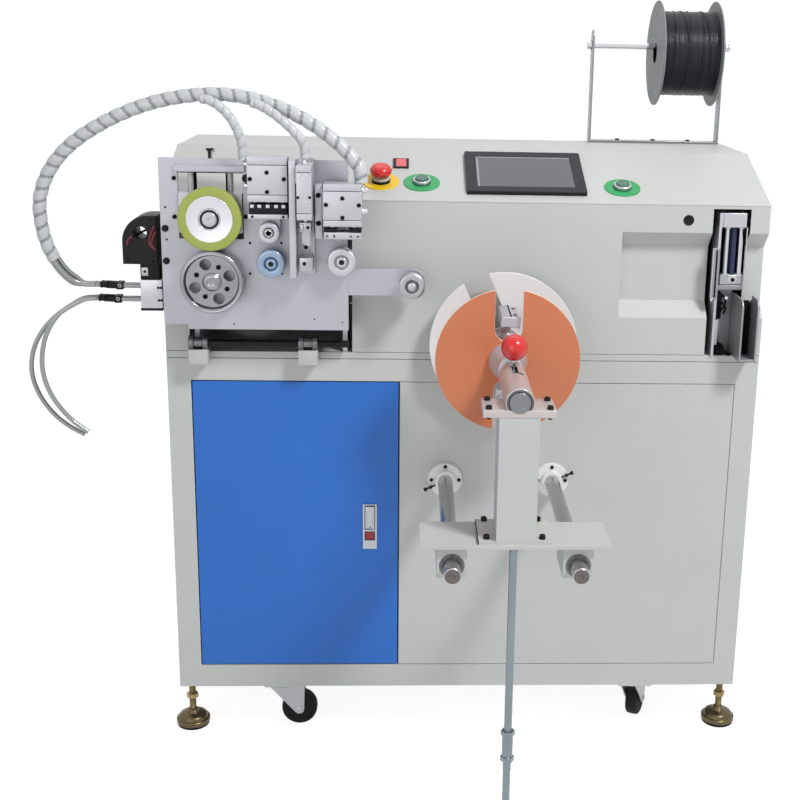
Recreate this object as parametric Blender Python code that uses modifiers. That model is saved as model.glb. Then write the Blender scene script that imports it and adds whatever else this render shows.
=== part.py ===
# Cable stripping and coiling machine on a wheeled cabinet.
# Metres. X runs from the cabinet's left side, Y from its front face to the back, Z up from the floor.
# Every length below is a driving dimension or is worked out from the ones above it.

import math

import bmesh
import bpy
from mathutils import Matrix, Vector

# Clearances
SEAT = 0.0003  # between a piece and what it is fastened to
RUN = 0.0003  # radial clearance of a shaft in its bore
SLIDE = 0.0005  # side clearance of a slider
PAST = 0.004  # how far a cutter reaches past the wall it opens
SINK = 0.0005  # how far fused shapes reach into each other
MERGE = 0.00005
LARGE = 32  # sides of a disc
ROUND = 20  # sides of a wheel or a barrel
SMALL = 12  # sides of a knob or a shaft
TINY = 8  # sides of a pin

# Cabinet and deck
WIDTH = 1.000
DEPTH = 0.400
CABINET_BOTTOM = 0.090
CABINET_TOP = 0.697
SHEET = 0.002
FRONT_FRAME = 0.020
DECK_THICKNESS = 0.012
SEAM_HEIGHT = 0.0012
SEAM_DEPTH = 0.003
DECK_TOP = CABINET_TOP + DECK_THICKNESS
DOOR_LEFT = 0.039
DOOR_RIGHT = 0.389
DOOR_BOTTOM_RISE = 0.042
DOOR_BOTTOM = CABINET_BOTTOM + DOOR_BOTTOM_RISE
DOOR_TOP_DROP = 0.038
DOOR_TOP = CABINET_TOP - DOOR_TOP_DROP
DOOR_GAP = 0.002
DOOR_THICKNESS = 0.018
DOOR_LIP = 0.012
PANEL_RIGHT_INSET = 0.038
PANEL_RIGHT = WIDTH - PANEL_RIGHT_INSET
PANEL_GROOVE = 0.0015
HINGE_INSET = 0.0035
HINGE_PIN = 0.0016
HINGE_PIN_LENGTH = 0.010
VENT_LENGTH = 0.090
VENT_HEIGHT = 0.006
VENT_PITCH = 0.016
VENT_COUNT = 4
VENT_Z = 0.520

# Door latch, flush case with a pop-out handle above a push button
LATCH_X = 0.3385
LATCH_Z = 0.397
LATCH_WIDTH = 0.024
LATCH_HEIGHT = 0.082
LATCH_PROUD = 0.0015
LATCH_DEPTH = 0.016
HANDLE_WIDTH = 0.0165
HANDLE_HEIGHT = 0.041
HANDLE_TOP = LATCH_Z + 0.0365
HANDLE_THICKNESS = 0.007
HANDLE_PIVOT_DROP = 0.0025
HANDLE_PIVOT_Y = 0.003
HANDLE_PIN = 0.0012
HANDLE_SWING_ROOM = 0.0022
BUTTON_HEIGHT = 0.015
BUTTON_BOTTOM = LATCH_Z - 0.0245
BUTTON_THICKNESS = 0.009
BUTTON_TRAVEL = 0.003

# Levelling feet
FOOT_INSET_X = 0.016
FOOT_INSET_Y = 0.030
FOOT_RADIUS = 0.030
FOOT_PAD = 0.017
FOOT_CROWN = 0.024
FOOT_NECK = 0.009
STUD_RADIUS = 0.006
STUD_IN_CABINET = 0.022
NUT_BOTTOM = 0.052
NUT_HEIGHT = 0.010
NUT_RADIUS = 0.0105
BOSS_SIZE = 0.034
BOSS_HEIGHT = 0.026

# Casters
CASTER_INSET_X = 0.180
CASTER_INSET_Y = 0.030
CASTER_PLATE = 0.060
CASTER_PLATE_THICKNESS = 0.003
CASTER_WHEEL = 0.032
CASTER_WIDTH = 0.024
CASTER_TRAIL = 0.030
CASTER_LIFT = 0.003
CASTER_SHEET = 0.0025
CASTER_AXLE = 0.004
CASTER_TREAD = 0.004
KINGPIN = 0.005
KINGPIN_HEAD = 0.009
FORK_CHEEK_GAP = 0.0015
FORK_TOP_RADIUS = 0.023
CASTER_TURNS = {"front_left": 0.0, "front_right": 65.0, "rear_left": 200.0, "rear_right": 155.0}

# Upper housing
HOUSING_BOTTOM = DECK_TOP + 0.0008
SLOPE_BOTTOM_RISE = 0.256
SLOPE_BOTTOM = DECK_TOP + SLOPE_BOTTOM_RISE
HOUSING_TOP_RISE = 0.324
HOUSING_TOP = DECK_TOP + HOUSING_TOP_RISE
SLOPE_DEPTH = 0.180
TROUGH_LEFT_INSET = 0.245
TROUGH_LEFT = WIDTH - TROUGH_LEFT_INSET
TROUGH_TOP_RISE = 0.209
TROUGH_TOP = DECK_TOP + TROUGH_TOP_RISE
TROUGH_BOTTOM_RISE = 0.065
TROUGH_BOTTOM = DECK_TOP + TROUGH_BOTTOM_RISE
TROUGH_DEPTH = 0.025
HEAD_OPENING_LEFT = 0.040
HEAD_OPENING_RIGHT = 0.309
SLOT_LEFT_INSET = 0.095
SLOT_LEFT = WIDTH - SLOT_LEFT_INSET
SLOT_RIGHT_INSET = 0.032
SLOT_RIGHT = WIDTH - SLOT_RIGHT_INSET
SLOT_TOP_RISE = 0.249
SLOT_TOP = DECK_TOP + SLOT_TOP_RISE
SLOT_CUT_DEPTH = 0.060

# Controls on the slope: place across the machine, and up the slope from its front edge
LEGEND_RADIUS = 0.030
LEGEND_THICKNESS = 0.0012
ESTOP_X = 0.355
ESTOP_UP = 0.064
ESTOP_COLLAR = 0.0150
ESTOP_COLLAR_HEIGHT = 0.011
ESTOP_HEAD = 0.0185
ESTOP_HEAD_HEIGHT = 0.016
ESTOP_TRAVEL = 0.004
ESTOP_STEM = 0.008
START_X = 0.423
START_UP = 0.062
RESET_X = 0.759
RESET_UP = 0.054
BEZEL_RADIUS = 0.0145
BEZEL_HEIGHT = 0.0075
PUSH_RADIUS = 0.0110
PUSH_PROUD = 0.0035
PUSH_TRAVEL = 0.003
PUSH_DEPTH = 0.012
ROCKER_X = 0.388
ROCKER_UP = 0.131
ROCKER_BEZEL_WIDTH = 0.026
ROCKER_BEZEL_HEIGHT = 0.034
ROCKER_BEZEL_PROUD = 0.002
ROCKER_WIDTH = 0.018
ROCKER_HEIGHT = 0.025
ROCKER_TILT = 8.0
ROCKER_DEPTH = 0.012
SCREEN_X = 0.597
SCREEN_UP = 0.097
SCREEN_WIDTH = 0.200
SCREEN_HEIGHT = 0.148
SCREEN_PROUD = 0.007
SCREEN_BORDER = 0.019
SCREEN_RECESS = 0.001
SCREEN_BEVEL = 0.002

# Feed head
PLATE_LEFT = 0.008
PLATE_RIGHT = 0.305
PLATE_BOTTOM_RISE = 0.048
PLATE_BOTTOM = DECK_TOP + PLATE_BOTTOM_RISE
PLATE_TOP_RISE = 0.323
PLATE_TOP = DECK_TOP + PLATE_TOP_RISE
PLATE_BACK = -0.035
PLATE_THICKNESS = 0.010
PLATE_FRONT = PLATE_BACK - PLATE_THICKNESS
PLATE_NOTCH_WIDTH = 0.038
PLATE_NOTCH_HEIGHT = 0.008
WINDOW_LEFT = 0.037
WINDOW_RIGHT = 0.139
WINDOW_BOTTOM_RISE = 0.196
WINDOW_BOTTOM = DECK_TOP + WINDOW_BOTTOM_RISE
HEAD_OPENING_TOP_RISE = 0.025
HEAD_OPENING_TOP = WINDOW_BOTTOM + HEAD_OPENING_TOP_RISE
WINDOW_TOP_DROP = 0.011
WINDOW_TOP = PLATE_TOP - WINDOW_TOP_DROP
GUIDE_BAR_RADIUS = 0.004
GUIDE_BAR_INSET = 0.020
CROSS_BAR_HEIGHT = 0.009
CROSS_BAR_PROUD = 0.005
ADJUSTER_RADIUS = 0.0025
ADJUSTER_HEAD = 0.006
ADJUSTER_RISE = 0.015
CHEEK_THICKNESS = 0.008
CHEEK_BACK = 0.100
CHEEK_FOOT = 0.004
CHEEK_LIFT = 0.008
CHEEK_RISE = 0.009
CHEEK_TOP = WINDOW_BOTTOM + CHEEK_RISE
CHEEK_SLOPE = 0.024
WHEEL_RADIUS = 0.050
WHEEL_WIDTH = 0.020
WHEEL_X = 0.090
LOWER_WHEEL_Z_RISE = 0.131
LOWER_WHEEL_Z = DECK_TOP + LOWER_WHEEL_Z_RISE
UPPER_WHEEL_Z = LOWER_WHEEL_Z + 2 * WHEEL_RADIUS + SEAT
WHEEL_BACK = -0.058
WHEEL_RIM = 0.007
TYRE_BORE = 0.036
WHEEL_WEB = 0.008
WHEEL_HUB = 0.016
WHEEL_HOLE = 0.0085
WHEEL_HOLE_CIRCLE = 0.029
WHEEL_HOLES = 4
LOWER_SHAFT = 0.008
UPPER_SHAFT = 0.007
CARRIAGE_HEIGHT = 0.063
CARRIAGE_THICKNESS = 0.019
CARRIAGE_BELOW = 0.025
UPPER_WHEEL_LIFT = 0.010
MOTOR_SIZE = 0.057
MOTOR_LENGTH = 0.090
SHAFT_IN_MOTOR = 0.018

PRESS_LEFT = 0.151
PRESS_RIGHT = 0.213
PRESS_BOTTOM_RISE = 0.261
PRESS_BOTTOM = DECK_TOP + PRESS_BOTTOM_RISE
PRESS_TOP_RISE = 0.069
PRESS_TOP = PRESS_BOTTOM + PRESS_TOP_RISE
PRESS_DEPTH = 0.040
PRESS_TRAVEL = 0.0095
PRESS_BAR_HEIGHT = 0.007
PRESS_BLACK_HEIGHT = 0.016
PRESS_HEAD_GAP = 0.0035
PRESS_ROD = 0.004
PRESS_ROD_INSET = 0.010
PRESS_ROD_LENGTH = 0.030
TONGUE_WIDTH = 0.034
TONGUE_THICKNESS = 0.012
PRESS_ROLLER_X = 0.182
PRESS_ROLLER_Z_RISE = 0.2115
PRESS_ROLLER_Z = DECK_TOP + PRESS_ROLLER_Z_RISE
PRESS_ROLLER_RADIUS = 0.017
ROLLER_WIDTH = 0.018
ROLLER_BACK = -0.0603
ROLLER_GROOVE = 0.0015
MEASURE_X = 0.1845
MEASURE_Z_RISE = 0.162
MEASURE_Z = DECK_TOP + MEASURE_Z_RISE
MEASURE_RADIUS = 0.0225
RIGHT_ROLLER_X = 0.2960
RIGHT_ROLLER_Z_RISE = 0.166
RIGHT_ROLLER_Z = DECK_TOP + RIGHT_ROLLER_Z_RISE
RIGHT_ROLLER_RADIUS = 0.023
ROLLER_SHAFT = 0.004
ROLLER_HUB = 0.008
FITTING_RADIUS = 0.005
FITTING_LENGTH = 0.008

CHANNEL_LEFT = 0.216
CHANNEL_RIGHT = 0.2525
CHANNEL_BOTTOM_RISE = 0.143
CHANNEL_BOTTOM = DECK_TOP + CHANNEL_BOTTOM_RISE
CHANNEL_TOP_RISE = 0.327
CHANNEL_TOP = DECK_TOP + CHANNEL_TOP_RISE
CHANNEL_BACK_THICKNESS = 0.010
CHANNEL_FLANGE = 0.010
CHANNEL_DEPTH = 0.050
CUTTER_CYLINDER_LEFT = 0.229
CUTTER_CYLINDER_TOP_DROP = 0.006
CUTTER_CYLINDER_TOP = CHANNEL_TOP - CUTTER_CYLINDER_TOP_DROP
CUTTER_CYLINDER_BOTTOM_DROP = 0.084
CUTTER_CYLINDER_BOTTOM = CUTTER_CYLINDER_TOP - CUTTER_CYLINDER_BOTTOM_DROP
CUTTER_CYLINDER_DEPTH = 0.065
CUTTER_ROD = 0.004
CUTTER_TRAVEL = 0.012
CUTTER_CLEVIS_TOP_DROP = 0.006
CUTTER_CLEVIS_TOP = CUTTER_CYLINDER_BOTTOM - CUTTER_CLEVIS_TOP_DROP
CUTTER_BLADE_BOTTOM_DROP = 0.040
CUTTER_BLADE_BOTTOM = CUTTER_CLEVIS_TOP - CUTTER_BLADE_BOTTOM_DROP
CUTTER_CLEVIS_HEIGHT = 0.015
ANVIL_TOP_RISE = 0.032
ANVIL_TOP = CHANNEL_BOTTOM + ANVIL_TOP_RISE
ANVIL_HEIGHT = 0.022

CLAMP_BRACKET_LEFT = 0.2545
CLAMP_BRACKET_WIDTH = 0.0115
CLAMP_BRACKET_BOTTOM_RISE = 0.203
CLAMP_BRACKET_BOTTOM = DECK_TOP + CLAMP_BRACKET_BOTTOM_RISE
CLAMP_BRACKET_TOP_RISE = 0.288
CLAMP_BRACKET_TOP = DECK_TOP + CLAMP_BRACKET_TOP_RISE
CLAMP_BRACKET_DEPTH = 0.030
CLAMP_LEFT = 0.269
CLAMP_RIGHT = 0.329
CLAMP_BOTTOM_RISE = 0.226
CLAMP_BOTTOM = DECK_TOP + CLAMP_BOTTOM_RISE
CLAMP_TOP_RISE = 0.292
CLAMP_TOP = DECK_TOP + CLAMP_TOP_RISE
CLAMP_BACK = -0.060
CLAMP_DEPTH = 0.040
JAW_GAP = 0.004
JAW_HEIGHT = 0.016
JAW_TRAVEL = 0.005
FINGER_X = 0.3095
FINGER_WIDTH = 0.007
FINGER_BOTTOM_DROP = 0.0345
FINGER_BOTTOM = CLAMP_BOTTOM - FINGER_BOTTOM_DROP

ARM_BOTTOM_RISE = 0.1065
ARM_BOTTOM = DECK_TOP + ARM_BOTTOM_RISE
ARM_TOP_RISE = 0.1505
ARM_TOP = DECK_TOP + ARM_TOP_RISE
ARM_END_X = 0.408
PULLEY_RADIUS = 0.021
PULLEY_WIDTH = 0.016
PULLEY_GAP = 0.018
PULLEY_STUD = 0.004
PULLEY_NUT = 0.007

MOUNT_SHAFT = 0.006
MOUNT_SHAFT_Z_RISE = 0.018
MOUNT_SHAFT_Z = DECK_TOP + MOUNT_SHAFT_Z_RISE
MOUNT_SHAFT_Y = -0.0155
MOUNT_CLAMP_LEFTS = (0.041, 0.221)
MOUNT_CLAMP_WIDTH = 0.032
MOUNT_CLAMP_BOTTOM_DROP = 0.034
MOUNT_CLAMP_BOTTOM = MOUNT_SHAFT_Z - MOUNT_CLAMP_BOTTOM_DROP
MOUNT_CLAMP_DEPTH = 0.028
MOUNT_COLLAR = 0.0130

# Left side, outside the housing
SIDE_MOTOR_LEFT = -0.0565
SIDE_MOTOR_BOTTOM_RISE = 0.1512
SIDE_MOTOR_BOTTOM = DECK_TOP + SIDE_MOTOR_BOTTOM_RISE
SIDE_MOTOR_SHOULDER_RISE = 0.0358
SIDE_MOTOR_SHOULDER = SIDE_MOTOR_BOTTOM + SIDE_MOTOR_SHOULDER_RISE
SIDE_MOTOR_TOP_RISE = 0.0425
SIDE_MOTOR_TOP = SIDE_MOTOR_SHOULDER + SIDE_MOTOR_TOP_RISE
SIDE_MOTOR_FLAT = 0.0155
SIDE_MOTOR_FRONT = -0.0347
SIDE_MOTOR_DEPTH = 0.060
SIDE_MOTOR_HOLE_X = -0.0270
SIDE_MOTOR_HOLE_Z_RISE = 0.0150
SIDE_MOTOR_HOLE_Z = SIDE_MOTOR_SHOULDER + SIDE_MOTOR_HOLE_Z_RISE
SIDE_MOTOR_HOLE = 0.011
VALVE_LEFT = -0.0355
VALVE_BOTTOM_RISE = 0.074
VALVE_BOTTOM = DECK_TOP + VALVE_BOTTOM_RISE
VALVE_TOP_RISE = 0.0474
VALVE_TOP = VALVE_BOTTOM + VALVE_TOP_RISE
VALVE_FRONT = -0.010
VALVE_DEPTH = 0.060
VALVE_BASE = 0.004
CONNECTOR_HEIGHT = 0.0285
CONNECTOR_INSET = 0.004
TUBE_RADIUS = 0.004
TUBE_Y = 0.030
TEE_RADIUS = 0.0065
TEE_LENGTH = 0.032
TEE_TILT = 0.0015
UPPER_TEE_X = -0.070
UPPER_TEE_DROP = 0.0168
LOWER_TEE_X = -0.074
LOWER_TEE_RISE = 0.0078
TEE_REACH = 0.115
TEE_SPREAD = 0.0055
PRONG_RADIUS = 0.0048

# Winding unit
WINDING_X = 0.560
WINDING_Z_RISE = 0.023
WINDING_Z = DECK_TOP + WINDING_Z_RISE
REAR_DISC_RADIUS = 0.1225
REAR_DISC_BACK = -0.030
DISC_THICKNESS = 0.004
REAR_SLOT_TURN = 23.0
FRONT_DISC_RADIUS = 0.115
FRONT_DISC_BACK = -0.134
DISC_SLOT_WIDTH = 0.044
DISC_SLOT_REACH = 0.052
WINDING_SHAFT = 0.010
WINDING_SHAFT_LENGTH = 0.075
WINDING_NOSE = 0.0155
WINDING_NOSE_FRONT = -0.015
WINDING_MOTOR_WIDTH = 0.060
WINDING_MOTOR_RISE = 0.030
WINDING_MOTOR_FRONT = 0.004
WINDING_MOTOR_LENGTH = 0.145
MANDREL_HUB = 0.024
MANDREL_HUB_LENGTH = 0.018
MANDREL_SHOE_OUTER = 0.068
MANDREL_SHOE_INNER = 0.052
MANDREL_SHOE_WIDTH = 0.030
MANDREL_ARM_WIDTH = 0.018
MANDREL_END = -0.127
MANDREL_TURN = 4.0

RAIL_RADIUS = 0.0125
RAIL_XS = {"rail_left": 0.468, "rail_right": 0.652}
RAIL_Z = 0.486
RAIL_FRONT = -0.415
RAIL_IN_WALL = 0.018
FLANGE_RADIUS = 0.0295
FLANGE_THICKNESS = 0.007
FLANGE_HUB = 0.018
FLANGE_HUB_LENGTH = 0.018
CARRIAGE_LEFT = 0.421
CARRIAGE_RIGHT = 0.698
CARRIAGE_TOP_RISE = 0.034
CARRIAGE_TOP = RAIL_Z + CARRIAGE_TOP_RISE
CARRIAGE_SHEET = 0.006
CARRIAGE_FRONT = -0.384
CARRIAGE_BACK = -0.289
BEARING_HALF_WIDTH = 0.022
BEARING_BELOW = 0.019
BEARING_INSET = 0.008
COLUMN_WIDTH = 0.058
COLUMN_DEPTH = 0.062
COLUMN_FRONT = -0.379
COLUMN_WALL = 0.005
COLUMN_FOOT_WIDTH = 0.108
COLUMN_FOOT_THICKNESS = 0.005
SADDLE_WIDTH = 0.104
SADDLE_TOP_DROP = 0.0105
SADDLE_TOP = WINDING_Z - SADDLE_TOP_DROP
SADDLE_THICKNESS = 0.011
BARREL_RADIUS = 0.021
BARREL_FRONT = -0.378
BARREL_BACK = -0.236
BARREL_CHAMFER = 0.0025
QUILL_RADIUS = 0.0155
QUILL_FRONT = -0.380
QUILL_SHOULDER = -0.195
QUILL_SPINDLE = 0.010
QUILL_END = -0.1295
QUILL_TRAVEL = 0.038
HUB_LARGE = 0.030
HUB_SMALL = 0.019
HUB_TAPER_FRONT = -0.168
HUB_TAPER_BACK = -0.146
KNOB_Y = -0.250
KNOB_Z_RISE = 0.049
KNOB_Z = WINDING_Z + KNOB_Z_RISE
KNOB_RADIUS = 0.020
KNOB_STEM = 0.004
KNOB_SLOT_TURN = 0.008
LEG_RADIUS = 0.006
LEG_Y = -0.340
LEG_BOTTOM = 0.0005
LEG_FOOT = 0.013
LEG_FOOT_HEIGHT = 0.006
LEG_NUT = 0.011
LEG_NUT_HEIGHT = 0.009
LEG_SLEEVE = 0.0085
LEG_SLEEVE_BOTTOM = 0.155
LEG_SLEEVE_TOP = 0.190

# Tying head
TYING_LEFT_INSET = 0.088
TYING_LEFT = WIDTH - TYING_LEFT_INSET
TYING_RIGHT_INSET = 0.0355
TYING_RIGHT = WIDTH - TYING_RIGHT_INSET
TYING_TOP_RISE = 0.246
TYING_TOP = DECK_TOP + TYING_TOP_RISE
TYING_BLOCK_HEIGHT = 0.026
TYING_FRONT = -0.004
TYING_BLOCK_DEPTH = 0.050
TYING_CHEEK = 0.007
TYING_ROD = 0.004
TYING_ROD_Y = 0.014
TYING_ROD_INSETS = (0.0665, 0.0435)
TYING_ROD_XS = tuple(WIDTH - inset for inset in TYING_ROD_INSETS)
TYING_PISTON = 0.0045
TYING_LEDGE_BOTTOM_RISE = 0.113
TYING_LEDGE_BOTTOM = DECK_TOP + TYING_LEDGE_BOTTOM_RISE
TYING_LEDGE_HEIGHT = 0.008
TYING_SLIDE_HEIGHT = 0.018
TYING_SLIDE_DEPTH = 0.022
TYING_TRAVEL = 0.070
OUTLET_TOP_RISE = 0.105
OUTLET_TOP = DECK_TOP + OUTLET_TOP_RISE
OUTLET_FRONT = -0.046
OUTLET_SHEET = 0.003
OUTLET_LEFT_INSET = 0.0475
OUTLET_LEFT = WIDTH - OUTLET_LEFT_INSET
OUTLET_WIDTH = 0.029
OUTLET_FLOOR = 0.004

# Wire spool on top
BRACKET_LEFT_INSET = 0.257
BRACKET_LEFT = WIDTH - BRACKET_LEFT_INSET
BRACKET_RIGHT_INSET = 0.0075
BRACKET_RIGHT = WIDTH - BRACKET_RIGHT_INSET
BRACKET_SHEET = 0.004
BRACKET_WIDTH = 0.024
BRACKET_BACK_INSET = 0.002
BRACKET_BACK = DEPTH - BRACKET_BACK_INSET
BRACKET_TOP_RISE = 0.207
BRACKET_TOP = HOUSING_TOP + BRACKET_TOP_RISE
SPOOL_ROD = 0.006
SPOOL_ROD_Z_DROP = 0.028
SPOOL_ROD_Z = BRACKET_TOP - SPOOL_ROD_Z_DROP
SPOOL_ROD_LEFT_INSET = 0.266
SPOOL_ROD_LEFT = WIDTH - SPOOL_ROD_LEFT_INSET
SPOOL_ROD_PAST = 0.007
SPOOL_ROD_RIGHT = WIDTH + SPOOL_ROD_PAST
SPOOL_ROD_CAP = 0.0075
SPOOL_ROD_CAP_LENGTH = 0.006
SPOOL_LEFT_INSET = 0.136
SPOOL_LEFT = WIDTH - SPOOL_LEFT_INSET
SPOOL_RIGHT_INSET = 0.025
SPOOL_RIGHT = WIDTH - SPOOL_RIGHT_INSET
SPOOL_FLANGE = 0.003
SPOOL_RADIUS = 0.096
SPOOL_BORE = 0.0185
SPOOL_CORE = 0.030
SPOOL_WIRE = 0.0775
SPOOL_WIRE_MARGIN = 0.0012

# Hoses: route points with their heights over the deck, from the valve block over the top to the feed head
HOSE_STEP = 3.0  # radii between the points of a hose
LOOM_RADIUS = 0.0110
LOOM_ROUTE = (
    (-0.1155, 0.030, 0.106), (-0.134, 0.030, 0.106), (-0.153, 0.026, 0.115), (-0.170, 0.018, 0.136),
    (-0.184, 0.009, 0.168), (-0.191, 0.001, 0.206), (-0.189, -0.007, 0.251), (-0.170, -0.014, 0.296),
    (-0.134, -0.022, 0.337), (-0.080, -0.030, 0.373), (-0.014, -0.038, 0.402), (0.052, -0.046, 0.418),
    (0.120, -0.052, 0.422), (0.185, -0.060, 0.410), (0.240, -0.068, 0.387), (0.285, -0.075, 0.357),
    (0.313, -0.079, 0.331), (0.327, -0.081, 0.310), (0.327, -0.081, 0.2925),
)
BRANCH_RADIUS = 0.0075
BRANCH_ONE_ROUTE = (
    (0.082, -0.0680, 0.4165), (0.095, -0.0690, 0.4135), (0.110, -0.0710, 0.405), (0.125, -0.0720, 0.390),
    (0.136, -0.0710, 0.370), (0.142, -0.0680, 0.351), (0.143, -0.0655, 0.337), (0.143, -0.0655, 0.3235),
)
BRANCH_TWO_ROUTE = (
    (0.160, -0.0760, 0.412), (0.173, -0.0790, 0.408), (0.191, -0.0835, 0.398), (0.210, -0.0870, 0.384),
    (0.226, -0.0880, 0.369), (0.237, -0.0865, 0.355), (0.24075, -0.0843, 0.342), (0.24075, -0.0843, 0.3295),
)
LOOSE_RADIUS = 0.0040
OUTER_ROUTE = (
    (-0.1155, 0.0355, 0.083), (-0.132, 0.0358, 0.082), (-0.150, 0.036, 0.075), (-0.189, 0.036, 0.048),
    (-0.216, 0.035, 0.016), (-0.230, 0.034, -0.018), (-0.232, 0.033, -0.054), (-0.220, 0.031, -0.090),
    (-0.198, 0.029, -0.121), (-0.171, 0.027, -0.143), (-0.149, 0.026, -0.155),
)
INNER_ROUTE = (
    (-0.1155, 0.0245, 0.083), (-0.130, 0.0243, 0.082), (-0.146, 0.024, 0.076), (-0.178, 0.022, 0.056),
    (-0.199, 0.021, 0.025), (-0.209, 0.020, -0.009), (-0.210, 0.019, -0.044), (-0.201, 0.018, -0.077),
    (-0.184, 0.017, -0.106), (-0.162, 0.017, -0.131), (-0.140, 0.017, -0.148),
)

# The machine stands with its middle over the origin
REACH_LEFT = -TEE_REACH
REACH_RIGHT = WIDTH - FOOT_INSET_X + FOOT_RADIUS
REACH_FRONT = RAIL_FRONT
REACH_BACK = BRACKET_BACK - BRACKET_WIDTH / 2 + SPOOL_RADIUS
ORIGIN = Vector(((REACH_LEFT + REACH_RIGHT) / 2, (REACH_FRONT + REACH_BACK) / 2, 0.0))

# Finishes: colour, roughness, metallic
FINISHES = {
    "painted grey": ((0.62, 0.65, 0.62), 0.45, 0.0),
    "painted blue": ((0.05, 0.20, 0.62), 0.40, 0.0),
    "aluminium": ((0.74, 0.74, 0.76), 0.38, 0.9),
    "steel": ((0.60, 0.60, 0.61), 0.28, 1.0),
    "chrome": ((0.80, 0.80, 0.82), 0.10, 1.0),
    "yellow zinc": ((0.45, 0.36, 0.20), 0.35, 0.9),
    "black plastic": ((0.02, 0.02, 0.022), 0.45, 0.0),
    "black rubber": ((0.03, 0.03, 0.032), 0.70, 0.0),
    "red plastic": ((0.75, 0.04, 0.03), 0.30, 0.0),
    "green plastic": ((0.05, 0.42, 0.20), 0.30, 0.0),
    "orange plastic": ((0.80, 0.27, 0.10), 0.40, 0.0),
    "white plastic": ((0.85, 0.85, 0.86), 0.35, 0.0),
    "tyre green": ((0.55, 0.62, 0.25), 0.50, 0.0),
    "blue anodised": ((0.25, 0.35, 0.50), 0.30, 0.8),
    "hose": ((0.70, 0.71, 0.70), 0.35, 0.0),
}


def clear_scene():
    for old in list(bpy.data.objects):
        bpy.data.objects.remove(old, do_unlink=True)


clear_scene()
machine_parts = bpy.data.collections.new("cable_stripping_coiling_machine")
cutters = bpy.data.collections.new("cutters")
bpy.context.scene.collection.children.link(machine_parts)
bpy.context.scene.collection.children.link(cutters)
machine = bpy.data.objects.new("machine_origin", None)
machine.location = -ORIGIN
machine_parts.objects.link(machine)


# Basic shapes, each an object whose mesh is in machine coordinates


def shape_from_bmesh(bm):
    mesh = bpy.data.meshes.new("shape")
    bm.to_mesh(mesh)
    bm.free()
    shape = bpy.data.objects.new("shape", mesh)
    cutters.objects.link(shape)
    return shape


def baked(source, weld=MERGE):
    """The evaluated mesh of an object as a new plain object; the source is removed."""
    bpy.context.view_layer.update()
    graph = bpy.context.evaluated_depsgraph_get()
    mesh = bpy.data.meshes.new_from_object(source.evaluated_get(graph))
    mesh.transform(source.matrix_world)
    bpy.data.objects.remove(source, do_unlink=True)
    bm = bmesh.new()
    bm.from_mesh(mesh)
    bmesh.ops.remove_doubles(bm, verts=bm.verts, dist=weld)
    bpy.data.meshes.remove(mesh)
    return shape_from_bmesh(bm)


def moved(shape, matrix):
    shape.data.transform(matrix)
    return shape


def block(low, high):
    low, high = Vector(low), Vector(high)
    bm = bmesh.new()
    bmesh.ops.create_cube(bm, size=1.0)
    size = high - low
    bmesh.ops.scale(bm, vec=size, verts=bm.verts)
    bmesh.ops.translate(bm, vec=(low + high) / 2, verts=bm.verts)
    return shape_from_bmesh(bm)


def rod(start, end, radius, sides=SMALL, end_radius=None):
    start, end = Vector(start), Vector(end)
    bm = bmesh.new()
    bmesh.ops.create_cone(
        bm, cap_ends=True, segments=sides, radius1=radius,
        radius2=radius if end_radius is None else end_radius, depth=(end - start).length,
    )
    turn = (end - start).to_track_quat("Z", "Y").to_matrix().to_4x4()
    bmesh.ops.transform(bm, matrix=Matrix.Translation((start + end) / 2) @ turn, verts=bm.verts)
    return shape_from_bmesh(bm)


def drill(start, end, radius, sides=SMALL):
    """A cutter whose flats stand off a shaft of this radius by the running clearance."""
    return rod(start, end, (radius + RUN) / math.cos(math.pi / sides), sides)


def ball(centre, radius):
    bm = bmesh.new()
    bmesh.ops.create_uvsphere(bm, u_segments=SMALL, v_segments=TINY, radius=radius)
    bmesh.ops.translate(bm, vec=Vector(centre), verts=bm.verts)
    return shape_from_bmesh(bm)


def turned(profile, centre=(0, 0, 0), axis="Z", sides=ROUND):
    """A body of revolution: profile points (radius, height) from the top down the outer side."""
    mesh = bpy.data.meshes.new("profile")
    points = [(radius, 0.0, height) for radius, height in profile]
    closed = profile[0][0] > 0
    edges = [(i, i + 1) for i in range(len(points) - 1)]
    if closed:
        edges.append((len(points) - 1, 0))
    mesh.from_pydata(points, edges, [])
    source = bpy.data.objects.new("profile", mesh)
    cutters.objects.link(source)
    screw = source.modifiers.new("turn", "SCREW")
    screw.steps = sides
    screw.render_steps = sides
    screw.use_merge_vertices = True
    screw.merge_threshold = MERGE
    turns = {
        "Z": Matrix.Identity(4),
        "-Y": Matrix.Rotation(math.radians(90), 4, "X"),
        "X": Matrix.Rotation(math.radians(90), 4, "Y"),
    }
    return moved(baked(source), Matrix.Translation(centre) @ turns[axis])


def slab(outline, low, high, plane="XZ", holes=()):
    """A flat outline, given in the plane's two axes, between two distances along the third."""
    curve = bpy.data.curves.new("outline", "CURVE")
    curve.dimensions = "2D"
    curve.fill_mode = "BOTH"
    curve.extrude = (high - low) / 2
    for loop in (outline, *holes):
        spline = curve.splines.new("POLY")
        spline.points.add(len(loop) - 1)
        for point, (across, up) in zip(spline.points, loop):
            point.co = (across, up, 0.0, 1.0)
        spline.use_cyclic_u = True
    source = bpy.data.objects.new("outline", curve)
    cutters.objects.link(source)
    middle = (low + high) / 2
    placing = {
        "XY": Matrix.Translation((0, 0, middle)),
        "XZ": Matrix.Translation((0, middle, 0)) @ Matrix.Rotation(math.radians(90), 4, "X"),
        "YZ": Matrix.Translation((middle, 0, 0)) @ Matrix(((0, 0, 1, 0), (1, 0, 0, 0), (0, 1, 0, 0), (0, 0, 0, 1))),
    }
    return moved(baked(source), placing[plane])


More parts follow.
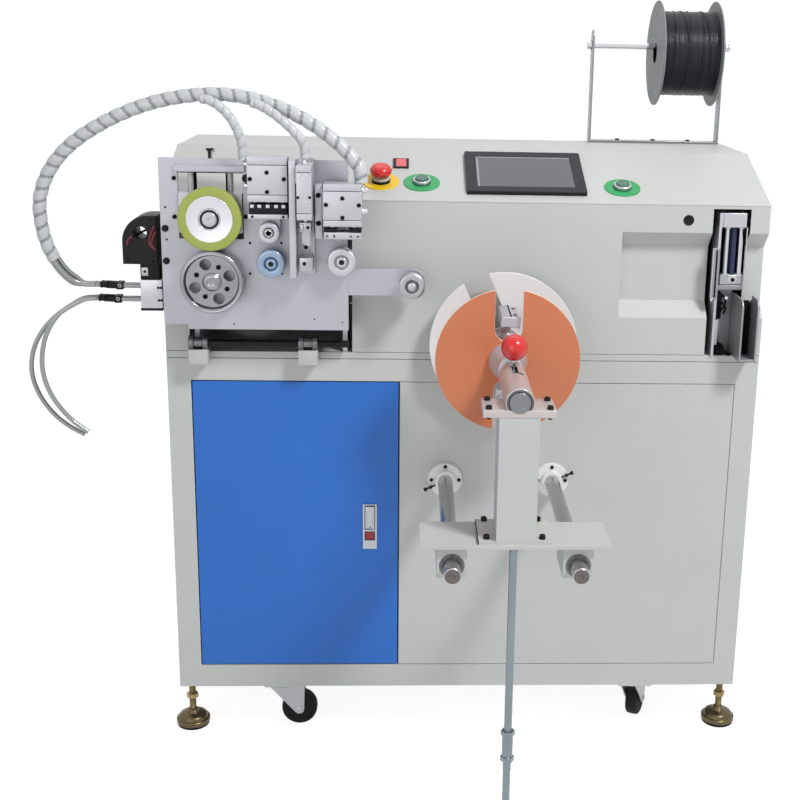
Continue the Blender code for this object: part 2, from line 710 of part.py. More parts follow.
def arc(centre, radius, start, end, steps):
    """Points of an arc, angles in degrees."""
    angles = [math.radians(start + (end - start) * i / steps) for i in range(steps + 1)]
    return [(centre[0] + radius * math.cos(a), centre[1] + radius * math.sin(a)) for a in angles]


def combine(target, others, operation):
    for other in others:
        step = target.modifiers.new(operation, "BOOLEAN")
        step.operation = operation
        step.object = other
        step.solver = "EXACT"
        target = baked(target, weld=MERGE / 50)
        bpy.data.objects.remove(other, do_unlink=True)
    return target


def cut(target, *others):
    return combine(target, others, "DIFFERENCE")


def fuse(target, *others):
    return combine(target, others, "UNION")


def frame_cutter(low, high, width, axis):
    """A groove that runs round a box, cut with a band of this width across one axis."""
    low, high = Vector(low), Vector(high)
    inner_low, inner_high = low.copy(), high.copy()
    for i in range(3):
        if i == axis:
            inner_low[i] -= PAST
            inner_high[i] += PAST
        else:
            inner_low[i] += width
            inner_high[i] -= width
    return cut(block(low, high), block(inner_low, inner_high))


def node(name, shape, finish, pivot=(0, 0, 0), bevel=0.0):
    """Names a finished solid, gives it its own material and puts its origin on its joint's axis."""
    pivot = Vector(pivot)
    shape.data.transform(Matrix.Translation(-pivot))
    shape.name = name
    shape.data.name = name
    cutters.objects.unlink(shape)
    machine_parts.objects.link(shape)
    shape.parent = machine
    shape.location = pivot
    colour, roughness, metallic = FINISHES[finish]
    material = bpy.data.materials.new(name + "_finish")
    material.use_nodes = True
    shader = material.node_tree.nodes["Principled BSDF"]
    shader.inputs["Base Color"].default_value = (*colour, 1.0)
    shader.inputs["Roughness"].default_value = roughness
    shader.inputs["Metallic"].default_value = metallic
    material.diffuse_color = (*colour, 1.0)
    shape.data.materials.clear()
    shape.data.materials.append(material)
    if bevel:
        edge = shape.modifiers.new("edge", "BEVEL")
        edge.width = bevel
        edge.segments = 1
        edge.limit_method = "ANGLE"
        edge.angle_limit = math.radians(60)
    shape.data.shade_smooth()
    shape.data.set_sharp_from_angle(angle=math.radians(35))
    return shape


# Corner positions shared by the feet and the casters
CORNERS = {
    "front_left": (False, False), "front_right": (True, False),
    "rear_left": (False, True), "rear_right": (True, True),
}


def corner_place(corner, inset_x, inset_y):
    on_right, at_rear = CORNERS[corner]
    return (WIDTH - inset_x if on_right else inset_x, DEPTH - inset_y if at_rear else inset_y)


# Cabinet


def vents(wall_y, left, first_z):
    slots = []
    for i in range(VENT_COUNT):
        z = first_z - i * VENT_PITCH
        slots.append(block((left, wall_y - SHEET - PAST, z), (left + VENT_LENGTH, wall_y + PAST, z + VENT_HEIGHT)))
    return slots


def make_cabinet():
    body = block((0, 0, CABINET_BOTTOM), (WIDTH, DEPTH, DECK_TOP))
    inside = block(
        (SHEET, FRONT_FRAME, CABINET_BOTTOM + SHEET), (WIDTH - SHEET, DEPTH - SHEET, CABINET_TOP - SHEET)
    )
    doorway = block((DOOR_LEFT, -PAST, DOOR_BOTTOM), (DOOR_RIGHT, FRONT_FRAME + PAST, DOOR_TOP))
    seam = frame_cutter(
        (-PAST, -PAST, CABINET_TOP), (WIDTH + PAST, DEPTH + PAST, CABINET_TOP + SEAM_HEIGHT),
        PAST + SEAM_DEPTH, axis=2,
    )
    groove = frame_cutter(
        (DOOR_RIGHT - PANEL_GROOVE / 2, -PAST, DOOR_BOTTOM), (PANEL_RIGHT, SHEET, DOOR_TOP),
        PANEL_GROOVE, axis=1,
    )
    body = cut(body, inside, doorway, seam, groove)
    body = cut(body, *vents(DEPTH, WIDTH / 4 - VENT_LENGTH / 2, VENT_Z))
    body = cut(body, *vents(DEPTH, WIDTH * 3 / 4 - VENT_LENGTH / 2, VENT_Z))
    for corner in CORNERS:
        x, y = corner_place(corner, FOOT_INSET_X, FOOT_INSET_Y)
        half = BOSS_SIZE / 2
        boss = block(
            (max(x - half, SINK), max(y - half, SINK), CABINET_BOTTOM + SINK),
            (min(x + half, WIDTH - SINK), min(y + half, DEPTH - SINK), CABINET_BOTTOM + BOSS_HEIGHT),
        )
        body = fuse(body, boss)
        hole = drill(
            (x, y, CABINET_BOTTOM - PAST), (x, y, CABINET_BOTTOM + STUD_IN_CABINET + SEAT), STUD_RADIUS, TINY
        )
        body = cut(body, hole)
        x, y = corner_place(corner, CASTER_INSET_X, CASTER_INSET_Y)
        half = CASTER_PLATE / 2
        plate_bottom = CABINET_BOTTOM - CASTER_PLATE_THICKNESS
        fork_top = plate_bottom - SLIDE
        plate = block((x - half, y - half, plate_bottom), (x + half, y + half, CABINET_BOTTOM + SINK))
        pin = rod((x, y, plate_bottom + SINK), (x, y, fork_top - CASTER_SHEET - 2 * SLIDE), KINGPIN)
        head_top = fork_top - CASTER_SHEET - SLIDE
        head = rod((x, y, head_top), (x, y, head_top - CASTER_SHEET), KINGPIN_HEAD)
        body = fuse(body, plate, pin, head)
    for x in RAIL_XS.values():
        body = cut(body, drill((x, -PAST, RAIL_Z), (x, RAIL_IN_WALL + SEAT, RAIL_Z), RAIL_RADIUS))
    hinge_x = DOOR_LEFT + DOOR_GAP + HINGE_INSET
    for low, high in (
        (DOOR_BOTTOM - HINGE_PIN_LENGTH, DOOR_BOTTOM + PAST), (DOOR_TOP - PAST, DOOR_TOP + HINGE_PIN_LENGTH),
    ):
        body = cut(body, drill((hinge_x, HINGE_INSET, low), (hinge_x, HINGE_INSET, high), HINGE_PIN, TINY))
    node("cabinet", body, "painted grey")


def make_foot(corner):
    x, y = corner_place(corner, FOOT_INSET_X, FOOT_INSET_Y)
    foot = turned(
        [
            (0, CABINET_BOTTOM + STUD_IN_CABINET), (STUD_RADIUS, CABINET_BOTTOM + STUD_IN_CABINET),
            (STUD_RADIUS, FOOT_CROWN + FOOT_NECK), (FOOT_NECK, FOOT_CROWN + FOOT_NECK / 2), (FOOT_NECK, FOOT_CROWN),
            (FOOT_RADIUS * 0.72, FOOT_CROWN - 0.001), (FOOT_RADIUS, FOOT_PAD), (FOOT_RADIUS, 0.003),
            (FOOT_RADIUS - 0.003, 0), (0, 0),
        ],
        (x, y, 0), sides=SMALL,
    )
    nut = rod((x, y, NUT_BOTTOM), (x, y, NUT_BOTTOM + NUT_HEIGHT), NUT_RADIUS, 6)
    node("levelling_foot_" + corner, fuse(foot, nut), "yellow zinc")


# Door with its latch


def make_door():
    left, right = DOOR_LEFT + DOOR_GAP, DOOR_RIGHT - DOOR_GAP
    bottom, top = DOOR_BOTTOM + DOOR_GAP, DOOR_TOP - DOOR_GAP
    door = block((left, 0, bottom), (right, DOOR_THICKNESS, top))
    pan = block(
        (left + DOOR_LIP, SHEET, bottom + DOOR_LIP), (right - DOOR_LIP, DOOR_THICKNESS + PAST, top - DOOR_LIP)
    )
    door = cut(door, pan)
    case = block(
        (LATCH_X - LATCH_WIDTH / 2, -LATCH_PROUD, LATCH_Z - LATCH_HEIGHT / 2),
        (LATCH_X + LATCH_WIDTH / 2, LATCH_DEPTH, LATCH_Z + LATCH_HEIGHT / 2),
    )
    half = HANDLE_WIDTH / 2 + SLIDE
    handle_pocket = block(
        (LATCH_X - half, -PAST, HANDLE_TOP - HANDLE_HEIGHT - SLIDE),
        (LATCH_X + half, HANDLE_THICKNESS + SHEET, HANDLE_TOP + HANDLE_SWING_ROOM),
    )
    button_pocket = block(
        (LATCH_X - half, -PAST, BUTTON_BOTTOM - SLIDE),
        (LATCH_X + half, BUTTON_THICKNESS + BUTTON_TRAVEL, BUTTON_BOTTOM + BUTTON_HEIGHT + SLIDE),
    )
    pivot_z = HANDLE_TOP - HANDLE_PIVOT_DROP
    pin_hole = drill(
        (LATCH_X - LATCH_WIDTH / 2 + 0.001, HANDLE_PIVOT_Y, pivot_z),
        (LATCH_X + LATCH_WIDTH / 2 - 0.001, HANDLE_PIVOT_Y, pivot_z), HANDLE_PIN, TINY,
    )
    door = cut(fuse(door, case), handle_pocket, button_pocket, pin_hole)
    hinge = (left + HINGE_INSET, HINGE_INSET, 0)
    for low, high in (
        (bottom - DOOR_GAP - HINGE_PIN_LENGTH + 2 * RUN, bottom + SHEET),
        (top - SHEET, top + DOOR_GAP + HINGE_PIN_LENGTH - 2 * RUN),
    ):
        door = fuse(door, rod((hinge[0], hinge[1], low), (hinge[0], hinge[1], high), HINGE_PIN, TINY))
    node("door", door, "painted blue", pivot=(hinge[0], hinge[1], bottom))
    handle = block(
        (LATCH_X - HANDLE_WIDTH / 2, -SLIDE, HANDLE_TOP - HANDLE_HEIGHT),
        (LATCH_X + HANDLE_WIDTH / 2, HANDLE_THICKNESS - SLIDE, HANDLE_TOP),
    )
    pin = rod(
        (LATCH_X - LATCH_WIDTH / 2 + 0.0015, HANDLE_PIVOT_Y, pivot_z),
        (LATCH_X + LATCH_WIDTH / 2 - 0.0015, HANDLE_PIVOT_Y, pivot_z), HANDLE_PIN, TINY,
    )
    node("latch_handle", fuse(handle, pin), "aluminium", pivot=(LATCH_X, HANDLE_PIVOT_Y, pivot_z))
    button = block(
        (LATCH_X - HANDLE_WIDTH / 2, -LATCH_PROUD, BUTTON_BOTTOM),
        (LATCH_X + HANDLE_WIDTH / 2, BUTTON_THICKNESS - LATCH_PROUD, BUTTON_BOTTOM + BUTTON_HEIGHT),
    )
    node("latch_button", button, "red plastic", pivot=(LATCH_X, 0, BUTTON_BOTTOM), bevel=0.0008)


# Casters


def make_caster(corner):
    x, y = corner_place(corner, CASTER_INSET_X, CASTER_INSET_Y)
    axle_z = CASTER_LIFT + CASTER_WHEEL
    top = CABINET_BOTTOM - CASTER_PLATE_THICKNESS - SLIDE
    turn = Matrix.Translation((x, y, 0)) @ Matrix.Rotation(math.radians(CASTER_TURNS[corner]), 4, "Z")
    half = CASTER_WIDTH / 2 + FORK_CHEEK_GAP
    ring = rod((0, 0, top - CASTER_SHEET), (0, 0, top), FORK_TOP_RADIUS, SMALL + 4)
    roof = block((-FORK_TOP_RADIUS * 0.7, -half, top - CASTER_SHEET), (CASTER_TRAIL, half, top))
    fork = fuse(ring, roof)
    cheek_outline = [(-FORK_TOP_RADIUS, top), (-FORK_TOP_RADIUS, top - 2 * CASTER_SHEET)]
    cheek_outline += arc((CASTER_TRAIL, axle_z), 2.2 * CASTER_AXLE, 225, 360, 5)
    cheek_outline += [(CASTER_TRAIL + 2.6 * CASTER_AXLE, top)]
    for side in (-1, 1):
        inner, outer = sorted((side * half, side * (half + CASTER_SHEET)))
        fork = fuse(fork, slab(cheek_outline, inner - SINK * (side > 0), outer + SINK * (side < 0)))
    fork = cut(fork, drill((0, 0, top + PAST), (0, 0, top - CASTER_SHEET - PAST), KINGPIN))
    reach = half + CASTER_SHEET + 0.002
    fork = fuse(fork, rod((CASTER_TRAIL, -reach, axle_z), (CASTER_TRAIL, reach, axle_z), CASTER_AXLE, TINY))
    node("caster_fork_" + corner, moved(fork, turn), "steel", pivot=(x, y, top))
    edge = CASTER_WIDTH / 2
    wheel = turned(
        [
            (CASTER_AXLE + 2 * RUN, edge), (CASTER_WHEEL - CASTER_TREAD, edge), (CASTER_WHEEL, edge - CASTER_TREAD),
            (CASTER_WHEEL, CASTER_TREAD - edge), (CASTER_WHEEL - CASTER_TREAD, -edge), (CASTER_AXLE + 2 * RUN, -edge),
        ],
        (CASTER_TRAIL, 0, axle_z), "-Y", SMALL + 4,
    )
    centre = turn @ Vector((CASTER_TRAIL, 0, axle_z))
    node("caster_wheel_" + corner, moved(wheel, turn), "black rubber", pivot=centre)


# Upper housing and what sits on its slope

SLOPE_ANGLE = math.atan2(HOUSING_TOP - SLOPE_BOTTOM, SLOPE_DEPTH)
SLOPE = Matrix.Translation((0, 0, SLOPE_BOTTOM)) @ Matrix.Rotation(SLOPE_ANGLE, 4, "X")


def slope_point(x, up, rise=0.0):
    return SLOPE @ Vector((x, up, rise))


def on_slope(shape, x, up):
    return moved(shape, SLOPE @ Matrix.Translation((x, up, 0)))


def trough_profile(grow):
    return [
        (-PAST, TROUGH_TOP + PAST + grow), (TROUGH_DEPTH + grow, TROUGH_TOP - TROUGH_DEPTH + grow),
        (TROUGH_DEPTH + grow, TROUGH_BOTTOM + TROUGH_DEPTH - grow), (-PAST, TROUGH_BOTTOM - PAST - grow),
    ]


def roof_line(below):
    """The profile of the slope and the top from the back to the front, some way under their outer face."""
    return [
        (DEPTH, HOUSING_TOP - below), (SLOPE_DEPTH + below * math.tan(SLOPE_ANGLE / 2), HOUSING_TOP - below),
        (0, SLOPE_BOTTOM - below / math.cos(SLOPE_ANGLE)),
    ]


def make_housing():
    """The walls, open at the top, with the recess, the feed head's opening and the tying slot."""
    outside = slab([(0, HOUSING_BOTTOM), (DEPTH, HOUSING_BOTTOM), *roof_line(SHEET + SEAT)], 0, WIDTH, "YZ")
    cavity = block((SHEET, SHEET, HOUSING_BOTTOM - PAST), (WIDTH - SHEET, DEPTH - SHEET, HOUSING_TOP + PAST))
    cavity = cut(cavity, slab(trough_profile(SHEET), TROUGH_LEFT - SHEET, WIDTH + PAST, "YZ"))
    body = cut(outside, cavity, slab(trough_profile(0), TROUGH_LEFT, WIDTH + PAST, "YZ"))
    body = cut(
        body,
        block(
            (HEAD_OPENING_LEFT, -PAST, HOUSING_BOTTOM - PAST), (HEAD_OPENING_RIGHT, SHEET + PAST, HEAD_OPENING_TOP)
        ),
        block((SLOT_LEFT, -PAST, HOUSING_BOTTOM - PAST), (SLOT_RIGHT, SLOT_CUT_DEPTH, SLOT_TOP)),
        rod((WINDING_X, -PAST, WINDING_Z), (WINDING_X, SHEET + PAST, WINDING_Z), WINDING_NOSE + SLIDE),
    )
    body = cut(body, *vents(DEPTH, WIDTH / 2 - VENT_LENGTH / 2, HOUSING_TOP - 0.06))
    node("housing", body, "painted grey")


def make_housing_cover():
    """The folded sheet over the slope and the top, with what the controls stand in."""
    body = slab(roof_line(0) + roof_line(SHEET)[::-1], 0, WIDTH, "YZ")
    for x, up, height in (
        (ESTOP_X, ESTOP_UP, ESTOP_COLLAR_HEIGHT), (START_X, START_UP, BEZEL_HEIGHT), (RESET_X, RESET_UP, BEZEL_HEIGHT),
    ):
        collar = ESTOP_COLLAR if x == ESTOP_X else BEZEL_RADIUS
        bore = ESTOP_STEM if x == ESTOP_X else PUSH_RADIUS
        legend = turned(
            [
                (0, height), (collar, height), (collar, LEGEND_THICKNESS), (LEGEND_RADIUS, LEGEND_THICKNESS),
                (LEGEND_RADIUS, -SINK), (0, -SINK),
            ],
            sides=SMALL + 4,
        )
        bore_cut = drill((0, 0, -SHEET - PAST), (0, 0, height + PAST), bore)
        body = cut(fuse(body, on_slope(legend, x, up)), on_slope(bore_cut, x, up))
    half_x, half_up = ROCKER_BEZEL_WIDTH / 2, ROCKER_BEZEL_HEIGHT / 2
    bezel = block((-half_x, -half_up, -SINK), (half_x, half_up, ROCKER_BEZEL_PROUD))
    hole_x, hole_up = ROCKER_WIDTH / 2 + SLIDE, ROCKER_HEIGHT / 2 + 2 * SLIDE
    hole = block((-hole_x, -hole_up, -SHEET - PAST), (hole_x, hole_up, ROCKER_BEZEL_PROUD + PAST))
    body = cut(fuse(body, on_slope(bezel, ROCKER_X, ROCKER_UP)), on_slope(hole, ROCKER_X, ROCKER_UP))
    node("housing_cover", body, "painted grey")


def make_controls():
    head_low = ESTOP_COLLAR_HEIGHT + ESTOP_TRAVEL + SLIDE
    head_top = head_low + ESTOP_HEAD_HEIGHT
    estop = turned(
        [
            (0, head_top), (ESTOP_HEAD * 0.55, head_top - 0.0012), (ESTOP_HEAD * 0.9, head_top - 0.005),
            (ESTOP_HEAD, head_top - 0.009), (ESTOP_HEAD * 0.92, head_low + 0.001), (ESTOP_HEAD * 0.6, head_low),
            (ESTOP_STEM, head_low), (ESTOP_STEM, -PUSH_DEPTH), (0, -PUSH_DEPTH),
        ],
        sides=SMALL + 4,
    )
    node(
        "emergency_stop_button", on_slope(estop, ESTOP_X, ESTOP_UP), "red plastic",
        pivot=slope_point(ESTOP_X, ESTOP_UP),
    )
    for name, x, up in (("start_button", START_X, START_UP), ("reset_button", RESET_X, RESET_UP)):
        top = BEZEL_HEIGHT + PUSH_PROUD
        push = turned(
            [(0, top), (PUSH_RADIUS * 0.7, top - 0.0005), (PUSH_RADIUS, top - 0.002), (PUSH_RADIUS, -PUSH_DEPTH),
             (0, -PUSH_DEPTH)],
            sides=SMALL + 4,
        )
        node(name, on_slope(push, x, up), "green plastic", pivot=slope_point(x, up))
    half, rise = ROCKER_HEIGHT / 2, ROCKER_BEZEL_PROUD
    rocker = slab(
        [(-half, -ROCKER_DEPTH / 3), (0, -ROCKER_DEPTH), (half, -ROCKER_DEPTH / 3), (half, rise), (0, rise - 0.001),
         (-half, rise)],
        -ROCKER_WIDTH / 2, ROCKER_WIDTH / 2, "YZ",
    )
    rocker = moved(rocker, Matrix.Rotation(math.radians(-ROCKER_TILT), 4, "X"))
    node("rocker_switch", on_slope(rocker, ROCKER_X, ROCKER_UP), "red plastic", pivot=slope_point(ROCKER_X, ROCKER_UP))
    half_x, half_up = SCREEN_WIDTH / 2, SCREEN_HEIGHT / 2
    panel = block((-half_x, -half_up, SEAT), (half_x, half_up, SCREEN_PROUD))
    glass = block(
        (-half_x + SCREEN_BORDER, -half_up + SCREEN_BORDER, SCREEN_PROUD - SCREEN_RECESS),
        (half_x - SCREEN_BORDER, half_up - SCREEN_BORDER, SCREEN_PROUD + PAST),
    )
    node("touch_screen", on_slope(cut(panel, glass), SCREEN_X, SCREEN_UP), "black plastic")


# Feed head


def make_feed_plate():
    plate = block((PLATE_LEFT, PLATE_FRONT, PLATE_BOTTOM), (PLATE_RIGHT, PLATE_BACK, PLATE_TOP))
    window = block(
        (WINDOW_LEFT, PLATE_FRONT - PAST, WINDOW_BOTTOM), (WINDOW_RIGHT, PLATE_BACK + PAST, WINDOW_TOP)
    )
    notch = block(
        (PLATE_LEFT - PAST, PLATE_FRONT - PAST, PLATE_BOTTOM - PAST),
        (PLATE_LEFT + PLATE_NOTCH_WIDTH, PLATE_BACK + PAST, PLATE_BOTTOM + PLATE_NOTCH_HEIGHT),
    )
    plate = cut(plate, window, notch)
    middle = (PLATE_FRONT + PLATE_BACK) / 2
    for x in (WINDOW_LEFT + GUIDE_BAR_INSET, WINDOW_RIGHT - GUIDE_BAR_INSET):
        bar = rod((x, middle, WINDOW_BOTTOM - PAST), (x, middle, WINDOW_TOP + PAST), GUIDE_BAR_RADIUS, TINY)
        plate = fuse(plate, bar)
    cross_bar = block(
        (WINDOW_LEFT - PAST, PLATE_FRONT - CROSS_BAR_PROUD, WINDOW_TOP - CROSS_BAR_HEIGHT),
        (WINDOW_RIGHT + PAST, PLATE_FRONT + SINK, WINDOW_TOP + SINK),
    )
    adjuster = rod((WHEEL_X, middle, PLATE_TOP - PAST), (WHEEL_X, middle, PLATE_TOP + ADJUSTER_RISE), ADJUSTER_RADIUS, TINY)
    head_z = PLATE_TOP + ADJUSTER_RISE
    head = rod(
        (WHEEL_X - ADJUSTER_HEAD, middle, head_z - ADJUSTER_RADIUS),
        (WHEEL_X + ADJUSTER_HEAD, middle, head_z - ADJUSTER_RADIUS), ADJUSTER_RADIUS * 1.2, TINY,
    )
    plate = fuse(plate, cross_bar, adjuster, head)
    arm_z = (ARM_BOTTOM + ARM_TOP) / 2
    arm_radius = (ARM_TOP - ARM_BOTTOM) / 2
    arm = slab(
        [(PLATE_RIGHT - PAST, ARM_BOTTOM)] + arc((ARM_END_X, arm_z), arm_radius, -90, 90, 12)
        + [(PLATE_RIGHT - PAST, ARM_TOP)],
        PLATE_FRONT + SINK, PLATE_BACK - SINK,
    )
    pulley_front = PLATE_FRONT - PULLEY_GAP - PULLEY_WIDTH
    stud = rod((ARM_END_X, PLATE_BACK - 2 * SINK, arm_z), (ARM_END_X, pulley_front - 2 * RUN, arm_z), PULLEY_STUD)
    spacer = rod((ARM_END_X, PLATE_FRONT + 2 * SINK, arm_z), (ARM_END_X, PLATE_FRONT - PULLEY_GAP + RUN, arm_z), PULLEY_NUT)
    nut = rod((ARM_END_X, pulley_front - RUN, arm_z), (ARM_END_X, pulley_front - PULLEY_STUD, arm_z), PULLEY_NUT, 6)
    plate = fuse(plate, arm, stud, spacer, nut)
    cheek = [
        (PLATE_BACK - SINK, PLATE_BOTTOM + CHEEK_LIFT), (CHEEK_FOOT, PLATE_BOTTOM + CHEEK_LIFT),
        (CHEEK_FOOT, DECK_TOP + SEAT), (CHEEK_BACK, DECK_TOP + SEAT),
        (CHEEK_BACK, CHEEK_TOP - CHEEK_SLOPE), (CHEEK_BACK / 2, CHEEK_TOP),
        (PLATE_BACK - SINK, CHEEK_TOP),
    ]
    for left in (HEAD_OPENING_LEFT + CHEEK_LIFT, HEAD_OPENING_RIGHT - 2 * CHEEK_LIFT):
        plate = fuse(plate, slab(cheek, left, left + CHEEK_THICKNESS, "YZ"))
    for x, z, radius in (
        (WHEEL_X, LOWER_WHEEL_Z, LOWER_SHAFT), (MEASURE_X, MEASURE_Z, ROLLER_SHAFT),
        (RIGHT_ROLLER_X, RIGHT_ROLLER_Z, ROLLER_SHAFT),
    ):
        plate = cut(plate, drill((x, PLATE_FRONT - PAST, z), (x, PLATE_BACK + PAST, z), radius))
    node("feed_plate", plate, "aluminium")


def make_feed_motor():
    half = MOTOR_SIZE / 2
    front = PLATE_BACK + SEAT
    motor = block(
        (WHEEL_X - half, front, LOWER_WHEEL_Z - half), (WHEEL_X + half, front + MOTOR_LENGTH, LOWER_WHEEL_Z + half)
    )
    bore = drill(
        (WHEEL_X, front - PAST, LOWER_WHEEL_Z), (WHEEL_X, front + SHAFT_IN_MOTOR + SEAT, LOWER_WHEEL_Z),
        LOWER_SHAFT,
    )
    node("feed_motor", cut(motor, bore), "black plastic")


def make_lower_wheel():
    front = WHEEL_WIDTH
    rim = WHEEL_RADIUS - WHEEL_RIM
    back = PLATE_BACK + SHAFT_IN_MOTOR - WHEEL_BACK
    wheel = turned(
        [
            (0, front - 0.002), (WHEEL_HUB * 0.6, front - 0.002), (WHEEL_HUB, front - WHEEL_WEB),
            (rim, front - WHEEL_WEB), (rim, front), (WHEEL_RADIUS, front), (WHEEL_RADIUS, 0), (LOWER_SHAFT, 0), (LOWER_SHAFT, -back), (0, -back),
        ],
        (WHEEL_X, WHEEL_BACK, LOWER_WHEEL_Z), "-Y",
    )
    for i in range(WHEEL_HOLES):
        angle = math.radians(20 + 360 * i / WHEEL_HOLES)
        x = WHEEL_X + WHEEL_HOLE_CIRCLE * math.cos(angle)
        z = LOWER_WHEEL_Z + WHEEL_HOLE_CIRCLE * math.sin(angle)
        wheel = cut(wheel, rod((x, WHEEL_BACK + PAST, z), (x, WHEEL_BACK - front - PAST, z), WHEEL_HOLE, TINY + 2))
    node("lower_feed_wheel", wheel, "steel", pivot=(WHEEL_X, WHEEL_BACK, LOWER_WHEEL_Z))


def make_upper_wheel():
    front = WHEEL_WIDTH
    middle = (PLATE_FRONT + PLATE_BACK) / 2
    carriage_back = middle + CARRIAGE_THICKNESS / 2
    back = carriage_back - WHEEL_BACK
    wheel = turned(
        [
            (0, front + 0.002), (UPPER_SHAFT, front + 0.002), (UPPER_SHAFT, front), (UPPER_SHAFT * 1.6, front),
            (TYRE_BORE, front - 0.001), (TYRE_BORE + 0.001, front), (WHEEL_RADIUS, front), (WHEEL_RADIUS, 0),
            (UPPER_SHAFT, 0),
            (UPPER_SHAFT, -back), (0, -back),
        ],
        (WHEEL_X, WHEEL_BACK, UPPER_WHEEL_Z), "-Y",
    )
    node("upper_feed_wheel", wheel, "tyre green", pivot=(WHEEL_X, WHEEL_BACK, UPPER_WHEEL_Z))
    half = CARRIAGE_THICKNESS / 2
    low = UPPER_WHEEL_Z - CARRIAGE_BELOW
    carriage = block(
        (WINDOW_LEFT + 2 * SLIDE, middle - half, low), (WINDOW_RIGHT - 2 * SLIDE, middle + half, low + CARRIAGE_HEIGHT)
    )
    for x in (WINDOW_LEFT + GUIDE_BAR_INSET, WINDOW_RIGHT - GUIDE_BAR_INSET):
        bore = drill((x, middle, low - PAST), (x, middle, low + CARRIAGE_HEIGHT + PAST), GUIDE_BAR_RADIUS, TINY)
        carriage = cut(carriage, bore)
    bore = drill((WHEEL_X, middle - half - PAST, UPPER_WHEEL_Z), (WHEEL_X, middle + half + PAST, UPPER_WHEEL_Z), UPPER_SHAFT)
    node("wheel_carriage", cut(carriage, bore), "aluminium", pivot=(WHEEL_X, middle, UPPER_WHEEL_Z))


def make_press():
    back = PLATE_FRONT - SEAT
    front = back - PRESS_DEPTH
    middle_x = (PRESS_LEFT + PRESS_RIGHT) / 2
    middle_y = (front + back) / 2
    cylinder = block((PRESS_LEFT, front, PRESS_BOTTOM), (PRESS_RIGHT, back, PRESS_TOP))
    rods_x = (PRESS_LEFT + PRESS_ROD_INSET, middle_x, PRESS_RIGHT - PRESS_ROD_INSET)
    bar_top = PRESS_BOTTOM - PRESS_HEAD_GAP
    rod_top = bar_top + PRESS_ROD_LENGTH
    for x in rods_x:
        bore = drill((x, middle_y, PRESS_BOTTOM - PAST), (x, middle_y, rod_top + SEAT), PRESS_ROD, TINY)
        cylinder = cut(cylinder, bore)
    for z in (PRESS_TOP - 0.012, PRESS_TOP - 0.046):
        fitting = rod((PRESS_LEFT + SINK, middle_y, z), (PRESS_LEFT - FITTING_LENGTH, middle_y, z), FITTING_RADIUS, TINY)
        cylinder = fuse(cylinder, fitting)
    node("press_cylinder", cylinder, "aluminium", bevel=0.0006)
    bar_low = bar_top - PRESS_BLACK_HEIGHT - PRESS_BAR_HEIGHT
    bar = block((PRESS_LEFT + 0.002, front + 0.002, bar_low + PRESS_BAR_HEIGHT - SINK), (PRESS_RIGHT - 0.002, back - 0.002, bar_top))
    foot = block((PRESS_LEFT, front, bar_low), (PRESS_RIGHT, back - 0.001, bar_low + PRESS_BAR_HEIGHT))
    tongue_back = ROLLER_BACK + SEAT + TONGUE_THICKNESS
    half = TONGUE_WIDTH / 2
    tongue = slab(
        [(PRESS_ROLLER_X + half, bar_low + SINK), (PRESS_ROLLER_X - half, bar_low + SINK),
         (PRESS_ROLLER_X - half, PRESS_ROLLER_Z + 0.004)]
        + arc((PRESS_ROLLER_X, PRESS_ROLLER_Z), PRESS_ROLLER_RADIUS * 0.6, 200, 340, 6)
        + [(PRESS_ROLLER_X + half, PRESS_ROLLER_Z + 0.004)],
        tongue_back - TONGUE_THICKNESS, tongue_back,
    )
    slide = fuse(foot, bar, tongue)
    for x in rods_x:
        slide = fuse(slide, rod((x, middle_y, bar_top - SINK), (x, middle_y, rod_top), PRESS_ROD, TINY))
    roller_front = ROLLER_BACK - ROLLER_WIDTH
    stud = rod(
        (PRESS_ROLLER_X, tongue_back - SINK, PRESS_ROLLER_Z), (PRESS_ROLLER_X, roller_front - 0.003, PRESS_ROLLER_Z),
        ROLLER_SHAFT, TINY,
    )
    nut = rod((PRESS_ROLLER_X, roller_front - SEAT, PRESS_ROLLER_Z), (PRESS_ROLLER_X, roller_front - 0.003, PRESS_ROLLER_Z), 0.006, 6)
    node("press_slide", fuse(slide, stud, nut), "aluminium", pivot=(PRESS_ROLLER_X, tongue_back, PRESS_ROLLER_Z))
    roller = roller_with_bore(PRESS_ROLLER_RADIUS, ROLLER_SHAFT + RUN, (PRESS_ROLLER_X, ROLLER_BACK, PRESS_ROLLER_Z))
    node("press_roller", roller, "aluminium", pivot=(PRESS_ROLLER_X, ROLLER_BACK, PRESS_ROLLER_Z))


def roller_with_bore(radius, bore, centre, width=ROLLER_WIDTH):
    groove = width / 2
    return turned(
        [
            (bore, width), (radius, width), (radius, groove + 0.003), (radius - ROLLER_GROOVE, groove),
            (radius, groove - 0.003), (radius, 0), (bore, 0),
        ],
        centre, "-Y", SMALL + 4,
    )


def roller_with_shaft(radius, centre, shaft_back):
    """A grooved roller whose hub and shaft run back through the feed plate."""
    hub = PLATE_FRONT - RUN - centre[1]
    tail = shaft_back - centre[1]
    groove = ROLLER_WIDTH / 2
    face = ROLLER_WIDTH
    return turned(
        [
            (0, face), (radius, face), (radius, groove + 0.003), (radius - ROLLER_GROOVE, groove),
            (radius, groove - 0.003), (radius, 0), (ROLLER_HUB, 0), (ROLLER_HUB, -hub), (ROLLER_SHAFT, -hub),
            (ROLLER_SHAFT, -tail), (0, -tail),
        ],
        centre, "-Y", SMALL + 4,
    )


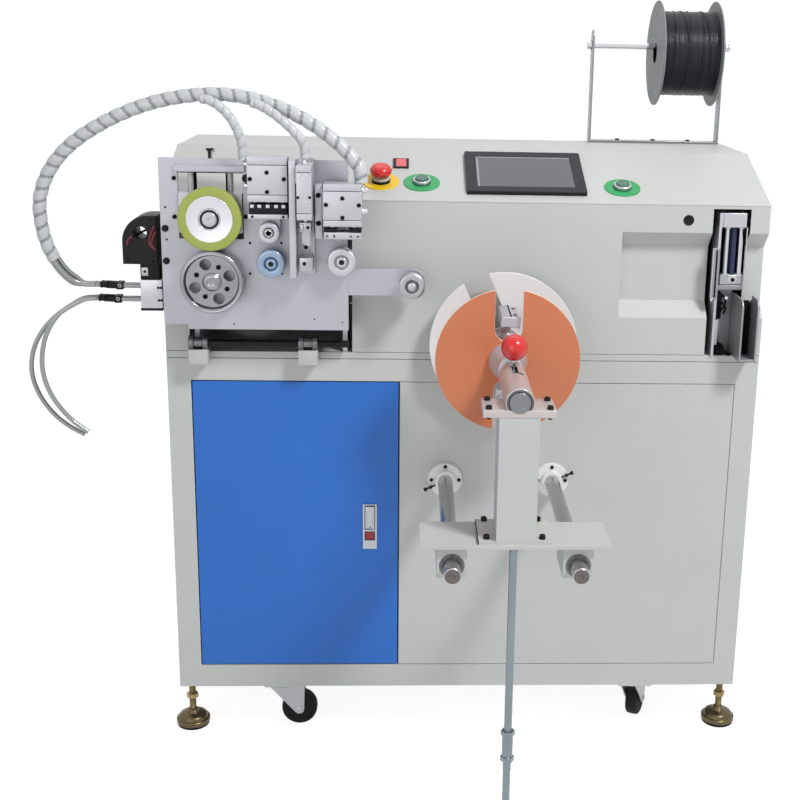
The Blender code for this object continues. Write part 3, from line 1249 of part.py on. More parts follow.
def make_rollers():
    for name, x, z, radius, finish in (
        ("measuring_roller", MEASURE_X, MEASURE_Z, MEASURE_RADIUS, "blue anodised"),
        ("right_roller", RIGHT_ROLLER_X, RIGHT_ROLLER_Z, RIGHT_ROLLER_RADIUS, "aluminium"),
    ):
        centre = (x, ROLLER_BACK, z)
        node(name, roller_with_shaft(radius, centre, PLATE_BACK + PAST), finish, pivot=centre)
    arm_z = (ARM_BOTTOM + ARM_TOP) / 2
    centre = (ARM_END_X, PLATE_FRONT - PULLEY_GAP, arm_z)
    pulley = roller_with_bore(PULLEY_RADIUS, PULLEY_STUD + RUN, centre, PULLEY_WIDTH)
    node("guide_pulley", pulley, "chrome", pivot=centre)


def make_cutter():
    back = PLATE_FRONT - SEAT
    channel = block((CHANNEL_LEFT, back - CHANNEL_BACK_THICKNESS, CHANNEL_BOTTOM), (CHANNEL_RIGHT, back, CHANNEL_TOP))
    flange = block((CHANNEL_LEFT, back - CHANNEL_DEPTH, CHANNEL_BOTTOM), (CHANNEL_LEFT + CHANNEL_FLANGE, back, CHANNEL_TOP))
    cylinder = block(
        (CUTTER_CYLINDER_LEFT, back - CUTTER_CYLINDER_DEPTH, CUTTER_CYLINDER_BOTTOM),
        (CHANNEL_RIGHT, back - SINK, CUTTER_CYLINDER_TOP),
    )
    bridge = block(
        (CHANNEL_LEFT + SINK, back - CHANNEL_DEPTH + SINK, CUTTER_CYLINDER_TOP - 0.030),
        (CUTTER_CYLINDER_LEFT + SINK, back - SINK, CUTTER_CYLINDER_TOP - 0.004),
    )
    middle_x = (CUTTER_CYLINDER_LEFT + CHANNEL_RIGHT) / 2
    middle_y = back - CUTTER_CYLINDER_DEPTH * 0.6
    anvil = block(
        (CUTTER_CYLINDER_LEFT + 0.002, middle_y - 0.008, ANVIL_TOP - ANVIL_HEIGHT),
        (CHANNEL_RIGHT - 0.001, back - SINK, ANVIL_TOP),
    )
    fitting = rod((middle_x, middle_y, CUTTER_CYLINDER_TOP - SINK), (middle_x, middle_y, CUTTER_CYLINDER_TOP + FITTING_LENGTH), FITTING_RADIUS, TINY)
    channel = fuse(channel, flange, cylinder, bridge, anvil, fitting)
    rod_top = CUTTER_CLEVIS_TOP + 0.030
    bore = drill((middle_x, middle_y, CUTTER_CYLINDER_BOTTOM - PAST), (middle_x, middle_y, rod_top + SEAT), CUTTER_ROD, TINY)
    node("cutter_channel", cut(channel, bore), "aluminium")
    clevis_low = CUTTER_CLEVIS_TOP - CUTTER_CLEVIS_HEIGHT
    clevis = block((middle_x - 0.009, middle_y - 0.010, clevis_low), (middle_x + 0.009, middle_y + 0.010, CUTTER_CLEVIS_TOP))
    blade = slab(
        [(middle_x - 0.006, clevis_low + SINK), (middle_x - 0.006, CUTTER_BLADE_BOTTOM + 0.006),
         (middle_x + 0.007, CUTTER_BLADE_BOTTOM), (middle_x + 0.007, clevis_low + SINK)],
        middle_y - 0.002, middle_y + 0.002,
    )
    stem = rod((middle_x, middle_y, CUTTER_CLEVIS_TOP - SINK), (middle_x, middle_y, rod_top), CUTTER_ROD, TINY)
    node("cutter_slide", fuse(clevis, blade, stem), "steel", pivot=(middle_x, middle_y, clevis_low))


def make_clamp():
    back = PLATE_FRONT - SEAT
    bracket_right = CLAMP_BRACKET_LEFT + CLAMP_BRACKET_WIDTH
    bracket = block(
        (CLAMP_BRACKET_LEFT, back - CLAMP_BRACKET_DEPTH, CLAMP_BRACKET_BOTTOM), (bracket_right, back, CLAMP_BRACKET_TOP)
    )
    front = CLAMP_BACK - CLAMP_DEPTH
    body = block((CLAMP_LEFT, front, CLAMP_BOTTOM), (CLAMP_RIGHT, CLAMP_BACK, CLAMP_TOP))
    web = block(
        (bracket_right - SINK, back - CLAMP_BRACKET_DEPTH + SINK, CLAMP_BOTTOM + 0.006),
        (CLAMP_LEFT + SINK, CLAMP_BACK - SINK, CLAMP_TOP - 0.010),
    )
    middle_y = (front + CLAMP_BACK) / 2
    body = fuse(body, bracket, web)
    jaw_top = CLAMP_BOTTOM - JAW_GAP
    rods_x = (CLAMP_LEFT + 0.013, CLAMP_RIGHT - 0.013)
    for x in rods_x:
        body = cut(body, drill((x, middle_y, CLAMP_BOTTOM - PAST), (x, middle_y, jaw_top + 0.030 + SEAT), CUTTER_ROD, TINY))
    for z in (CLAMP_TOP - 0.011, CLAMP_TOP - 0.044):
        body = fuse(body, rod((CLAMP_RIGHT - SINK, middle_y, z), (CLAMP_RIGHT + FITTING_LENGTH, middle_y, z), FITTING_RADIUS, TINY))
    node("clamp_cylinder", body, "aluminium", bevel=0.0006)
    jaw_low = jaw_top - JAW_HEIGHT
    jaw = block((CLAMP_LEFT + 0.001, front + 0.002, jaw_low), (CLAMP_RIGHT - 0.001, CLAMP_BACK - 0.004, jaw_top))
    notch = block((CLAMP_LEFT + 0.020, front - PAST, jaw_top - 0.005), (CLAMP_RIGHT - 0.020, CLAMP_BACK, jaw_top + PAST))
    finger = block(
        (FINGER_X - FINGER_WIDTH / 2, middle_y - 0.006, FINGER_BOTTOM), (FINGER_X + FINGER_WIDTH / 2, middle_y + 0.006, jaw_low + SINK)
    )
    jaw = fuse(cut(jaw, notch), finger)
    for x in rods_x:
        jaw = fuse(jaw, rod((x, middle_y, jaw_top - SINK), (x, middle_y, jaw_top + 0.030), CUTTER_ROD, TINY))
    node("clamp_jaw", jaw, "steel", pivot=(FINGER_X, middle_y, jaw_low))


def make_head_mount():
    right = MOUNT_CLAMP_LEFTS[-1] + MOUNT_CLAMP_WIDTH
    shaft = rod(
        (MOUNT_CLAMP_LEFTS[0] + SINK, MOUNT_SHAFT_Y, MOUNT_SHAFT_Z), (PLATE_RIGHT - SINK, MOUNT_SHAFT_Y, MOUNT_SHAFT_Z),
        MOUNT_SHAFT,
    )
    for left in MOUNT_CLAMP_LEFTS:
        body = block(
            (left, -SEAT - MOUNT_CLAMP_DEPTH, MOUNT_CLAMP_BOTTOM), (left + MOUNT_CLAMP_WIDTH, -SEAT, MOUNT_SHAFT_Z - MOUNT_SHAFT / 2)
        )
        collar = rod(
            (left + 0.003, MOUNT_SHAFT_Y, MOUNT_SHAFT_Z), (left + MOUNT_CLAMP_WIDTH - 0.003, MOUNT_SHAFT_Y, MOUNT_SHAFT_Z),
            MOUNT_COLLAR,
        )
        shaft = fuse(shaft, body, collar)
    node("head_mount", shaft, "painted grey")


# Left side


def make_side_motor():
    right = -SEAT
    flat = right - SIDE_MOTOR_FLAT
    width = flat - SIDE_MOTOR_LEFT
    height = SIDE_MOTOR_TOP - SIDE_MOTOR_SHOULDER
    quarter = [
        (flat - width * math.sin(math.radians(a)), SIDE_MOTOR_SHOULDER + height * math.cos(math.radians(a)))
        for a in range(0, 91, 15)
    ]
    outline = [(SIDE_MOTOR_LEFT, SIDE_MOTOR_BOTTOM), (right, SIDE_MOTOR_BOTTOM), (right, SIDE_MOTOR_TOP)] + quarter
    hole = arc((SIDE_MOTOR_HOLE_X, SIDE_MOTOR_HOLE_Z), SIDE_MOTOR_HOLE, 0, 360 * 15 / 16, 15)
    body = slab(outline, SIDE_MOTOR_FRONT, SIDE_MOTOR_FRONT + SIDE_MOTOR_DEPTH, holes=(hole,))
    node("side_motor", body, "black plastic")


def make_valve_block():
    right = -SEAT
    back = VALVE_FRONT + VALVE_DEPTH
    body = block((VALVE_LEFT, VALVE_FRONT, VALVE_BOTTOM), (right, back, VALVE_TOP))
    base = block((VALVE_LEFT - 0.001, VALVE_FRONT - 0.001, VALVE_BOTTOM - VALVE_BASE), (right, back, VALVE_BOTTOM + SINK))
    plug = block(
        (VALVE_LEFT, VALVE_FRONT + CONNECTOR_INSET, VALVE_TOP - SINK),
        (right - CONNECTOR_INSET, back - CONNECTOR_INSET, VALVE_TOP + CONNECTOR_HEIGHT),
    )
    body = fuse(body, base, plug)
    for right_x, z in ((UPPER_TEE_X, VALVE_TOP - UPPER_TEE_DROP), (LOWER_TEE_X, VALVE_BOTTOM + LOWER_TEE_RISE)):
        left_x, tip_z = right_x - TEE_LENGTH, z + TEE_TILT
        body = fuse(
            body, rod((VALVE_LEFT + PAST, TUBE_Y, z), (right_x - PAST, TUBE_Y, z), TUBE_RADIUS, TINY),
            rod((right_x, TUBE_Y, z), (left_x, TUBE_Y, tip_z), TEE_RADIUS, TINY),
        )
        for spread in (TEE_SPREAD, -TEE_SPREAD):
            start = (left_x + PAST, TUBE_Y + spread, tip_z)
            body = fuse(body, rod(start, (-TEE_REACH, TUBE_Y + spread, tip_z), PRONG_RADIUS, TINY))
    node("valve_block", body, "aluminium")


# Winding unit


def disc_slots(y_low, y_high, reach_to, turn):
    """Two opposite slots with round inner ends, cut from the rim inwards."""
    cutters_made = []
    for side in (0, 180):
        angle = math.radians(90 + turn + side)
        tip = (WINDING_X + DISC_SLOT_REACH * math.cos(angle), WINDING_Z + DISC_SLOT_REACH * math.sin(angle))
        across = Vector((-math.sin(angle), 0, math.cos(angle))) * DISC_SLOT_WIDTH / 2
        start = Vector((tip[0], 0, tip[1]))
        end = Vector((WINDING_X + reach_to * math.cos(angle), 0, WINDING_Z + reach_to * math.sin(angle)))
        corners = [start + across, start - across, end - across, end + across]
        straight = slab([(c.x, c.z) for c in corners], y_low, y_high)
        cutters_made.append(fuse(straight, rod((tip[0], y_low, tip[1]), (tip[0], y_high, tip[1]), DISC_SLOT_WIDTH / 2)))
    return cutters_made


def make_rear_disc():
    front = REAR_DISC_BACK - DISC_THICKNESS
    hub_front = DISC_THICKNESS + MANDREL_HUB_LENGTH
    disc = turned(
        [
            (0, hub_front), (MANDREL_HUB, hub_front), (MANDREL_HUB, DISC_THICKNESS), (REAR_DISC_RADIUS, DISC_THICKNESS), (REAR_DISC_RADIUS, 0),
            (WINDING_SHAFT, 0), (WINDING_SHAFT, -WINDING_SHAFT_LENGTH), (0, -WINDING_SHAFT_LENGTH),
        ],
        (WINDING_X, REAR_DISC_BACK, WINDING_Z), "-Y", LARGE,
    )
    disc = cut(disc, *disc_slots(front - PAST, REAR_DISC_BACK + PAST, REAR_DISC_RADIUS + PAST, REAR_SLOT_TURN))
    turn = Matrix.Translation((WINDING_X, 0, WINDING_Z)) @ Matrix.Rotation(math.radians(-MANDREL_TURN), 4, "Y")
    arm_front = front - MANDREL_HUB_LENGTH / 2
    for side in (1, -1):
        half = MANDREL_ARM_WIDTH / 2
        low, high = sorted((side * MANDREL_HUB * 0.8, side * (MANDREL_SHOE_INNER + 0.004)))
        arm = block((-half, arm_front, low), (half, front + 2 * SINK, high))
        half = math.degrees(math.asin(MANDREL_SHOE_WIDTH / 2 / MANDREL_SHOE_OUTER))
        middle = 90 * side
        outline = arc((0, 0), MANDREL_SHOE_OUTER, middle - half, middle + half, 4)
        outline += arc((0, 0), MANDREL_SHOE_INNER, middle + half, middle - half, 4)
        shoe = slab(outline, MANDREL_END, front + SINK)
        disc = fuse(disc, moved(arm, turn), moved(shoe, turn))
    node("rear_disc", disc, "white plastic", pivot=(WINDING_X, REAR_DISC_BACK, WINDING_Z))


def make_winding_motor():
    half = WINDING_MOTOR_WIDTH / 2
    motor = block(
        (WINDING_X - half, WINDING_MOTOR_FRONT, DECK_TOP + SEAT),
        (WINDING_X + half, WINDING_MOTOR_FRONT + WINDING_MOTOR_LENGTH, WINDING_Z + WINDING_MOTOR_RISE),
    )
    nose = rod((WINDING_X, WINDING_NOSE_FRONT, WINDING_Z), (WINDING_X, WINDING_MOTOR_FRONT + PAST, WINDING_Z), WINDING_NOSE)
    shaft_end = REAR_DISC_BACK + WINDING_SHAFT_LENGTH
    bore = drill((WINDING_X, WINDING_NOSE_FRONT - PAST, WINDING_Z), (WINDING_X, shaft_end + SEAT, WINDING_Z), WINDING_SHAFT)
    node("winding_motor", cut(fuse(motor, nose), bore), "black plastic")


def make_rails():
    for name, x in RAIL_XS.items():
        length = RAIL_IN_WALL - RAIL_FRONT
        foot = RAIL_IN_WALL + SEAT
        rail = turned(
            [
                (0, length), (RAIL_RADIUS, length), (RAIL_RADIUS, foot + FLANGE_HUB_LENGTH),
                (FLANGE_HUB, foot + FLANGE_HUB_LENGTH), (FLANGE_HUB, foot + FLANGE_THICKNESS),
                (FLANGE_RADIUS, foot + FLANGE_THICKNESS), (FLANGE_RADIUS, foot), (RAIL_RADIUS, foot),
                (RAIL_RADIUS, 0), (0, 0),
            ],
            (x, RAIL_IN_WALL, RAIL_Z), "-Y",
        )
        node(name, rail, "steel")


def make_carriage():
    plate_low = CARRIAGE_TOP - CARRIAGE_SHEET
    body = block((CARRIAGE_LEFT, CARRIAGE_FRONT, plate_low), (CARRIAGE_RIGHT, CARRIAGE_BACK, CARRIAGE_TOP))
    for x in RAIL_XS.values():
        bearing = block(
            (x - BEARING_HALF_WIDTH, CARRIAGE_FRONT + BEARING_INSET, RAIL_Z - BEARING_BELOW),
            (x + BEARING_HALF_WIDTH, CARRIAGE_BACK - BEARING_INSET, plate_low + SINK),
        )
        body = fuse(body, bearing)
        bore = drill((x, CARRIAGE_FRONT - PAST, RAIL_Z), (x, CARRIAGE_BACK + PAST, RAIL_Z), RAIL_RADIUS, ROUND)
        body = cut(body, bore)
    column_back = COLUMN_FRONT + COLUMN_DEPTH
    column_top = SADDLE_TOP - SADDLE_THICKNESS - SEAT
    half = COLUMN_FOOT_WIDTH / 2
    foot = block(
        (WINDING_X - half, COLUMN_FRONT, CARRIAGE_TOP - SINK), (WINDING_X + half, column_back, CARRIAGE_TOP + COLUMN_FOOT_THICKNESS)
    )
    half = COLUMN_WIDTH / 2
    column = block((WINDING_X - half, COLUMN_FRONT, CARRIAGE_TOP), (WINDING_X + half, column_back, column_top))
    inner = half - COLUMN_WALL
    hollow = block(
        (WINDING_X - inner, COLUMN_FRONT + COLUMN_WALL, CARRIAGE_TOP + COLUMN_FOOT_THICKNESS),
        (WINDING_X + inner, column_back + PAST, column_top - COLUMN_WALL),
    )
    body = fuse(body, foot, cut(column, hollow))
    node("carriage", body, "painted grey")


def make_spindle_barrel():
    length = BARREL_BACK - BARREL_FRONT
    barrel = turned(
        [
            (QUILL_RADIUS + RUN, length), (BARREL_RADIUS - BARREL_CHAMFER, length),
            (BARREL_RADIUS, length - BARREL_CHAMFER), (BARREL_RADIUS, 0), (QUILL_RADIUS + RUN, 0),
        ],
        (WINDING_X, BARREL_BACK, WINDING_Z), "-Y",
    )
    half = SADDLE_WIDTH / 2
    saddle = block(
        (WINDING_X - half, COLUMN_FRONT, SADDLE_TOP - SADDLE_THICKNESS), (WINDING_X + half, COLUMN_FRONT + COLUMN_DEPTH, SADDLE_TOP)
    )
    bore = drill((WINDING_X, BARREL_FRONT - PAST, WINDING_Z), (WINDING_X, BARREL_BACK + PAST, WINDING_Z), QUILL_RADIUS)
    body = fuse(barrel, cut(saddle, bore))
    slot_half = KNOB_STEM + SLIDE
    slot = block(
        (WINDING_X - slot_half, KNOB_Y - QUILL_TRAVEL - slot_half, WINDING_Z + QUILL_RADIUS / 2),
        (WINDING_X + slot_half, KNOB_Y + slot_half, WINDING_Z + BARREL_RADIUS + PAST),
    )
    notch = block(
        (WINDING_X - slot_half, KNOB_Y - QUILL_TRAVEL - slot_half, WINDING_Z + QUILL_RADIUS / 2),
        (WINDING_X + slot_half + KNOB_SLOT_TURN, KNOB_Y - QUILL_TRAVEL + slot_half, WINDING_Z + BARREL_RADIUS + PAST),
    )
    node("spindle_barrel", cut(body, slot, notch), "white plastic")


def make_quill():
    length = BARREL_BACK - QUILL_FRONT
    shoulder = BARREL_BACK - QUILL_SHOULDER
    end = BARREL_BACK - QUILL_END
    cap = FRONT_DISC_BACK + SEAT
    cap_at = BARREL_BACK - cap
    quill = turned(
        [
            (0, length), (QUILL_RADIUS, length), (QUILL_RADIUS, shoulder),
            (QUILL_SPINDLE, shoulder), (QUILL_SPINDLE, cap_at), (QUILL_SPINDLE * 1.6, cap_at),
            (QUILL_SPINDLE * 1.6, end), (0, end),
        ],
        (WINDING_X, BARREL_BACK, WINDING_Z), "-Y",
    )
    stem = rod((WINDING_X, KNOB_Y, WINDING_Z + QUILL_RADIUS / 2), (WINDING_X, KNOB_Y, KNOB_Z - KNOB_RADIUS / 2), KNOB_STEM)
    node("quill", fuse(quill, stem), "steel", pivot=(WINDING_X, BARREL_BACK, WINDING_Z))
    knob = ball((WINDING_X, KNOB_Y, KNOB_Z), KNOB_RADIUS)
    socket = drill(
        (WINDING_X, KNOB_Y, KNOB_Z - KNOB_RADIUS - PAST), (WINDING_X, KNOB_Y, KNOB_Z - KNOB_RADIUS / 2 + SEAT), KNOB_STEM
    )
    node("knob", cut(knob, socket), "red plastic", pivot=(WINDING_X, KNOB_Y, KNOB_Z))


def make_front_disc():
    back = FRONT_DISC_BACK
    front = DISC_THICKNESS
    bore = QUILL_SPINDLE + RUN
    disc = turned(
        [
            (bore, back - QUILL_SHOULDER - RUN), (HUB_SMALL, back - QUILL_SHOULDER - RUN),
            (HUB_SMALL, back - HUB_TAPER_FRONT),
            (HUB_LARGE, back - HUB_TAPER_BACK), (HUB_LARGE, front), (FRONT_DISC_RADIUS, front),
            (FRONT_DISC_RADIUS, 0), (bore, 0),
        ],
        (WINDING_X, back, WINDING_Z), "-Y", LARGE,
    )
    slots = disc_slots(back - front - SINK, back + PAST, FRONT_DISC_RADIUS + PAST, 0.0)
    node("front_disc", cut(disc, *slots), "orange plastic", pivot=(WINDING_X, back, WINDING_Z))


def make_support_leg():
    top = CARRIAGE_TOP - CARRIAGE_SHEET - SEAT
    x, y = WINDING_X, LEG_Y
    leg = turned(
        [
            (0, top), (LEG_RADIUS, top), (LEG_RADIUS, LEG_SLEEVE_TOP), (LEG_SLEEVE, LEG_SLEEVE_TOP),
            (LEG_SLEEVE, LEG_SLEEVE_BOTTOM), (LEG_RADIUS, LEG_SLEEVE_BOTTOM),
            (LEG_RADIUS, LEG_BOTTOM + 2 * LEG_FOOT_HEIGHT), (LEG_FOOT, LEG_BOTTOM + LEG_FOOT_HEIGHT),
            (LEG_FOOT, LEG_BOTTOM), (0, LEG_BOTTOM),
        ],
        (x, y, 0), sides=SMALL,
    )
    for low in (LEG_SLEEVE_TOP, LEG_SLEEVE_BOTTOM - LEG_NUT_HEIGHT, top - LEG_NUT_HEIGHT):
        leg = fuse(leg, rod((x, y, low), (x, y, low + LEG_NUT_HEIGHT), LEG_NUT, 6))
    node("support_leg", leg, "chrome")


# Tying head


def make_tying_head():
    back = TYING_FRONT + TYING_BLOCK_DEPTH
    block_low = TYING_TOP - TYING_BLOCK_HEIGHT
    cheek = block((TYING_LEFT, TYING_FRONT, DECK_TOP + SEAT), (TYING_LEFT + TYING_CHEEK, back, TYING_TOP))
    rear = block((TYING_LEFT, back - TYING_CHEEK, DECK_TOP + SEAT), (TYING_RIGHT, back, TYING_TOP))
    top = block((TYING_LEFT, TYING_FRONT, block_low), (TYING_RIGHT, back, TYING_TOP))
    ledge_top = TYING_LEDGE_BOTTOM + TYING_LEDGE_HEIGHT
    ledge = block((TYING_LEFT, TYING_FRONT + 0.002, TYING_LEDGE_BOTTOM), (TYING_RIGHT, back, ledge_top))
    frame = fuse(cheek, rear, top, ledge)
    for x in TYING_ROD_XS:
        frame = fuse(frame, rod((x, TYING_ROD_Y, ledge_top - PAST), (x, TYING_ROD_Y, block_low + PAST), TYING_ROD, TINY))
    middle_x = sum(TYING_ROD_XS) / 2
    piston = rod((middle_x, TYING_ROD_Y, ledge_top - PAST), (middle_x, TYING_ROD_Y, block_low + PAST), TYING_PISTON, TINY)
    frame = fuse(frame, piston)
    chamfer = OUTLET_SHEET * 3
    plate = [
        (OUTLET_FRONT, DECK_TOP + SEAT), (back - SINK, DECK_TOP + SEAT), (back - SINK, OUTLET_TOP),
        (OUTLET_FRONT + 2 * chamfer, OUTLET_TOP), (OUTLET_FRONT + chamfer / 2, OUTLET_TOP - chamfer / 2),
        (OUTLET_FRONT, OUTLET_TOP - 2 * chamfer),
    ]
    near = slab(plate, OUTLET_LEFT, OUTLET_LEFT + OUTLET_SHEET, "YZ")
    far_back = -SHEET
    far = [(min(y, far_back), z) for y, z in plate]
    far_left = OUTLET_LEFT + OUTLET_WIDTH - OUTLET_SHEET
    outer = slab(far, far_left, far_left + OUTLET_SHEET, "YZ")
    floor = block(
        (OUTLET_LEFT + SINK, OUTLET_FRONT, DECK_TOP + SEAT), (far_left + SINK, far_back, DECK_TOP + SEAT + OUTLET_FLOOR)
    )
    node("tying_frame", fuse(frame, near, floor, outer), "aluminium")
    low = ledge_top + SLIDE
    half = TYING_SLIDE_DEPTH / 2
    slide = block(
        (TYING_LEFT + TYING_CHEEK + 2 * SLIDE, TYING_ROD_Y - half, low), (TYING_RIGHT - SLIDE, TYING_ROD_Y + half, low + TYING_SLIDE_HEIGHT)
    )
    for x, radius in (*((x, TYING_ROD) for x in TYING_ROD_XS), (middle_x, TYING_PISTON)):
        slide = cut(slide, drill((x, TYING_ROD_Y, low - PAST), (x, TYING_ROD_Y, low + TYING_SLIDE_HEIGHT + PAST), radius, TINY))
    node("tying_slide", slide, "steel", pivot=(middle_x, TYING_ROD_Y, low))


# Wire spool


def make_spool():
    front, back = BRACKET_BACK - BRACKET_WIDTH, BRACKET_BACK
    middle_y = (front + back) / 2
    base_low = HOUSING_TOP + SEAT
    half = BRACKET_WIDTH / 2
    bracket = slab(
        [(front, base_low)] + [(back, base_low)] + arc((middle_y, BRACKET_TOP - half), half, 0, 180, 8),
        BRACKET_LEFT, BRACKET_RIGHT, "YZ",
    )
    between = block(
        (BRACKET_LEFT + BRACKET_SHEET, front - PAST, base_low + BRACKET_SHEET),
        (BRACKET_RIGHT - BRACKET_SHEET, back + PAST, BRACKET_TOP + PAST),
    )
    bracket = cut(bracket, between)
    length, cap = SPOOL_ROD_RIGHT - SPOOL_ROD_LEFT, SPOOL_ROD_CAP_LENGTH
    bar = turned(
        [
            (0, length), (SPOOL_ROD_CAP, length), (SPOOL_ROD_CAP, length - cap), (SPOOL_ROD, length - cap),
            (SPOOL_ROD, cap), (SPOOL_ROD_CAP, cap), (SPOOL_ROD_CAP, 0), (0, 0),
        ],
        (SPOOL_ROD_LEFT, middle_y, SPOOL_ROD_Z), "X", SMALL,
    )
    node("spool_bracket", fuse(bracket, bar), "painted grey")
    centre_z = SPOOL_ROD_Z + SPOOL_ROD + SEAT - SPOOL_BORE
    width = SPOOL_RIGHT - SPOOL_LEFT
    wire_low, wire_high = SPOOL_FLANGE, width - SPOOL_FLANGE
    swell = SPOOL_WIRE_MARGIN
    spool = turned(
        [
            (SPOOL_BORE, width), (SPOOL_RADIUS, width), (SPOOL_RADIUS, wire_high), (SPOOL_WIRE - swell, wire_high),
            (SPOOL_WIRE, width * 0.75), (SPOOL_WIRE, width * 0.25), (SPOOL_WIRE - swell, wire_low),
            (SPOOL_RADIUS, wire_low), (SPOOL_RADIUS, 0), (SPOOL_BORE, 0),
        ],
        (SPOOL_LEFT, middle_y, centre_z), "X", LARGE,
    )
    node("wire_spool", spool, "black plastic", pivot=(SPOOL_LEFT, middle_y, centre_z))


# Hoses


def smooth_route(route, spacing):
    """Points at an even spacing along a smooth curve through the route; its two end pieces stay straight."""
    route = [Vector(p) for p in route]
    fine = []
    for a, b, c, d in zip(route, route[1:], route[2:], route[3:]):
        for j in range(SMALL):
            t = j / SMALL
            fine.append(
                0.5 * (2 * b + (c - a) * t + (2 * a - 5 * b + 4 * c - d) * t * t + (3 * b - a - 3 * c + d) * t ** 3)
            )
    fine.append(route[-2])
    lengths = [0.0]
    for a, b in zip(fine, fine[1:]):
        lengths.append(lengths[-1] + (b - a).length)
    count = max(3, round(lengths[-1] / spacing))
    points = [route[0]]
    k = 0
    for i in range(count + 1):
        want = lengths[-1] * i / count
        while k < len(fine) - 2 and lengths[k + 1] < want:
            k += 1
        share = (want - lengths[k]) / max(lengths[k + 1] - lengths[k], MERGE)
        points.append(fine[k].lerp(fine[k + 1], min(share, 1.0)))
    points.append(route[-1])
    return points


def make_hose(name, route, radius):
    curve = bpy.data.curves.new(name, "CURVE")
    curve.dimensions = "3D"
    curve.bevel_depth = radius
    curve.bevel_resolution = 2
    curve.use_fill_caps = True
    points = smooth_route(route, HOSE_STEP * radius)
    spline = curve.splines.new("POLY")
    spline.points.add(len(points) - 1)
    for point, place in zip(spline.points, points):
        point.co = (*place, 1.0)
    source = bpy.data.objects.new(name, curve)
    cutters.objects.link(source)
    node(name, moved(baked(source), Matrix.Translation((0, 0, DECK_TOP))), "hose")


make_cabinet()
for corner_name in CORNERS:
    make_foot(corner_name)
    make_caster(corner_name)
make_door()
make_housing()
make_housing_cover()
make_controls()
make_feed_plate()
make_feed_motor()
make_lower_wheel()
make_upper_wheel()
make_press()
make_rollers()
make_cutter()
make_clamp()
make_head_mount()
make_side_motor()
make_valve_block()
make_rear_disc()
make_winding_motor()
make_rails()
make_carriage()
make_spindle_barrel()
make_quill()
make_front_disc()
make_support_leg()
make_tying_head()
make_spool()
make_hose("hose_loom", LOOM_ROUTE, LOOM_RADIUS)
make_hose("loom_branch_one", BRANCH_ONE_ROUTE, BRANCH_RADIUS)
make_hose("loom_branch_two", BRANCH_TWO_ROUTE, BRANCH_RADIUS)
make_hose("loose_hose_outer", OUTER_ROUTE, LOOSE_RADIUS)
make_hose("loose_hose_inner", INNER_ROUTE, LOOSE_RADIUS)
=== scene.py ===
# %% [markdown]
# # A cable stripping and coiling machine
# This lesson dresses the engineering model of a bench machine that pulls cable off a reel, cuts
# it, strips its ends, winds it into a coil and ties the coil. The engineering model has every
# piece in its right place, with plain faces and few sides to a circle. What is left to do is
# what the eye looks for: round things that are round, screws, windings, finishes and light.
# Loading the model first means that each new piece can be placed by real millimetres.

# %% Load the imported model
import math

import bmesh
import bpy
from mathutils import Matrix, Vector


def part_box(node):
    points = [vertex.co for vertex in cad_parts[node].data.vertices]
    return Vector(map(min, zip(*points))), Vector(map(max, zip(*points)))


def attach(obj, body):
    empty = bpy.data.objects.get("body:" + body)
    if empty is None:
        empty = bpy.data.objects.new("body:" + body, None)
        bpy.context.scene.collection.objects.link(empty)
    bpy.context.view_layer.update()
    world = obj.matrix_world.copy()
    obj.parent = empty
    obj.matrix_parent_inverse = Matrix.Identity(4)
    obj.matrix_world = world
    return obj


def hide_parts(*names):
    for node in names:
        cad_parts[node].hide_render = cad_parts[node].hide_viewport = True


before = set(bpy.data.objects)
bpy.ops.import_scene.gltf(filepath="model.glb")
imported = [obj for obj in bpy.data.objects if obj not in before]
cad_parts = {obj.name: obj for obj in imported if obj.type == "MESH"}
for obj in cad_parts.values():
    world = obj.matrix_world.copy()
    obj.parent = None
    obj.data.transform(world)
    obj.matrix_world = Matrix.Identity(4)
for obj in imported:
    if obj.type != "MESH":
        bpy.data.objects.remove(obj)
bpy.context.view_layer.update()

# %% [markdown]
# ## One set of coordinates for the machine
# The drawing of the machine counts X from the cabinet's left side, Y from its front face and Z
# from the floor. The model stands with its middle over the origin instead. A short function
# turns a place on the drawing into a place in the scene, so that every number below can be
# checked against the drawing. Moving all the pieces by hand afterwards would hide mistakes.

# %% From drawing to scene
DRAWING_MIDDLE = Vector((0.4495, 0.0335, 0.0))


def at(x, y, z):
    return Vector((x, y, z)) - DRAWING_MIDDLE


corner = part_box("cabinet")[0]
print("cabinet's corner is off the drawing by", round((Vector(corner) - at(0.0, 0.0, corner[2])).length * 1000, 3),
      "mm")

# %% [markdown]
# ## The camera
# The picture that this scene follows was taken from a little left of the machine's middle,
# from about 1.2 m up, looking down by 15 degrees. The place and the angles were worked out from
# the corners of the cabinet. Building the camera's matrix from its three directions is exact,
# while turning it by eye would take many tries. The picture's frame is square.

# %% Stand the camera
YAW, PITCH, ROLL = (math.radians(angle) for angle in (2.89, 15.06, 1.21))
SENSOR_WIDTH, LENS, SHIFT = 36.0, 57.98, (-0.088, -0.029)
CAMERA_PLACE = (0.402, -2.104, 1.235)
camera_data = bpy.data.cameras.new("camera")
camera_data.sensor_width, camera_data.lens = SENSOR_WIDTH, LENS
camera_data.shift_x, camera_data.shift_y = SHIFT
camera = bpy.data.objects.new("camera", camera_data)
bpy.context.scene.collection.objects.link(camera)
looking = Vector((math.sin(YAW) * math.cos(PITCH), math.cos(YAW) * math.cos(PITCH), -math.sin(PITCH)))
level = Vector((math.cos(YAW), -math.sin(YAW), 0.0))
upward = level.cross(looking)
side = math.cos(ROLL) * level + math.sin(ROLL) * upward
top = math.cos(ROLL) * upward - math.sin(ROLL) * level
camera.matrix_world = Matrix.Translation(at(*CAMERA_PLACE)) @ Matrix((side, top, -looking)).transposed().to_4x4()
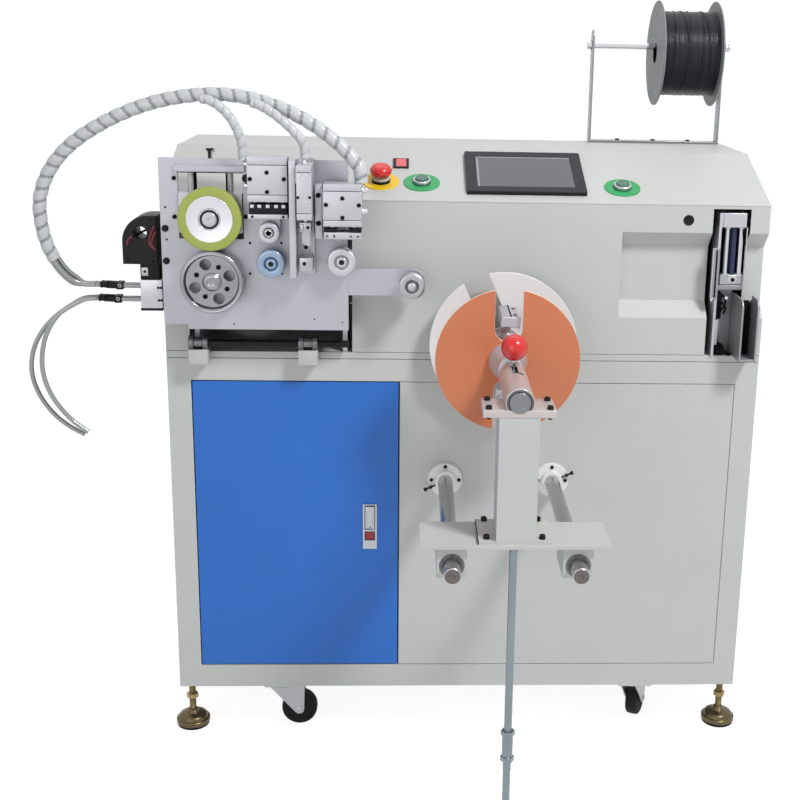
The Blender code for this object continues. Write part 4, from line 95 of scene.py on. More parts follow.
bpy.context.scene.camera = camera
print("camera stands", round((camera.matrix_world.translation - at(0.5, 0.0, 0.7)).length, 2), "m from the machine")

# %% [markdown]
# ## A few ways to make a shape
# Most pieces of a machine are turned, sawn from plate or bent from tube. Each of those has its
# own small maker here, and all of them add their faces to one open mesh, so that a piece with
# its screws is a single object. Blender's own primitives would need a join for every screw.

# %% Turned shapes
UP, RIGHTWARD, LEFTWARD = (0, 0, 1), (1, 0, 0), (-1, 0, 0)


def facing(direction):
    """The turn that takes the Z axis to a direction."""
    return Vector(direction).to_track_quat("Z", "Y").to_matrix().to_4x4()


def lathe(mesh, profile, centre, direction=(0, -1, 0), steps=48, finish=0):
    """Turns (radius, height) points about an axis; the profile runs from its start along the outside."""
    turn = Matrix.Translation(centre) @ facing(direction)
    rings = []
    for radius, height in profile:
        if radius < 1e-6:
            rings.append([mesh.verts.new(turn @ Vector((0, 0, height)))])
            continue
        ring = []
        for step in range(steps):
            angle = 2 * math.pi * step / steps
            ring.append(mesh.verts.new(turn @ Vector((radius * math.cos(angle), radius * math.sin(angle), height))))
        rings.append(ring)
    for inner, outer in zip(rings, rings[1:]):
        for step in range(steps):
            after = (step + 1) % steps
            corners = [inner[step % len(inner)], outer[step % len(outer)], outer[after % len(outer)],
                       inner[after % len(inner)]]
            corners = [corner for i, corner in enumerate(corners) if corner not in corners[:i]]
            if len(corners) > 2:
                mesh.faces.new(corners).material_index = finish


def round_edges(profile, radius=0.0006, steps=3):
    """Softens the corners of a turned profile with small arcs."""
    soft = [profile[0]]
    for before, corner, after in zip(profile, profile[1:], profile[2:]):
        here = Vector(corner)
        back, ahead = Vector(before) - here, Vector(after) - here
        reach = min(radius, back.length * 0.45, ahead.length * 0.45)
        if reach < 1e-6 or abs(back.normalized().dot(ahead.normalized())) > 0.995:
            soft.append(corner)
            continue
        start, end = here + back.normalized() * reach, here + ahead.normalized() * reach
        for step in range(steps + 1):
            t = step / steps
            soft.append(tuple((1 - t) ** 2 * start + 2 * t * (1 - t) * here + t ** 2 * end))
    soft.append(profile[-1])
    return soft


print("a softened square corner has", len(round_edges([(0, 0), (1, 0), (1, 1)], 0.1)), "points")

# %% Bars, blocks and plates
def block(mesh, low, high, soften=0.0006, finish=0, turn=None):
    """A block between two corners with softened edges."""
    low, high = Vector(low), Vector(high)
    before = set(mesh.verts)
    made = bmesh.ops.create_cube(mesh, size=1.0)["verts"]
    bmesh.ops.scale(mesh, vec=high - low, verts=made)
    bmesh.ops.translate(mesh, vec=(low + high) / 2, verts=made)
    if soften:
        edges = {edge for vert in made for edge in vert.link_edges}
        reach = min(soften, min(high - low) * 0.3)
        bmesh.ops.bevel(mesh, geom=list(edges), offset=reach, segments=2, profile=0.6, affect="EDGES")
    made = [vert for vert in mesh.verts if vert not in before]
    if turn is not None:
        bmesh.ops.transform(mesh, matrix=turn, verts=made)
    for face in {face for vert in made for face in vert.link_faces}:
        face.material_index = finish
    return made


def plate(mesh, outline, low, high, plane="XZ", holes=(), soften=0.0006, finish=0):
    """A plate cut to an outline, with holes, between two depths along the third axis."""
    curve = bpy.data.curves.new("outline", "CURVE")
    curve.dimensions = "2D"
    curve.fill_mode = "BOTH"
    curve.extrude = (high - low) / 2 - soften
    curve.bevel_depth = soften
    curve.bevel_resolution = 2
    curve.offset = -soften
    for loop in (outline, *holes):
        spline = curve.splines.new("POLY")
        spline.points.add(len(loop) - 1)
        for point, (across, up) in zip(spline.points, loop):
            point.co = (across, up, 0.0, 1.0)
        spline.use_cyclic_u = True
    stand = bpy.data.objects.new("outline", curve)
    bpy.context.scene.collection.objects.link(stand)
    bpy.context.view_layer.update()
    flat = bpy.data.meshes.new_from_object(stand.evaluated_get(bpy.context.evaluated_depsgraph_get()))
    middle = (low + high) / 2
    lay = {
        "XY": Matrix.Translation((0, 0, middle)),
        "XZ": Matrix.Translation((0, middle, 0)) @ Matrix.Rotation(math.radians(90), 4, "X"),
        "YZ": Matrix.Translation((middle, 0, 0)) @ Matrix(((0, 0, 1, 0), (1, 0, 0, 0), (0, 1, 0, 0), (0, 0, 0, 1))),
    }
    flat.transform(lay[plane])
    count = len(mesh.faces)
    mesh.from_mesh(flat)
    mesh.faces.ensure_lookup_table()
    for face in mesh.faces[count:]:
        face.material_index = finish
    bpy.data.objects.remove(stand, do_unlink=True)
    bpy.data.meshes.remove(flat)


def circle(centre, radius, steps=32, start=0.0, end=360.0):
    whole = abs(end - start) >= 360
    count = steps if whole else steps + 1
    angles = [math.radians(start + (end - start) * step / steps) for step in range(count)]
    return [(centre[0] + radius * math.cos(angle), centre[1] + radius * math.sin(angle)) for angle in angles]


def ring_spot(x, z, radius, angle, y=0.0):
    """A place at an angle on a circle that faces the front."""
    turn = math.radians(angle)
    return (x + radius * math.cos(turn), y, z + radius * math.sin(turn))


print("a circle of 32 steps has", len(circle((0, 0), 1.0)), "points")

# %% Tubes and wires
def smooth_path(points, steps=6):
    """A curve through all the points, with several places between each two."""
    points = [Vector(point) for point in points]
    path = []
    for i in range(len(points) - 1):
        p0, p1, p2, p3 = (points[min(max(i + k, 0), len(points) - 1)] for k in (-1, 0, 1, 2))
        for step in range(steps):
            t = step / steps
            path.append(0.5 * (2 * p1 + (p2 - p0) * t + (2 * p0 - 5 * p1 + 4 * p2 - p3) * t * t
                               + (3 * p1 - p0 - 3 * p2 + p3) * t ** 3))
    path.append(points[-1])
    return path


def tube(mesh, path, radius, sides=12, finish=0, closed=False):
    """A tube along a path; radius is a number, or a function of the place along it from 0 to 1."""
    path = [Vector(point) for point in path]
    count = len(path)
    rings, across = [], None
    for i, point in enumerate(path):
        before, after = path[i - 1 if closed else max(i - 1, 0)], path[(i + 1) % count if closed else min(i + 1,
                                                                                                          count - 1)]
        along = (after - before).normalized()
        across = along.orthogonal().normalized() if across is None else (across - along * across.dot(along)).normalized()
        third = along.cross(across)
        size = radius(i / (count - 1)) if callable(radius) else radius
        angles = [2 * math.pi * side / sides for side in range(sides)]
        rings.append([mesh.verts.new(point + size * (math.cos(a) * across + math.sin(a) * third)) for a in angles])
    pairs = list(zip(rings, rings[1:])) + ([(rings[-1], rings[0])] if closed else [])
    for first, second in pairs:
        for side in range(sides):
            after = (side + 1) % sides
            mesh.faces.new((first[side], first[after], second[after], second[side])).material_index = finish
    if not closed:
        mesh.faces.new(rings[0][::-1]).material_index = finish
        mesh.faces.new(rings[-1]).material_index = finish


print("a path of 3 points becomes", len(smooth_path([(0, 0, 0), (1, 0, 0), (1, 1, 0)])), "places")

# %% [markdown]
# ## Screws
# A machine like this is held together by socket cap screws, low button heads and hexagon nuts.
# Real heads have a chamfer, a straight side and a hexagon hollow that reads as a dark dot from
# afar. Each head is turned as a short lathe shape and its hollow is a six-sided pit, which
# stays sharp where a painted dot would blur.

# %% Screw heads
HEAD_SIDES, HEXAGON = 20, 6


# The pit's finish is near-black wherever a screw is placed below: painted shade in the socket.
def cap_screw(mesh, centre, direction=(0, -1, 0), radius=0.0045, height=0.0045, finish=0, pit=0):
    """A socket cap screw: turned head with a hexagon pit."""
    hexagon = radius * 0.52
    profile = [(radius, 0), (radius, height * 0.8), (radius * 0.86, height), (hexagon * 1.08, height)]
    lathe(mesh, profile, centre, direction, HEAD_SIDES, finish)
    lathe(mesh,
          [(hexagon * 1.08, height), (hexagon, height * 0.94), (hexagon * 0.96, height * 0.35), (0, height * 0.3)],
          centre, direction, HEXAGON, pit)


def button_screw(mesh, centre, direction=(0, -1, 0), radius=0.0045, height=0.0024, finish=0, pit=0):
    """A low domed head with a hexagon pit."""
    hexagon = radius * 0.45
    profile = [(radius, 0), (radius * 0.97, height * 0.35), (radius * 0.8, height * 0.75), (hexagon * 1.15, height)]
    lathe(mesh, profile, centre, direction, HEAD_SIDES, finish)
    lathe(mesh,
          [(hexagon * 1.15, height), (hexagon, height * 0.9), (hexagon * 0.95, height * 0.4), (0, height * 0.35)],
          centre, direction, HEXAGON, pit)


def hexagon_head(mesh, centre, direction=(0, -1, 0), radius=0.006, height=0.004, finish=0):
    """A hexagon nut or bolt head on a round washer."""
    lathe(mesh, [(radius * 1.25, 0), (radius * 1.25, height * 0.2), (radius * 0.8, height * 0.22)], centre, direction,
          24, finish)
    lathe(mesh, [(radius, height * 0.2), (radius, height * 0.85), (radius * 0.84, height), (0, height)], centre,
          direction, 6, finish)


def hollow(mesh, centre, direction=(0, -1, 0), radius=0.003, finish=0, rim=0):
    """A drilled hole seen from outside: a thin bright rim and, just under the face, a dark disc of painted shade."""
    lathe(mesh, [(radius * 1.16, 0.00005), (radius * 1.16, 0.00018), (radius, 0.00022)], centre, direction,
          HEAD_SIDES, rim)
    lathe(mesh, [(radius, 0.00022), (radius * 0.98, 0.00012), (0, 0.0001)], centre, direction, HEAD_SIDES, finish)


trial = bmesh.new()
cap_screw(trial, (0, 0, 0))
print("one cap screw has", len(trial.faces), "faces")
trial.free()

# %% [markdown]
# ## Effects that several finishes share
# A shader node group is like a small machine with named sockets: colour and numbers go in, and
# a colour, a mask or a height comes out. Paint, plastic and metal all need a little unevenness,
# so the unevenness is built once here and each finish sets its own strength. Copying the same
# nodes into every finish would make them drift apart.

# %% A maker of node groups
def add(tree, kind, inputs=(), **settings):
    """A node with its settings; each input is a number, a colour or another node's output."""
    made = tree.nodes.new(kind)
    for name, value in settings.items():
        setattr(made, name, value)
    for socket, value in inputs:
        if isinstance(value, bpy.types.NodeSocket):
            tree.links.new(value, made.inputs[socket])
        else:
            made.inputs[socket].default_value = value
    return made


def maths(tree, operation, *values):
    """The outcome of a math node whose inputs are the values in their order."""
    return add(tree, "ShaderNodeMath", list(enumerate(values)), operation=operation).outputs[0]


def mix(tree, weight, first, second):
    """A colour between two others."""
    return add(tree, "ShaderNodeMix", [(0, weight), (6, first), (7, second)], data_type="RGBA").outputs[2]


def effect(name, inputs, outputs):
    """An empty group with typed sockets, its input node and its output node."""
    kinds = {"number": "NodeSocketFloat", "colour": "NodeSocketColor", "vector": "NodeSocketVector"}
    tree = bpy.data.node_groups.new(name, "ShaderNodeTree")
    for label, kind, value in inputs:
        tree.interface.new_socket(label, in_out="INPUT", socket_type=kinds[kind]).default_value = value
    for label, kind in outputs:
        tree.interface.new_socket(label, in_out="OUTPUT", socket_type=kinds[kind])
    return tree, tree.nodes.new("NodeGroupInput").outputs, tree.nodes.new("NodeGroupOutput").inputs


def noise(tree, scale, detail=3.0, stretch=None):
    """Noise over the object's own metres, stretched where three factors are given."""
    place = add(tree, "ShaderNodeTexCoord").outputs["Object"]
    if stretch is not None:
        place = add(tree, "ShaderNodeVectorMath", [(0, place), (1, stretch)], operation="MULTIPLY").outputs[0]
    return add(tree, "ShaderNodeTexNoise", [("Vector", place), ("Scale", scale), ("Detail", detail)]).outputs["Fac"]


def spread(tree, value, low, high, start=0.3, end=0.7):
    """Noise stays near a half, so its middle part is spread over a wider range."""
    made = add(tree, "ShaderNodeMapRange",
               [("Value", value), ("From Min", start), ("From Max", end), ("To Min", low), ("To Max", high)])
    return made.outputs["Result"]


print("noise, spread and effect are ready")

# %% Uneven tone and gloss
uneven, given, result = effect(
    "uneven tone", [("Colour", "colour", (0.5, 0.5, 0.5, 1)), ("Scale", "number", 9.0), ("Tone", "number", 0.03),
                    ("Roughness", "number", 0.4), ("Gloss", "number", 0.05)],
    [("Colour", "colour"), ("Roughness", "number")],
)
cloud = noise(uneven, given["Scale"], 4.0)
swing = spread(uneven, cloud, -1.0, 1.0)
factor = maths(uneven, "MULTIPLY_ADD", swing, given["Tone"], 1.0)
shaded = add(uneven, "ShaderNodeVectorMath", [(0, given["Colour"]), ("Scale", factor)], operation="SCALE").outputs[0]
uneven.links.new(shaded, result["Colour"])
streaks = spread(uneven, noise(uneven, 47.0, 3.0), -1.0, 1.0)
rough = maths(uneven, "MULTIPLY_ADD", streaks, given["Gloss"], given["Roughness"])
uneven.links.new(rough, result["Roughness"])
print("group:", uneven.name)

# %% Pale edges: painted highlight and wear
painted_highlight_and_worn, given, result = effect(
    "worn edge", [("Radius", "number", 0.0012), ("Amount", "number", 0.6)],
                             [("Normal", "vector"), ("Mask", "number")],
)
rounded = add(painted_highlight_and_worn, "ShaderNodeBevel", [("Radius", given["Radius"])], samples=6).outputs[0]
flat_normal = add(painted_highlight_and_worn, "ShaderNodeNewGeometry").outputs["Normal"]
agree = add(painted_highlight_and_worn, "ShaderNodeVectorMath", [(0, rounded), (1, flat_normal)], operation="DOT_PRODUCT").outputs["Value"]
# The mask lightens rounded edges: a painted highlight, broken up by noise like wear.
edge = spread(painted_highlight_and_worn, agree, 1.0, 0.0, 0.86, 0.995)
broken = spread(painted_highlight_and_worn, noise(painted_highlight_and_worn, 130.0, 4.0), 0.2, 1.0, 0.4, 0.6)
mask = maths(painted_highlight_and_worn, "MULTIPLY", edge, broken)
mask = maths(painted_highlight_and_worn, "MULTIPLY", mask, given["Amount"])
painted_highlight_and_worn.links.new(rounded, result["Normal"])
painted_highlight_and_worn.links.new(mask, result["Mask"])
print("group:", painted_highlight_and_worn.name)

# %% Grain of a brushed, ground or rolled surface
grain, given, result = effect(
    "grain", [("Stretch", "vector", (1.0, 1.0, 1.0)), ("Scale", "number", 900.0)],
                              [("Height", "number"), ("Mask", "number")],
)
place = add(grain, "ShaderNodeTexCoord").outputs["Object"]
place = add(grain, "ShaderNodeVectorMath", [(0, place), (1, given["Stretch"])], operation="MULTIPLY").outputs[0]
lines = add(grain, "ShaderNodeTexNoise",
            [("Vector", place), ("Scale", given["Scale"]), ("Detail", 4.0)]).outputs["Fac"]
grain.links.new(lines, result["Height"])
grain.links.new(spread(grain, lines, 0.0, 1.0), result["Mask"])
print("group:", grain.name)

# %% Rings that a lathe tool leaves
ringed, given, result = effect(
    "turned rings", [("Centre", "vector", (0, 0, 0)), ("Across", "vector", (1, 0, 1)), ("Pitch", "number", 0.0012)],
    [("Height", "number"), ("Mask", "number")],
)
place = add(ringed, "ShaderNodeTexCoord").outputs["Object"]
place = add(ringed, "ShaderNodeVectorMath", [(0, place), (1, given["Centre"])], operation="SUBTRACT").outputs[0]
place = add(ringed, "ShaderNodeVectorMath", [(0, place), (1, given["Across"])], operation="MULTIPLY").outputs[0]
away = add(ringed, "ShaderNodeVectorMath", [(0, place)], operation="LENGTH").outputs["Value"]
turns = maths(ringed, "DIVIDE", away, given["Pitch"])
broken_rings = add(ringed, "ShaderNodeTexNoise", [("W", turns), ("Scale", 1.0), ("Detail", 3.0)],
                   noise_dimensions="1D").outputs["Fac"]
ringed.links.new(broken_rings, result["Height"])
ringed.links.new(spread(ringed, broken_rings, 0.0, 1.0), result["Mask"])
print("group:", ringed.name)

# %% Dust that settles on faces that look up
dusty, given, result = effect(
    "settled dust", [("Colour", "colour", (0.5, 0.5, 0.5, 1)), ("Amount", "number", 0.15)],
                              [("Colour", "colour"), ("Mask", "number")],
)
normal = add(dusty, "ShaderNodeNewGeometry").outputs["Normal"]
rise = add(dusty, "ShaderNodeSeparateXYZ", [(0, normal)]).outputs["Z"]
upper = spread(dusty, rise, 0.0, 1.0, 0.5, 1.0)
patches = spread(dusty, noise(dusty, 24.0, 5.0), 0.0, 1.0, 0.35, 0.7)
mask = maths(dusty, "MULTIPLY", upper, patches)
mask = maths(dusty, "MULTIPLY", mask, given["Amount"])
blend = mix(dusty, mask, given["Colour"], (0.62, 0.61, 0.58, 1))
dusty.links.new(blend, result["Colour"])
dusty.links.new(mask, result["Mask"])
print("group:", dusty.name)

# %% [markdown]
# ## Finishes
# Nearly everything here is one of four kinds. Powder paint has a fine orange peel and paler
# edges, a painted highlight mixed with wear. Metal shows the marks of the tool that made it,
# straight lines from a mill or a roll and rings from a lathe. Plastic is smooth, with a soft
# cloud in its gloss. Rubber is dull and collects dust. One function lays out those steps, and
# each finish gives its own numbers.

# %% A maker of finishes
def finish(name, colour, roughness=0.4, metallic=0.0, tone=0.03, scale=9.0, gloss=0.05, edge=0.0, edge_colour=None,
           radius=0.0012, bump=None, dust=0.0, coat=0.0, marks=0.0, marks_colour=None, shine=0.5):
    """A Principled material. bump is (kind, numbers, strength in metres): peel, grain or rings."""
    material = bpy.data.materials.new(name)
    material.use_nodes = True
    material.diffuse_color = (*colour, 1.0)
    tree = material.node_tree
    shader = tree.nodes["Principled BSDF"]
    shader.inputs["Metallic"].default_value = metallic
    shader.inputs["Specular IOR Level"].default_value = shine
    if coat:
        shader.inputs["Coat Weight"].default_value = coat
        shader.inputs["Coat Roughness"].default_value = 0.08
    base = add(tree, "ShaderNodeGroup", node_tree=uneven)
    for label, value in (("Colour", (*colour, 1)), ("Scale", scale), ("Tone", tone), ("Roughness", roughness),
                         ("Gloss", gloss)):
        base.inputs[label].default_value = value
    shown, dull = base.outputs["Colour"], base.outputs["Roughness"]
    soft = add(tree, "ShaderNodeGroup", node_tree=painted_highlight_and_worn)
    soft.inputs["Radius"].default_value = radius
    soft.inputs["Amount"].default_value = edge
    height = None
    if bump:
        kind, numbers, strength = bump
        if kind == "rings":
            marked = add(tree, "ShaderNodeGroup", node_tree=ringed)
            for label, value in zip(("Centre", "Across", "Pitch"), numbers):
                marked.inputs[label].default_value = value
        else:
            marked = add(tree, "ShaderNodeGroup", node_tree=grain)
            for label, value in zip(("Stretch", "Scale"), numbers):
                marked.inputs[label].default_value = value
        height = add(tree, "ShaderNodeBump", [("Height", marked.outputs["Height"]), ("Distance", strength),
                                              ("Normal", soft.outputs["Normal"])]).outputs[0]
        if marks:
            tint = (*(marks_colour or [value * 0.6 for value in colour]), 1)
            weight = maths(tree, "MULTIPLY", marked.outputs["Mask"], marks)
            shown = mix(tree, weight, shown, tint)
    tree.links.new(height or soft.outputs["Normal"], shader.inputs["Normal"])
    # Pale edges from the edge mask: painted highlight mixed with wear.
    if edge:
        pale = (*(edge_colour or [min(1.0, value * 1.25 + 0.03) for value in colour]), 1)
        shown = mix(tree, soft.outputs["Mask"], shown, pale)
    if dust:
        settled = add(tree, "ShaderNodeGroup", [("Colour", shown), ("Amount", dust)], node_tree=dusty)
        shown = settled.outputs["Colour"]
        dull = maths(tree, "MULTIPLY_ADD", settled.outputs["Mask"], 0.4, dull)
    tree.links.new(shown, shader.inputs["Base Color"])
    tree.links.new(dull, shader.inputs["Roughness"])
    return material


def paint(red, green, blue):
    """A colour as a colour chart gives it, 0 to 255, turned into the renderer's light values."""
    return tuple(((value / 255 + 0.055) / 1.055) ** 2.4 if value > 10 else value / 255 / 12.92 for value in (red,
                                                                                                             green,
                                                                                                             blue))


print("light grey on the chart is", [round(value, 3) for value in paint(200, 205, 195)], "in light values")

# %% Paint and plastic
PEEL = ((1.0, 1.0, 1.0), 420.0)
# edge and edge_colour make pale edges: painted highlight mixed with wear.
grey_paint = finish("grey powder paint", paint(194, 197, 195), 0.42, tone=0.018, edge=0.35,
                    edge_colour=paint(226, 229, 223),
                    bump=("peel", PEEL, 0.00012), dust=0.06, gloss=0.04)
blue_paint = finish("blue powder paint", paint(26, 104, 196), 0.36, tone=0.03, edge=0.4,
                    edge_colour=paint(96, 152, 226),
                    bump=("peel", PEEL, 0.00016), gloss=0.04)
# Near-black for painted shade in holes, screw pits, seams, bores and gaps; it also colours a few black wires.
shade_and_wire_black = finish("dark gap", paint(14, 14, 17), 0.7, tone=0.1, shine=0.1)
black_plastic = finish("black plastic", paint(17, 17, 20), 0.42, tone=0.08, edge=0.3, edge_colour=paint(58, 60, 64),
                       shine=0.2)
black_oxide = finish("black oxide", paint(24, 24, 27), 0.4, 0.3, tone=0.1, edge=0.5, edge_colour=paint(92, 92, 93),
                     shine=0.2)
black_rubber = finish("black rubber", paint(22, 22, 24), 0.72, tone=0.12, dust=0.12, shine=0.2)
red_plastic = finish("red plastic", paint(214, 26, 24), 0.22, tone=0.03, coat=0.3)
red_lens = finish("pink rocker", paint(222, 74, 86), 0.2, tone=0.05, coat=0.4)
green_legend = finish("green legend", paint(24, 158, 88), 0.35, tone=0.03)
green_lens = finish("green lens", paint(46, 108, 84), 0.2, tone=0.06, coat=0.4)
yellow_legend = finish("yellow legend", paint(238, 196, 22), 0.35, tone=0.03)
white_plastic = finish("white plastic", paint(232, 232, 233), 0.34, tone=0.015, edge=0.2,
                       edge_colour=paint(246, 246, 246))
orange_disc = finish("orange disc", paint(204, 118, 78), 0.3, tone=0.012, scale=4.0, gloss=0.02, coat=0.25)
orange_edge = finish("pale disc edge", paint(244, 226, 200), 0.35, tone=0.02)
tyre_green = finish("tyre", paint(160, 170, 82), 0.5, tone=0.06, bump=("grain", ((1.0, 60.0, 1.0), 60.0), 0.0002))
screen_glass = finish("screen glass", paint(58, 57, 69), 0.12, tone=0.05, coat=0.6)
screen_bezel = finish("screen bezel", paint(24, 25, 31), 0.45, tone=0.06, edge=0.3, edge_colour=paint(74, 76, 84),
                      shine=0.25)
hose_wrap = finish("hose wrap", paint(200, 203, 205), 0.34, tone=0.03, edge=0.3)
clear_hose = finish("clear hose", paint(150, 153, 154), 0.2, 0.25, tone=0.05, coat=0.5)
# Darker greys for the groove of the spiral wrap: painted shade in the groove.
wrap_groove_shade = finish("gap in the wrap", paint(152, 155, 158), 0.5, tone=0.08)
thin_wrap_groove_shade = finish("gap in the thin wrap", paint(184, 187, 189), 0.5, tone=0.05)
wire_black = finish("coated wire", paint(16, 16, 26), 0.36, tone=0.12, gloss=0.05, shine=0.3)
wire_red = finish("red wire", paint(92, 18, 34), 0.4, tone=0.1)
print("paints and plastics:", len(bpy.data.materials))

# %% Metal
LINES_UP, LINES_ACROSS, LINES_DEEP = ((60.0, 60.0, 1.0), 26.0), ((1.0, 60.0, 60.0), 26.0), ((60.0, 1.0, 60.0), 26.0)
# edge and edge_colour make pale edges: painted highlight mixed with wear; the feet's gold edges are painted glints.
satin_aluminium = finish("satin aluminium", paint(190, 189, 196), 0.42, 0.55, tone=0.02, edge=0.5,
                         edge_colour=paint(232, 232, 236),
                         bump=("grain", LINES_UP, 0.00006), marks=0.12, gloss=0.06)
bright_aluminium = finish("bright aluminium", paint(192, 192, 198), 0.3, 0.75, tone=0.02, edge=0.5,
                          edge_colour=paint(238, 238, 240),
                          bump=("grain", LINES_ACROSS, 0.00006), marks=0.15)
milled_steel = finish("milled steel", paint(172, 173, 176), 0.32, 0.9, tone=0.04, edge=0.5,
                      edge_colour=paint(214, 214, 216),
                      bump=("grain", LINES_ACROSS, 0.00008), marks=0.3)
ground_steel = finish("ground steel", paint(184, 184, 186), 0.22, 1.0, tone=0.03, bump=("grain", LINES_DEEP, 0.00004),
                      marks=0.25)
dark_steel = finish("dark steel", paint(104, 105, 108), 0.34, 0.8, tone=0.06, edge=0.4,
                    edge_colour=paint(170, 170, 170))
chrome = finish("chrome", paint(208, 209, 212), 0.09, 1.0, tone=0.02, gloss=0.02)
blue_steel = finish("blued steel", paint(142, 160, 182), 0.24, 0.75, tone=0.05, edge=0.4,
                    edge_colour=paint(176, 190, 208))
blue_metal = finish("blue anodised", paint(62, 84, 116), 0.28, 0.8, tone=0.04, edge=0.4,
                    edge_colour=paint(120, 140, 168))
plate_aluminium = finish("feed plate aluminium", paint(176, 176, 184), 0.42, 0.55, tone=0.02, edge=0.5,
                         edge_colour=paint(214, 214, 220))
dark_blue = finish("dark blue cylinder", paint(38, 46, 84), 0.3, 0.3, tone=0.05)
grey_steel = finish("guide plate", paint(150, 150, 154), 0.36, 0.35, tone=0.05, edge=0.5,
                    edge_colour=paint(205, 206, 208))
spool_grey = finish("spool flange", paint(136, 138, 142), 0.5, tone=0.04, edge=0.3)
bronze_metal = finish("browned zinc", paint(98, 86, 64), 0.3, 0.85, tone=0.2, scale=34.0, edge=0.5,
                      edge_colour=paint(188, 160, 96))
worn_zinc = finish("yellow zinc nut", paint(150, 132, 92), 0.32, 0.8, tone=0.12, scale=34.0, edge=0.4,
                   edge_colour=paint(196, 184, 150))
satin_chrome = finish("satin chrome", paint(178, 182, 184), 0.34, 0.7, tone=0.03, edge=0.4)
dark_red = finish("dark red button", paint(140, 30, 42), 0.3, tone=0.05, edge=0.3)
barrel_paint = finish("barrel", paint(196, 189, 188), 0.32, 0.3, tone=0.03, edge=0.4)
leg_steel = finish("leg tube", paint(128, 138, 144), 0.12, 1.0, tone=0.06, gloss=0.04)
rail_end = finish("sawn rail end", paint(106, 101, 98), 0.45, 0.5, tone=0.12, scale=30.0)
ring_grey = finish("grey bearing ring", paint(128, 130, 134), 0.3, 0.7, tone=0.05)
deck_clamp = finish("clamp casting", paint(188, 190, 186), 0.45, tone=0.03, edge=0.35)
bracket_steel = finish("bracket steel", paint(140, 142, 146), 0.3, 0.8, tone=0.05, edge=0.6,
                       edge_colour=paint(220, 221, 224))
cream_plastic = finish("cream collar", paint(228, 218, 200), 0.4, tone=0.02)
# A pale grey for the glass's left and top edges: painted highlight.
screen_edge_highlight = finish("screen's pale edge", paint(150, 150, 158), 0.3, tone=0.02)
print("finishes in all:", len(bpy.data.materials))

# %% [markdown]
# ## From a drawn mesh to a piece
# Every piece below is drawn where the drawing has it and moved to the scene's origin at the
# end. It gets its finishes, rides on one body of the model, so that it moves as the real one
# does, and names the plain solid that it stands for. Faces are smooth and only real corners
# are kept sharp.

# %% Placing a piece on the part
def place(mesh, name, body, *finishes, slot=None, instead=(), smooth=35.0):
    """Turns an open mesh, drawn in the machine's own coordinates, into a piece that rides on a body."""
    bmesh.ops.translate(mesh, vec=-DRAWING_MIDDLE, verts=mesh.verts)
    bmesh.ops.recalc_face_normals(mesh, faces=mesh.faces)
    data = bpy.data.meshes.new(name)
    mesh.to_mesh(data)
    mesh.free()
    for polygon in data.polygons:
        polygon.use_smooth = True
    data.set_sharp_from_angle(angle=math.radians(smooth))
    piece = bpy.data.objects.new(name, data)
    bpy.context.scene.collection.objects.link(piece)
    for material in finishes:
        data.materials.append(material)
    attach(piece, body)
    if instead:
        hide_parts(*instead)
    return piece


# %% [markdown]
# ## Hoses
# Five hoses leave the valve block on the left side. The thick one is a bundle in a white spiral
# wrap. It climbs over the top in one big bow and ends at the fittings of the feed head, and two
# thinner bundles leave it on the way. Two small air hoses hang down loose beside the cabinet.
# A hose has a real length and can't be stretched to suit a picture, so each one follows a route
# of points from the place it leaves, and its length is summed along that route.

# %% Where the hoses run, on the drawing, with heights over the deck
DECK = 0.709
ROUTES = {
    "hose_loom": [
        (-0.1155, 0.030, 0.106), (-0.134, 0.030, 0.106), (-0.153, 0.026, 0.115), (-0.170, 0.018, 0.136),
        (-0.184, 0.009, 0.168), (-0.191, 0.001, 0.206), (-0.189, -0.007, 0.251), (-0.170, -0.014, 0.296),
        (-0.134, -0.022, 0.337), (-0.080, -0.030, 0.373), (-0.014, -0.038, 0.402), (0.052, -0.046, 0.418),
        (0.120, -0.052, 0.422), (0.185, -0.060, 0.410), (0.240, -0.068, 0.387), (0.285, -0.075, 0.357),
        (0.313, -0.079, 0.331), (0.327, -0.081, 0.310), (0.327, -0.081, 0.2925)],
    "loom_branch_one": [
        (0.082, -0.0680, 0.4165), (0.095, -0.0690, 0.4135), (0.110, -0.0710, 0.4050), (0.125, -0.0720, 0.3900),
        (0.136, -0.0710, 0.3700), (0.142, -0.0680, 0.3510), (0.143, -0.0655, 0.3370), (0.143, -0.0655, 0.3235)],
    "loom_branch_two": [
        (0.160, -0.0760, 0.4120), (0.173, -0.0790, 0.4080), (0.191, -0.0835, 0.3980), (0.210, -0.0870, 0.3840),
        (0.226, -0.0880, 0.3690), (0.237, -0.0865, 0.3550), (0.24075, -0.0843, 0.3420), (0.24075, -0.0843, 0.3295)],
    "loose_hose_outer": [
        (-0.1155, 0.0355, 0.083), (-0.132, 0.0358, 0.082), (-0.150, 0.036, 0.075), (-0.189, 0.036, 0.048),
        (-0.216, 0.035, 0.016), (-0.230, 0.034, -0.018), (-0.232, 0.033, -0.054), (-0.220, 0.031, -0.090),
        (-0.198, 0.029, -0.121), (-0.171, 0.027, -0.143), (-0.149, 0.026, -0.155)],
    "loose_hose_inner": [
        (-0.1155, 0.0245, 0.083), (-0.130, 0.0243, 0.082), (-0.146, 0.024, 0.076), (-0.178, 0.022, 0.056),
        (-0.199, 0.021, 0.025), (-0.209, 0.020, -0.009), (-0.210, 0.019, -0.044), (-0.201, 0.018, -0.077),
        (-0.184, 0.017, -0.106), (-0.162, 0.017, -0.131), (-0.140, 0.017, -0.148)],
}


def hose_path(name, steps=6):
    """The route as a curve whose first and last stretches stay straight in their fittings."""
    points = [Vector((x, y, z + DECK)) for x, y, z in ROUTES[name]]
    return [points[0], *smooth_path(points, steps)[steps:-steps], points[-1]]


